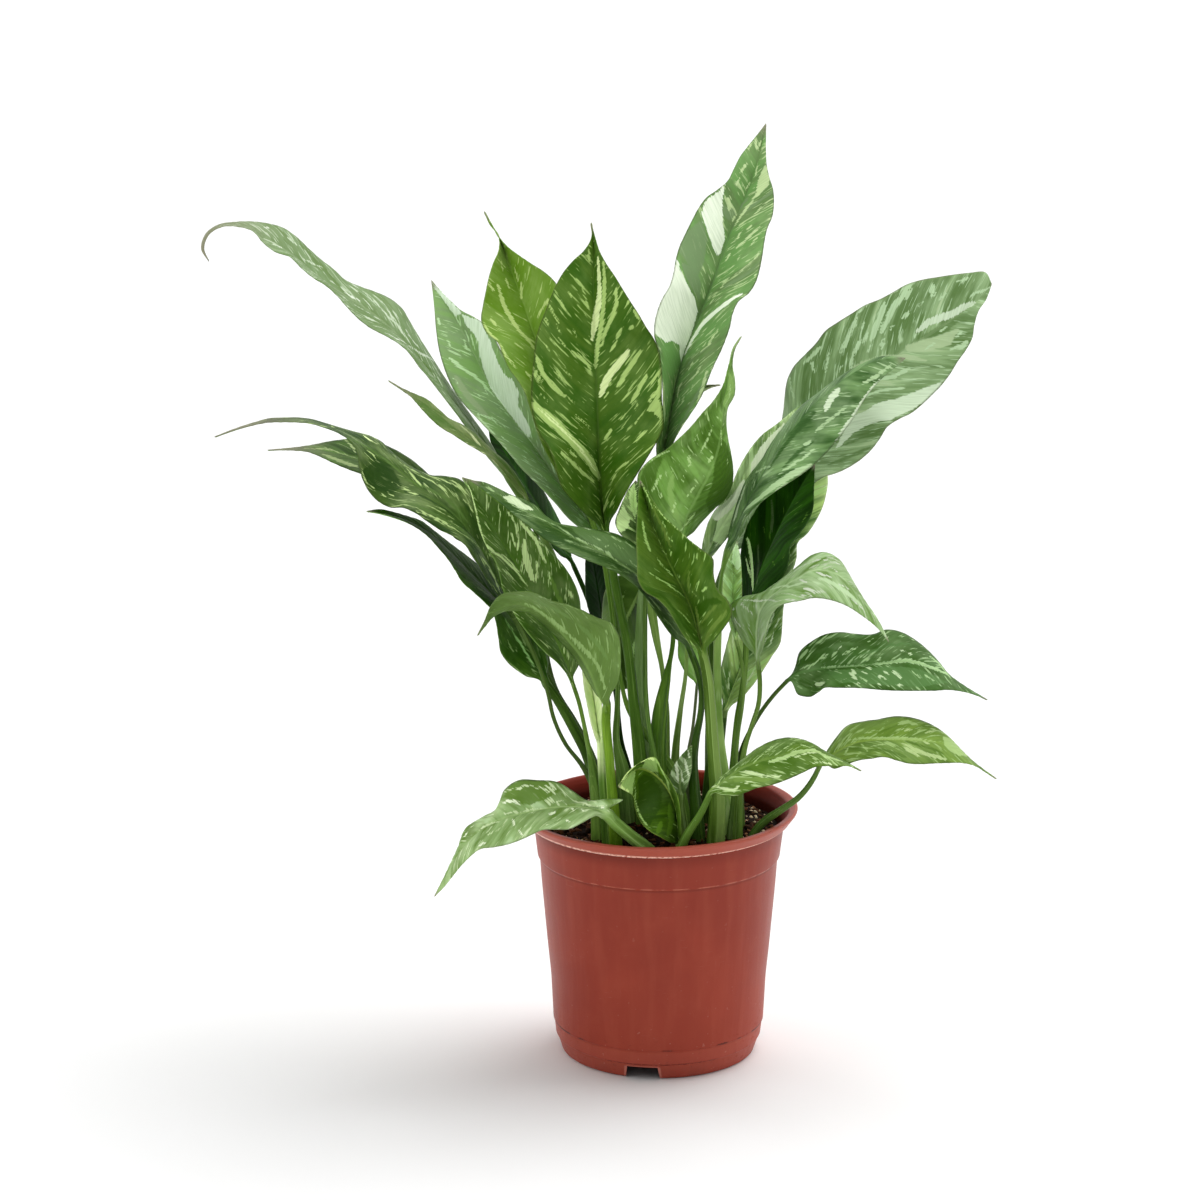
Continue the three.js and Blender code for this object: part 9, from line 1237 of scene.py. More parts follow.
def leaf_material(name, L):
    k = Net("leaf_" + name)
    lu, lx, ls0, ls, lrel, lup = (k.attr(a) for a in ("lu", "lx", "ls0", "ls", "lrel", "lup"))
    sd = float(L["seed"])
    ax = k.math("ABSOLUTE", lx)
    along = k.math("MULTIPLY", ax, math.hypot(1.0, L["sweep"]) / 1.25)
    sgn = k.math("MULTIPLY", k.math("SIGN", lx), 7.0)
    blade = k.step(lu, -L["fade"], 0.03)
    # streak space: fine across the side veins, long along them
    fine = k.vec(k.math("MULTIPLY", ls0, 0.42), k.math("MULTIPLY", along, 0.085), k.math("ADD", sgn, sd))
    hair = k.vec(k.math("MULTIPLY", ls0, 1.15), k.math("MULTIPLY", along, 0.10), k.math("ADD", sgn, sd + 3.1))
    broad = k.vec(k.math("MULTIPLY", ls0, 0.10), k.math("MULTIPLY", along, 0.030), k.math("ADD", sgn, sd + 9.7))
    cloud = k.vec(k.math("MULTIPLY", ls, 0.05), k.math("MULTIPLY", lx, 0.07), sd + 5.0)
    nf = k.noise(fine, 1.0, 2.5, 0.55, 0.25)
    nh = k.noise(hair, 1.0, 2.0, 0.5)
    nbd = k.noise(broad, 1.0, 3.0, 0.6, 0.6)
    nc = k.noise(cloud, 1.0, 3.0, 0.55)
    c0, c1, c2, c3 = (srgb(*c) for c in L["cols"])      # dark, mid, pale, palest
    # green ground: soft change of tone and faint vein lines
    g = k.mix(k.step(nbd, 0.35, 0.68), c0, c1)
    g = k.mix(k.math("MULTIPLY", k.step(nc, 0.42, 0.72), L["cloud"]), g, c2)
    g = k.mix(k.math("MULTIPLY", k.step(nh, 0.52, 0.80), 0.35), g, c1)
    vein = k.math("POWER", k.math("ADD", k.math("MULTIPLY", k.math("COSINE", k.math("MULTIPLY", ls0, 2 * math.pi / L["pitch"])), 0.5), 0.5), 6.0)
    g = k.mix(k.math("MULTIPLY", vein, 0.22), g, c0)
    # broken flecks along the veins
    t = L["fleck"]
    fl = k.step(nf, t, t + 0.045)
    keep = k.step(k.noise(cloud, 2.3, 1.0), 0.34, 0.52)
    fl = k.math("MULTIPLY", fl, keep)
    fl = k.math("MULTIPLY", fl, k.step(lrel, 0.03, 0.10))
    g = k.mix(k.math("MULTIPLY", fl, L["fleck_mix"]), g, c2)
    tiny = k.noise(k.vec(k.math("MULTIPLY", ls0, 0.86), k.math("MULTIPLY", along, 0.13), k.math("ADD", sgn, sd + 6.3)), 1.0, 1.5, 0.5, 0.2)
    tiny = k.math("MULTIPLY", k.step(tiny, t + 0.05, t + 0.09), k.step(lrel, 0.03, 0.10))
    g = k.mix(k.math("MULTIPLY", tiny, 0.7), g, c2)
    # grey-green sectors
    gs = k.step(nbd, L["sector"], L["sector"] + 0.05)
    g = k.mix(k.math("MULTIPLY", gs, 0.75), g, srgb(*L["grey"]))
    # drawn marks, edges broken by fine noise along the veins
    rag = k.math("MULTIPLY", k.math("SUBTRACT", k.noise(fine, 3.2, 2.0), 0.5), 2.0)
    rag = k.math("ADD", rag, k.math("MULTIPLY", k.math("SUBTRACT", nh, 0.5), 1.5))
    def mark(name_, soft=0.16):
        m = k.math("ADD", k.attr(name_), rag)
        return k.step(m, -soft, soft)
    veined = k.step(nh, 0.36, 0.62, 0.80, 1.0)
    g = k.mix(k.math("MULTIPLY", mark("m_g", 0.4), 0.85), g, srgb(*L["grey"]))
    # dark marks: mostly painted shade in folds, curled margins and creases, partly darker green
    g = k.mix(k.math("MULTIPLY", mark("m_d", 0.5), 0.85), g, c0)
    # pale marks: flecks, partly painted highlights along margins, midribs and folds
    g = k.mix(k.math("MULTIPLY", mark("m_p"), veined), g, c2)
    g = k.mix(k.math("MULTIPLY", mark("m_w"), veined), g, c3)
    # midrib and margin
    midr = k.step(ax, 0.35, 1.1, 1.0, 0.0)
    midr = k.math("MULTIPLY", midr, k.step(lu, 0.0, 0.92, 1.0, 0.15))
    g = k.mix(k.math("MULTIPLY", midr, L["midrib_mix"]), g, srgb(*L["midrib"]))
    marg = k.step(lrel, 0.955, 1.0)
    g = k.mix(k.math("MULTIPLY", marg, 0.45), g, srgb(*L["margin"]))
    # grey dry needle tip
    tipm = k.step(lu, 1.0 - L["tipgrey"], 1.0)
    g = k.mix(k.math("MULTIPLY", tipm, 0.8), g, srgb(128, 120, 104))
    # underside: paler and duller
    under = k.step(lup, 0.30, 0.45, 1.0, 0.0)
    under = k.math("MULTIPLY", under, blade)
    g = k.mix(k.math("MULTIPLY", under, L["under"]), g, srgb(*L["undercol"]))
    # petiole: smooth, faintly ribbed, a pale line along the edge of its groove painted as a highlight, and on some
    # leaves one side painted paler as painted light
    pn = k.noise(k.vec(k.math("MULTIPLY", ls, 0.035), k.math("MULTIPLY", lx, 0.42), sd), 1.0, 2.0, 0.5)
    p0, p1, p2 = (srgb(*c) for c in L["pet"])
    pc = k.mix(k.step(pn, 0.30, 0.70), p0, p1)
    rel = k.math("MULTIPLY", k.math("SIGN", lx), lrel)
    thin = k.noise(k.vec(k.math("MULTIPLY", ls, 0.05), k.math("MULTIPLY", lx, 2.4), sd + 2), 1.0, 2.0)
    pc = k.mix(k.math("MULTIPLY", k.step(thin, 0.55, 0.72), 0.30), pc, p2)
    pc = k.mix(k.math("MULTIPLY", k.step(thin, 0.46, 0.30), 0.30), pc, p0)
    # the pale line along the groove: painted highlight
    line = k.step(k.math("ABSOLUTE", k.math("SUBTRACT", rel, L["line"])), 0.03, 0.11, 1.0, 0.0)
    line = k.math("MULTIPLY", line, k.step(k.noise(k.vec(k.math("MULTIPLY", ls, 0.02), sd, 0.0), 1.0, 2.0), 0.36, 0.56))
    pc = k.mix(k.math("MULTIPLY", line, L["line_mix"]), pc, p2)
    # one side of the petiole paler: painted light
    half = k.step(rel, L["line"] - 0.12, L["line"] + 0.12)
    pc = k.mix(k.math("MULTIPLY", half, L["two_tone"]), pc, p2)
    spk = k.noise(k.vec(k.math("MULTIPLY", ls, 0.5), k.math("MULTIPLY", lx, 2.2), sd + 4), 1.0, 2.0)
    pc = k.mix(k.math("MULTIPLY", k.step(spk, 0.68, 0.74), 0.35), pc, p2)
    low = k.step(lu, -1.0, -0.86, 0.40, 0.0)
    pc = k.mix(low, pc, srgb(60, 58, 26))
    # the sides turned to the back of the plant are painted plainer and a little darker, since the front carries colours
    # brightened as painted light for the shade it sits in
    if L["back"] > 0:
        geo = k.n("ShaderNodeNewGeometry")
        ny = k.n("ShaderNodeSeparateXYZ"); k.link(geo.outputs["Normal"], ny.inputs[0])
        g = k.mix(k.math("MULTIPLY", k.step(ny.outputs[1], -0.05, 0.35), L["back"]), g, srgb(*L["backcol"]))
    col = k.mix(blade, pc, g)
    rough = k.math("ADD", k.step(nh, 0.2, 0.8, 0.40, 0.52), k.math("MULTIPLY", under, 0.12))
    b = k.n("ShaderNodeBsdfPrincipled")
    k.link(col, b.inputs["Base Color"])
    k.link(rough, b.inputs["Roughness"])
    b.inputs["IOR"].default_value = 1.45
    b.inputs["Specular IOR Level"].default_value = L["gloss"]
    cell = k.n("ShaderNodeTexVoronoi", feature="F1")
    k.link(k.vec(k.math("MULTIPLY", ls0, 1.6), k.math("MULTIPLY", lx, 1.6), sd), cell.inputs["Vector"])
    cell.inputs["Scale"].default_value = 1.6
    nrm = k.bump(cell.outputs["Distance"], 0.16, 0.0003)
    nrm = k.bump(nh, 0.30, 0.0004, nrm)
    k.link(nrm, b.inputs["Normal"])
    k.link(b.outputs[0], k.out.inputs[0])
    return k.mat


for name, L in LEAVES.items():
    ob = build_leaf(name + "_skin", L, MARKS.get(name, []))
    ob.data.materials.append(leaf_material(name, L))
    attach(ob, "root")
    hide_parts(name)

# --------------------------------------------------------------------- pot
RIM_R, POT_HEIGHT, LIP_Z, COLLAR_Z = 65.0, 119.0, 112.6, 96.0
COLLAR_R, LIP_NECK_R = 56.3, 58.9
WALL_ROWS = [(37, 51.2), (52, 52.7), (68, 54.1), (84, 55.5)]
FOOT_R, FOOT_TOP_Z, STEP_Z, WALL = 46.5, 7.4, 15.0, 1.7
BASE_UNDER_Z, BASE_PLATE = 7.0, 1.8
POT_DEEP, POT_BODY, POT_LIGHT = (146, 53, 36), (160, 63, 44), (178, 84, 62)


def outer_radius(z):
    rows = [(0, FOOT_R - 0.6), (FOOT_TOP_Z, 48.3), (STEP_Z, 49.9)] + WALL_ROWS + [(COLLAR_Z, COLLAR_R), (LIP_Z, LIP_NECK_R)]
    return float(np.interp(z, [r[0] for r in rows], [r[1] for r in rows]))


def fillet(profile, radii, steps=5):
    """Round the corners of a closed profile of (r, z)."""
    out = []
    n = len(profile)
    for i, p in enumerate(profile):
        r = radii[i]
        p = np.array(p, float)
        a = np.array(profile[i - 1], float); b = np.array(profile[(i + 1) % n], float)
        if r <= 0 or p[0] < 0.01:
            out.append(tuple(p)); continue
        da, db = a - p, b - p
        la, lb = np.linalg.norm(da), np.linalg.norm(db)
        r = min(r, la * 0.45, lb * 0.45)
        pa, pb = p + da / la * r, p + db / lb * r
        for t in np.linspace(0, 1, steps):
            q = (1 - t) ** 2 * pa + 2 * t * (1 - t) * p + t * t * pb
            out.append(tuple(q))
    return out


def build_pot():
    inner = lambda z: outer_radius(z) - WALL
    prof = [
        ((0.0, BASE_UNDER_Z + 0.6), 0), ((FOOT_R - 3.0, BASE_UNDER_Z), 0.6), ((FOOT_R - 3.2, 0.0), 0.4),
        ((FOOT_R - 0.6, 0.0), 0.7), ((48.3, FOOT_TOP_Z), 0.25), ((48.9, FOOT_TOP_Z + 0.5), 0.3),
        ((49.6, STEP_Z - 0.6), 0.3), ((50.1, STEP_Z), 0.3), *(((r, z), 4.0) for z, r in WALL_ROWS), ((COLLAR_R, COLLAR_Z - 0.4), 0.2),
        ((COLLAR_R + 1.0, COLLAR_Z + 0.5), 0.45), ((LIP_NECK_R, LIP_Z), 0.4), ((61.2, LIP_Z + 0.2), 0.7),
        ((62.8, LIP_Z + 2.6), 1.5), ((64.5, POT_HEIGHT - 1.6), 0.8), ((64.8, POT_HEIGHT - 0.4), 0.35), ((63.7, POT_HEIGHT), 0.6),
        ((61.4, POT_HEIGHT - 0.5), 0.8), ((59.6, POT_HEIGHT - 2.4), 1.4), ((57.2, LIP_Z), 1.2),
        ((inner(COLLAR_Z) + 0.8, COLLAR_Z + 1.5), 0.4), ((inner(COLLAR_Z - 1.5), COLLAR_Z - 1.5), 0.4),
        *(((inner(z), z), 4.0) for z, r in reversed(WALL_ROWS)),
        ((inner(STEP_Z), STEP_Z), 1.0), ((46.6, BASE_UNDER_Z + BASE_PLATE), 1.5), ((0.0, BASE_UNDER_Z + BASE_PLATE + 0.6), 0),
    ]
    rows = fillet([p for p, _ in prof], [r for _, r in prof])
    # more rows on the long straight walls
    dense = []
    for a, b in zip(rows, rows[1:]):
        d = math.hypot(b[0] - a[0], b[1] - a[1])
        k = max(1, int(d / 4.0))
        for i in range(k):
            dense.append((a[0] + (b[0] - a[0]) * i / k, a[1] + (b[1] - a[1]) * i / k))
    dense.append(rows[-1])
    seg = 224
    verts, faces = [], []
    ring0 = []
    for r, z in dense:
        ids = []
        if r < 0.01:
            verts.append((0, 0, z)); ids = [len(verts) - 1] * seg
        else:
            for i in range(seg):
                a = 2 * math.pi * i / seg
                rr, zz = r, z
                if z > COLLAR_Z:
                    k = min(1, (z - COLLAR_Z) / (POT_HEIGHT - COLLAR_Z))
                    rr = r * (1 + (0.002 * math.cos(a - 0.1) + 0.008 * math.cos(2 * a + 0.2)) * k)
                    zz = z + 0.7 * k * math.cos(a + 0.3)
                    # uneven moulding of the lip
                    if r > 60:
                        zz += 0.22 * math.sin(5 * a + 1.0) * math.sin(3 * a) * (1 if z > LIP_Z + 4 else 0.5)
                        rr += 0.18 * math.sin(7 * a + 2.0) * math.sin(2 * a + 1)
                rr += 0.05 * math.sin(3 * a + z * 0.05)
                verts.append((rr * math.cos(a), rr * math.sin(a), zz))
                ids.append(len(verts) - 1)
        ring0.append(ids)
    for a, b in zip(ring0, ring0[1:]):
        for i in range(seg):
            j = (i + 1) % seg
            f = [a[i], a[j], b[j], b[i]]
            f = [v for n, v in enumerate(f) if v not in f[:n]]
            if len(f) > 2:
                faces.append(tuple(f))
    ob = new_object("pot_body", to_world(verts), faces)
    bm = bmesh.new(); bm.from_mesh(ob.data); bmesh.ops.recalc_face_normals(bm, faces=bm.faces); bm.to_mesh(ob.data); bm.free()
    # notches in the foot ring and drainage holes, cut out
    cut_v, cut_f = [], []
    def add_box(cx, cy, cz, sx, sy, sz, ang):
        n = len(cut_v)
        c, s = math.cos(ang), math.sin(ang)
        for dz in (-1, 1):
            for dx, dy in ((-1, -1), (1, -1), (1, 1), (-1, 1)):
                x, y = cx + dx * sx, cy + dy * sy * (1.10 if dz < 0 else 0.90)
                cut_v.append((x * c - y * s, x * s + y * c, cz + dz * sz))
        cut_f.extend([(n, n + 3, n + 2, n + 1), (n + 4, n + 5, n + 6, n + 7), (n, n + 1, n + 5, n + 4),
                      (n + 1, n + 2, n + 6, n + 5), (n + 2, n + 3, n + 7, n + 6), (n + 3, n, n + 4, n + 7)])
    for i in range(3):
        add_box(FOOT_R - 1, 0, 0.9, 7, 8, 5.1, math.radians(-99.8 + 120 * i))
    for i in range(6):
        a = (i + 0.5) / 6 * 2 * math.pi
        n = len(cut_v); m = 28
        for dz in (-4, 4):
            for q in range(m):
                t = 2 * math.pi * q / m
                cut_v.append((27 * math.cos(a) + 3.6 * math.cos(t), 27 * math.sin(a) + 3.6 * math.sin(t), 8 + dz))
        cut_f.append(tuple(n + m - 1 - q for q in range(m)))
        cut_f.append(tuple(n + m + q for q in range(m)))
        for q in range(m):
            r = (q + 1) % m
            cut_f.append((n + q, n + r, n + m + r, n + m + q))
    cutter = new_object("pot_cutter", to_world(cut_v), cut_f, smooth=False)
    mod = ob.modifiers.new("cut", "BOOLEAN"); mod.operation = "DIFFERENCE"; mod.object = cutter; mod.solver = "EXACT"
    dg = bpy.context.evaluated_depsgraph_get()
    me = bpy.data.meshes.new_from_object(ob.evaluated_get(dg))
    ob.modifiers.clear()
    ob.data = me
    bpy.data.objects.remove(cutter)
    me.polygons.foreach_set("use_smooth", [True] * len(me.polygons))
    # keep the corners crisp
    bm = bmesh.new(); bm.from_mesh(me)
    for e in bm.edges:
        if len(e.link_faces) == 2 and e.calc_face_angle(0) > math.radians(38):
            e.smooth = False
    bm.to_mesh(me); bm.free()
    return ob


def pot_material():
    k = Net("terracotta_plastic")
    geo = k.n("ShaderNodeNewGeometry")
    pos = geo.outputs["Position"]
    sep = k.n("ShaderNodeSeparateXYZ"); k.link(pos, sep.inputs[0])
    dx = k.math("SUBTRACT", sep.outputs[0], POT_AXIS[0] * MM)
    dy = k.math("SUBTRACT", sep.outputs[1], POT_AXIS[1] * MM)
    ang = k.math("ARCTAN2", dy, dx)
    z = k.math("MULTIPLY", sep.outputs[2], 1000.0)
    rad = k.math("MULTIPLY", k.math("SQRT", k.math("ADD", k.math("MULTIPLY", dx, dx), k.math("MULTIPLY", dy, dy))), 1000.0)
    arc = k.math("MULTIPLY", ang, 55.0)
    broad = k.noise(pos, 16.0, 3.0, 0.55)
    fine = k.noise(pos, 1100.0, 3.0, 0.6)
    cloud = k.noise(pos, 70.0, 3.0, 0.6)
    flow = k.noise(k.vec(k.math("MULTIPLY", arc, 0.16), k.math("MULTIPLY", z, 0.02), 0.0), 1.0, 3.0, 0.5)
    col = k.mix(k.step(broad, 0.32, 0.70), srgb(*POT_DEEP), srgb(*POT_BODY))
    col = k.mix(k.math("MULTIPLY", k.step(flow, 0.42, 0.75), 0.22), col, srgb(*POT_LIGHT))
    col = k.mix(k.math("MULTIPLY", k.step(cloud, 0.52, 0.74), 0.12), col, srgb(*POT_LIGHT))
    # faint hairline scratches, mostly around and down the wall
    hair = k.noise(k.vec(k.math("MULTIPLY", arc, 0.10), k.math("MULTIPLY", z, 1.9), 4.0), 1.0, 2.0, 0.5)
    hair2 = k.noise(k.vec(k.math("MULTIPLY", arc, 1.7), k.math("MULTIPLY", z, 0.10), 8.0), 1.0, 2.0, 0.5)
    scr = k.math("MAXIMUM", k.step(hair, 0.685, 0.73), k.math("MULTIPLY", k.step(hair2, 0.70, 0.75), 0.7))
    scr = k.math("MULTIPLY", scr, k.step(cloud, 0.50, 0.62))
    col = k.mix(k.math("MULTIPLY", scr, 0.20), col, srgb(186, 122, 106))
    # low on the wall: small dark rubs and pale nicks
    low = k.step(z, 6.0, 40.0, 1.0, 0.0)
    rub = k.noise(k.vec(k.math("MULTIPLY", arc, 0.30), k.math("MULTIPLY", z, 0.42), 2.0), 1.0, 3.0, 0.6)
    col = k.mix(k.math("MULTIPLY", k.math("MULTIPLY", k.step(rub, 0.60, 0.72), low), 0.38), col, srgb(104, 48, 38))
    nick = k.noise(pos, 520.0, 1.0)
    col = k.mix(k.math("MULTIPLY", k.step(nick, 0.735, 0.775), k.math("MULTIPLY", k.step(z, 2.0, 60.0, 0.30, 0.10), 1.0)), col, srgb(196, 138, 122))
    dust = k.math("MULTIPLY", k.step(z, 0.0, 9.0, 0.35, 0.0), k.step(cloud, 0.40, 0.62))
    col = k.mix(dust, col, srgb(112, 62, 50))
    # which way the wall faces: 1 outside, -1 inside
    nsep = k.n("ShaderNodeSeparateXYZ"); k.link(geo.outputs["Normal"], nsep.inputs[0])
    faces = k.math("DIVIDE", k.math("ADD", k.math("MULTIPLY", nsep.outputs[0], dx), k.math("MULTIPLY", nsep.outputs[1], dy)), k.math("MULTIPLY", rad, 0.001))
    outw = k.step(faces, -0.15, 0.15)
    # the lip is painted a tone lighter as painted light, with a rough pale flash along its lower edge: moulding burrs,
    # painted paler as a painted highlight
    lip_painted_light = k.math("MULTIPLY", k.step(z, LIP_Z + 0.1, LIP_Z + 0.7), outw)
    col = k.mix(k.math("MULTIPLY", lip_painted_light, 0.62), col, srgb(182, 92, 74))
    burr = k.noise(k.vec(k.math("MULTIPLY", arc, 0.55), k.math("MULTIPLY", z, 0.9), 6.0), 1.0, 3.0, 0.65)
    zline = k.math("ADD", z, k.math("MULTIPLY", burr, 1.1))
    flash_burr_highlight = k.math("MULTIPLY", k.step(k.math("ABSOLUTE", k.math("SUBTRACT", zline, LIP_Z + 1.35)), 0.20, 0.85, 1.0, 0.0), k.step(burr, 0.38, 0.54))
    col = k.mix(k.math("MULTIPLY", k.math("MULTIPLY", flash_burr_highlight, outw), 0.86), col, srgb(250, 200, 180))
    # a second ragged pale line higher on the lip: more flash, painted as a highlight
    tatter = k.noise(k.vec(k.math("MULTIPLY", arc, 0.95), k.math("MULTIPLY", z, 0.5), 11.0), 1.0, 3.0, 0.7)
    tline = k.math("ADD", z, k.math("MULTIPLY", tatter, 3.0))
    ragged_flash_highlight = k.math("MULTIPLY", k.step(k.math("ABSOLUTE", k.math("SUBTRACT", tline, LIP_Z + 2.3)), 0.30, 0.95, 1.0, 0.0), k.step(tatter, 0.50, 0.62))
    col = k.mix(k.math("MULTIPLY", k.math("MULTIPLY", ragged_flash_highlight, outw), 0.75), col, srgb(255, 214, 196))
    # a dark band under the lip, stronger on the left: painted shade cast by the lip
    under_lip_shade = k.math("MULTIPLY", k.math("MULTIPLY", k.step(z, LIP_Z - 7.5, LIP_Z - 1.0), k.step(z, LIP_Z + 0.1, LIP_Z + 0.5, 1.0, 0.0)), outw)
    left = k.step(dx, -0.050, 0.020, 1.0, 0.62)
    col = k.mix(k.math("MULTIPLY", k.math("MULTIPLY", under_lip_shade, left), 0.66), col, srgb(104, 30, 17))
    # crumbs of the mix stuck to the lip, mostly on its right side
    crumb = k.math("MULTIPLY", k.step(k.noise(pos, 640.0, 2.0, 0.6), 0.66, 0.70), k.step(z, LIP_Z + 1.0, LIP_Z + 2.0))
    crumb = k.math("MULTIPLY", crumb, k.step(dx, 0.030, 0.055, 0.10, 1.0))
    col = k.mix(k.math("MULTIPLY", crumb, 0.8), col, srgb(92, 24, 14))
    # collar line, caught by the light in places
    edge = k.math("MULTIPLY", k.step(k.math("ABSOLUTE", k.math("SUBTRACT", z, COLLAR_Z + 0.45)), 0.12, 0.50, 1.0, 0.0), k.step(flow, 0.40, 0.56))
    col = k.mix(k.math("MULTIPLY", k.math("MULTIPLY", edge, outw), 0.42), col, srgb(214, 136, 112))
    # a dark band just below the collar line: painted shade under the collar's step
    under = k.math("MULTIPLY", k.step(k.math("ABSOLUTE", k.math("SUBTRACT", z, COLLAR_Z - 0.7)), 0.2, 0.9, 1.0, 0.0), outw)
    col = k.mix(k.math("MULTIPLY", under, 0.35), col, srgb(100, 38, 27))
    # the foot is painted a little paler than the wall: painted light
    foot_painted_light = k.math("MULTIPLY", k.step(z, STEP_Z - 1.6, STEP_Z - 0.4, 1.0, 0.0), outw)
    col = k.mix(k.math("MULTIPLY", foot_painted_light, 0.14), col, srgb(206, 112, 94))
    # broken dark dashes along the foot's step lines
    deg = k.math("MULTIPLY", ang, 180.0 / math.pi)
    wob = k.math("MULTIPLY", k.math("SUBTRACT", burr, 0.5), 1.2)
    def window(a, b, soft=1.2):
        return k.math("MULTIPLY", k.step(deg, a - soft, a + soft), k.step(deg, b - soft, b + soft, 1.0, 0.0))
    dash = 0.0
    for a, b, s in ((-168, -147, 0.95), (-139.5, -135, 0.8), (-88.5, -83, 0.55), (-57, -50, 0.9), (-42.5, -39.5, 0.7), (-29, -9, 0.95), (20, 34, 0.8), (70, 92, 0.7), (120, 130, 0.8)):
        dash = k.math("MAXIMUM", dash, k.math("MULTIPLY", window(a, b), s))
    zw = k.math("ADD", z, wob)
    d1 = k.math("MULTIPLY", k.step(k.math("ABSOLUTE", k.math("SUBTRACT", zw, STEP_Z + 0.1)), 0.25, 0.62, 1.0, 0.0), dash)
    d2 = k.math("MULTIPLY", k.step(k.math("ABSOLUTE", k.math("SUBTRACT", zw, FOOT_TOP_Z + 0.2)), 0.15, 0.55, 1.0, 0.0),
                k.math("MULTIPLY", k.math("MAXIMUM", window(-120, -57, 3.0), window(10, 60, 3.0)), k.step(burr, 0.38, 0.54)))
    col = k.mix(k.math("MULTIPLY", k.math("MULTIPLY", d1, outw), 0.85), col, srgb(56, 20, 14))
    col = k.mix(k.math("MULTIPLY", k.math("MULTIPLY", d2, outw), 0.80), col, srgb(104, 22, 12))
    # light caught by the edges of the foot notches
    turn = k.math("SUBTRACT", k.math("MODULO", k.math("ADD", deg, 99.8 + 60.0 + 360.0), 120.0), 60.0)
    across = k.math("ABSOLUTE", k.math("MULTIPLY", turn, 46.5 * math.pi / 180.0))
    rim = k.math("MULTIPLY", k.step(k.math("ABSOLUTE", k.math("SUBTRACT", across, k.math("SUBTRACT", 8.5, k.math("MULTIPLY", z, 0.14)))), 0.35, 0.9, 1.0, 0.0), k.step(z, 5.8, 6.4, 1.0, 0.0))
    rim = k.math("MAXIMUM", rim, k.math("MULTIPLY", k.step(k.math("ABSOLUTE", k.math("SUBTRACT", z, 6.35)), 0.1, 0.4, 0.6, 0.0), k.step(across, 7.0, 7.8, 1.0, 0.0)))
    col = k.mix(k.math("MULTIPLY", k.math("MULTIPLY", rim, outw), 0.55), col, srgb(214, 140, 124))
    # the hollow under the base is painted dark: painted shade
    base_hollow_shade = k.math("MULTIPLY", k.math("SUBTRACT", 1.0, outw), k.step(z, BASE_UNDER_Z + 0.9, BASE_UNDER_Z + 1.2, 1.0, 0.0))
    col = k.mix(k.math("MULTIPLY", base_hollow_shade, 0.9), col, srgb(34, 18, 15))
    # inside of the wall: a darker maroon that deepens downwards, painted shade, and stained where the mix has sat
    inner_wall_shade_mask = k.math("MULTIPLY", k.math("SUBTRACT", 1.0, outw), k.step(z, 118.9, 118.0))
    col = k.mix(k.math("MULTIPLY", inner_wall_shade_mask, 0.94), col, k.mix(k.step(z, 112.0, 118.0), srgb(80, 22, 12), srgb(112, 34, 20)))
    stain = k.math("MULTIPLY", k.step(k.math("ADD", z, k.math("MULTIPLY", cloud, 7.0)), 118.5, 113.5), inner_wall_shade_mask)
    col = k.mix(k.math("MULTIPLY", stain, 0.6), col, srgb(46, 18, 11))
    b = k.n("ShaderNodeBsdfPrincipled")
    k.link(col, b.inputs["Base Color"])
    rgh = k.math("ADD", k.step(broad, 0.3, 0.7, 0.36, 0.44), k.math("MULTIPLY", k.step(fine, 0.35, 0.65), 0.05))
    rgh = k.math("ADD", rgh, k.math("MULTIPLY", k.math("MULTIPLY", k.step(rub, 0.5, 0.7), low), 0.14))
    k.link(rgh, b.inputs["Roughness"])
    b.inputs["IOR"].default_value = 1.47
    k.link(k.math("SUBTRACT", 0.22, k.math("MULTIPLY", inner_wall_shade_mask, 0.19)), b.inputs["Specular IOR Level"])
    n1 = k.bump(fine, 0.10, 0.0002)
    n2 = k.bump(flow, 0.12, 0.0010, n1)
    n3 = k.bump(scr, 0.15, 0.0001, n2)
    k.link(n3, b.inputs["Normal"])
    k.link(b.outputs[0], k.out.inputs[0])
    return k.mat


pot = build_pot()
pot.data.materials.clear()
pot.data.materials.append(pot_material())
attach(pot, "root")
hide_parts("pot")


# --------------------------------------------------------------------- potting mix
def soil_height(x, y):
    d = math.hypot(x, y)
    h = 109.4 + 1.6 * (1 - min(1, d / 50) ** 1.5)
    h += 0.9 * mnoise.noise(Vector((x * 0.09, y * 0.09, 1.0))) + 0.6 * mnoise.noise(Vector((x * 0.25, y * 0.25, 4.0)))
    return h


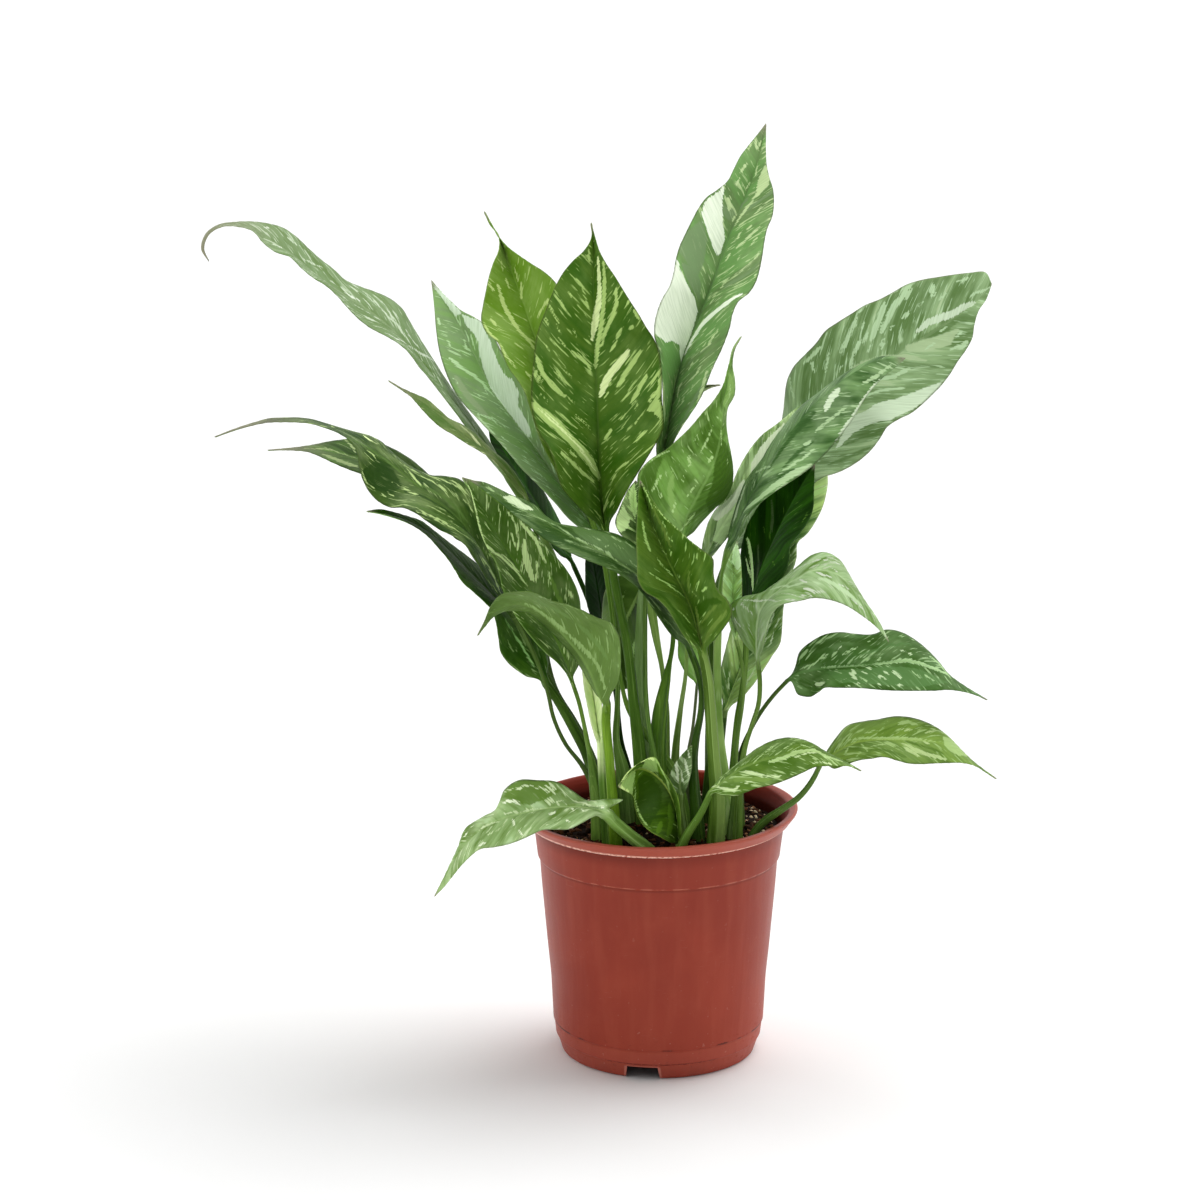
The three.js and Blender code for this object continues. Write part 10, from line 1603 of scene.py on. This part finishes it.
def build_soil():
    verts, faces = [], []
    rings, seg = 40, 128
    r_top = 56.1
    ids = [[0] * seg]
    verts.append((0, 0, soil_height(0, 0)))
    for i in range(1, rings + 1):
        r = r_top * i / rings
        row = []
        for j in range(seg):
            a = 2 * math.pi * j / seg
            x, y = r * math.cos(a), r * math.sin(a)
            verts.append((x, y, soil_height(x, y)))
            row.append(len(verts) - 1)
        ids.append(row)
    for z in (97, 84, 68, 52, 37, 16, 10.6):
        r = min(outer_radius(z) - WALL - 0.7, 46.0 if z < 12 else 99)
        row = []
        for j in range(seg):
            a = 2 * math.pi * j / seg
            verts.append((r * math.cos(a), r * math.sin(a), z)); row.append(len(verts) - 1)
        ids.append(row)
    verts.append((0, 0, 10.6)); ids.append([len(verts) - 1] * seg)
    for a, b in zip(ids, ids[1:]):
        for i in range(seg):
            j = (i + 1) % seg
            f = [a[i], b[i], b[j], a[j]]
            f = [v for n, v in enumerate(f) if v not in f[:n]]
            if len(f) > 2:
                faces.append(tuple(f))
    kinds = [0] * len(faces)
    # loose grains: bark chips, peat crumbs, perlite
    feet = [np.array(L["P"][0], float) for L in LEAVES.values()]
    ico = bmesh.new(); bmesh.ops.create_icosphere(ico, subdivisions=2, radius=1.0)
    iv = np.array([v.co for v in ico.verts]); jf = [tuple(v.index for v in f.verts) for f in ico.faces]; ico.free()
    ico = bmesh.new(); bmesh.ops.create_icosphere(ico, subdivisions=1, radius=1.0)
    iv1 = np.array([v.co for v in ico.verts]); jf1 = [tuple(v.index for v in f.verts) for f in ico.faces]; ico.free()
    for n in range(1840):
        r = (r_top - 1.2) * math.sqrt(rng.random()); a = rng.random() * 2 * math.pi
        small = n >= 1500
        if small:       # fine light crumbs, most of them on the right and a few at the left
            a = math.radians(rng.uniform(-72, 58) if rng.random() < 0.78 else rng.uniform(120, 235))
            r = rng.uniform(20, r_top - 2.0)
        x, y = r * math.cos(a), r * math.sin(a)
        u = rng.random()
        # fewer pale perlite grains near the leaf feet and in front of the clump, which keeps the mix darker there:
        # painted shade
        near = sum(1 for q in feet if math.hypot(q[0] - x, q[1] - y) < 12)
        if u < 0.17 and (near > 1 or (abs(x) < 42 and y < -14)) and rng.random() < 0.85:
            u += 0.5
        if small:
            kind, sc = (2 if u < 0.5 else 4), rng.uniform(0.35, 0.95) * np.array([1, rng.uniform(0.6, 1), rng.uniform(0.5, 0.9)])
        elif u < 0.17:
            kind, sc = 2, rng.uniform(0.5, 1.05) * np.array([1, rng.uniform(0.75, 1), rng.uniform(0.7, 1)])
        elif u < 0.62:
            kind, sc = 1, rng.uniform(1.0, 3.2) * np.array([1, rng.uniform(0.35, 0.7), rng.uniform(0.18, 0.4)])
        else:
            kind, sc = 3, rng.uniform(0.6, 1.8) * np.array([1, rng.uniform(0.7, 1), rng.uniform(0.6, 0.9)])
        if r + sc[0] > r_top - 0.3:
            continue
        bv, bf = (iv, jf) if sc[0] > 1.3 else (iv1, jf1)
        sd = Vector((rng.random() * 50, rng.random() * 50, rng.random() * 50))
        disp = np.array([1 + 0.42 * mnoise.noise(Vector(p) * 1.3 + sd) + 0.2 * mnoise.noise(Vector(p) * 3.1 + sd) for p in bv])
        q = bv * disp[:, None] * sc
        if kind != 2:
            q = np.sign(q) * np.abs(q) ** 0.92
        yaw, tilt = rng.random() * 2 * math.pi, rng.normal(0, 0.35)
        c, s = math.cos(tilt), math.sin(tilt)
        q = q @ np.array([[c, 0, -s], [0, 1, 0], [s, 0, c]])
        c, s = math.cos(yaw), math.sin(yaw)
        q = q @ np.array([[c, s, 0], [-s, c, 0], [0, 0, 1]])
        q += np.array([x, y, soil_height(x, y) + sc[2] * rng.uniform(-0.2, 0.55)])
        n0 = len(verts)
        verts.extend(map(tuple, q))
        faces.extend(tuple(v + n0 for v in f) for f in bf)
        kinds.extend([kind] * len(bf))
    ob = new_object("potting_mix_grains", to_world(verts), faces)
    for m in soil_materials():
        ob.data.materials.append(m)
    ob.data.polygons.foreach_set("material_index", kinds)
    return ob


def soil_materials():
    out = []
    for nm, a, b, c, rough, sc in (
            ("mix_ground", (16, 9, 5), (32, 19, 11), (50, 31, 18), 0.95, 260.0),
            ("mix_bark", (44, 24, 13), (84, 49, 27), (128, 84, 50), 0.85, 320.0),
            ("mix_perlite", (196, 172, 136), (232, 214, 184), (150, 118, 84), 0.9, 500.0),
            ("mix_peat", (20, 11, 6), (40, 24, 14), (62, 40, 24), 0.96, 420.0),
            ("mix_chip", (116, 72, 48), (172, 122, 86), (206, 168, 132), 0.85, 420.0)):
        k = Net(nm)
        geo = k.n("ShaderNodeNewGeometry")
        p = geo.outputs["Position"]
        n1 = k.noise(p, sc, 4.0, 0.65)
        n2 = k.noise(p, sc * 3.5, 3.0, 0.6)
        n3 = k.noise(p, 95.0, 2.0, 0.5)
        col = k.mix(k.step(n1, 0.32, 0.66), srgb(*a), srgb(*b))
        col = k.mix(k.math("MULTIPLY", k.step(n2, 0.52, 0.72), 0.6), col, srgb(*c))
        col = k.mix(k.math("MULTIPLY", k.step(n3, 0.5, 0.7), 0.35), col, srgb(*a))
        bs = k.n("ShaderNodeBsdfPrincipled")
        k.link(col, bs.inputs["Base Color"])
        bs.inputs["Specular IOR Level"].default_value = 0.06
        k.link(k.step(n1, 0.2, 0.8, rough - 0.12, rough), bs.inputs["Roughness"])
        k.link(k.bump(n2, 0.6, 0.0006, k.bump(n1, 0.5, 0.001)), bs.inputs["Normal"])
        k.link(bs.outputs[0], k.out.inputs[0])
        out.append(k.mat)
    return out


soil = build_soil()
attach(soil, "root")
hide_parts("potting_mix")


# --------------------------------------------------------------------- stage
def make_floor():
    s = 60.0
    ob = new_object("floor", [(-s, -s, 0), (s, -s, 0), (s, s, 0), (-s, s, 0)], [(0, 1, 2, 3)], smooth=False)
    ob.location.z = -0.0002
    k = Net("floor_white")
    b = k.n("ShaderNodeBsdfPrincipled")
    b.inputs["Base Color"].default_value = (0.94, 0.94, 0.94, 1)
    b.inputs["Roughness"].default_value = 0.9
    b.inputs["Specular IOR Level"].default_value = 0.1
    k.link(b.outputs[0], k.out.inputs[0])
    ob.data.materials.append(k.mat)


make_floor()

world = bpy.data.worlds.new("studio")
world.use_nodes = True
wt = world.node_tree
bg = wt.nodes["Background"]
bg.inputs["Color"].default_value = (1.0, 1.0, 1.0, 1)
# a white tent, open and darker towards the front
wc = wt.nodes.new("ShaderNodeTexCoord")
ws = wt.nodes.new("ShaderNodeSeparateXYZ")
wm = wt.nodes.new("ShaderNodeMapRange")
wm.interpolation_type = "SMOOTHSTEP"
wm.inputs["From Min"].default_value = -0.80
wm.inputs["From Max"].default_value = 0.40
wm.inputs["To Min"].default_value = 0.22
wm.inputs["To Max"].default_value = 1.05
wt.links.new(wc.outputs["Generated"], ws.inputs[0])
wt.links.new(ws.outputs[1], wm.inputs["Value"])
wt.links.new(wm.outputs["Result"], bg.inputs["Strength"])
bpy.context.scene.world = world


def sun(name, towards, strength, spread):
    d = bpy.data.lights.new(name, "SUN")
    d.energy = strength
    d.angle = math.radians(spread)
    o = bpy.data.objects.new(name, d)
    o.rotation_euler = Vector(towards).to_track_quat("-Z", "Y").to_euler()
    bpy.context.scene.collection.objects.link(o)
    return o


def area(name, loc, target, size, power, colour=(1, 1, 1)):
    d = bpy.data.lights.new(name, "AREA")
    d.shape = "RECTANGLE"
    d.size, d.size_y = size
    d.energy = power
    d.color = colour
    o = bpy.data.objects.new(name, d)
    o.location = loc
    o.rotation_euler = (Vector(target) - Vector(loc)).to_track_quat("-Z", "Y").to_euler()
    bpy.context.scene.collection.objects.link(o)


sun("key", (-0.42, -0.30, -1.0), 1.60, 46.0)
fill = sun("fill", (0.28, 0.85, -0.48), 1.6, 70.0)
lit = bpy.data.collections.new("lit_by_fill")
for ob in list(bpy.data.objects):
    if ob.name.startswith("leaf_") and ob.name.endswith("_skin"):
        lit.objects.link(ob)
fill.light_linking.receiver_collection = lit
front = sun("front", (0.10, 0.90, -0.42), 0.42, 90.0)
lit_front = bpy.data.collections.new("lit_by_front")
for ob in list(bpy.data.objects):
    if ob.name in ("pot_body", "potting_mix_grains") or ob.name.endswith("_skin"):
        lit_front.objects.link(ob)
front.light_linking.receiver_collection = lit_front
area("left", (-1.7, -0.4, 0.9), (0, 0, 0.25), (0.8, 1.4), 3)
area("right", (1.7, -0.1, 0.8), (0, 0, 0.25), (0.8, 1.4), 3)
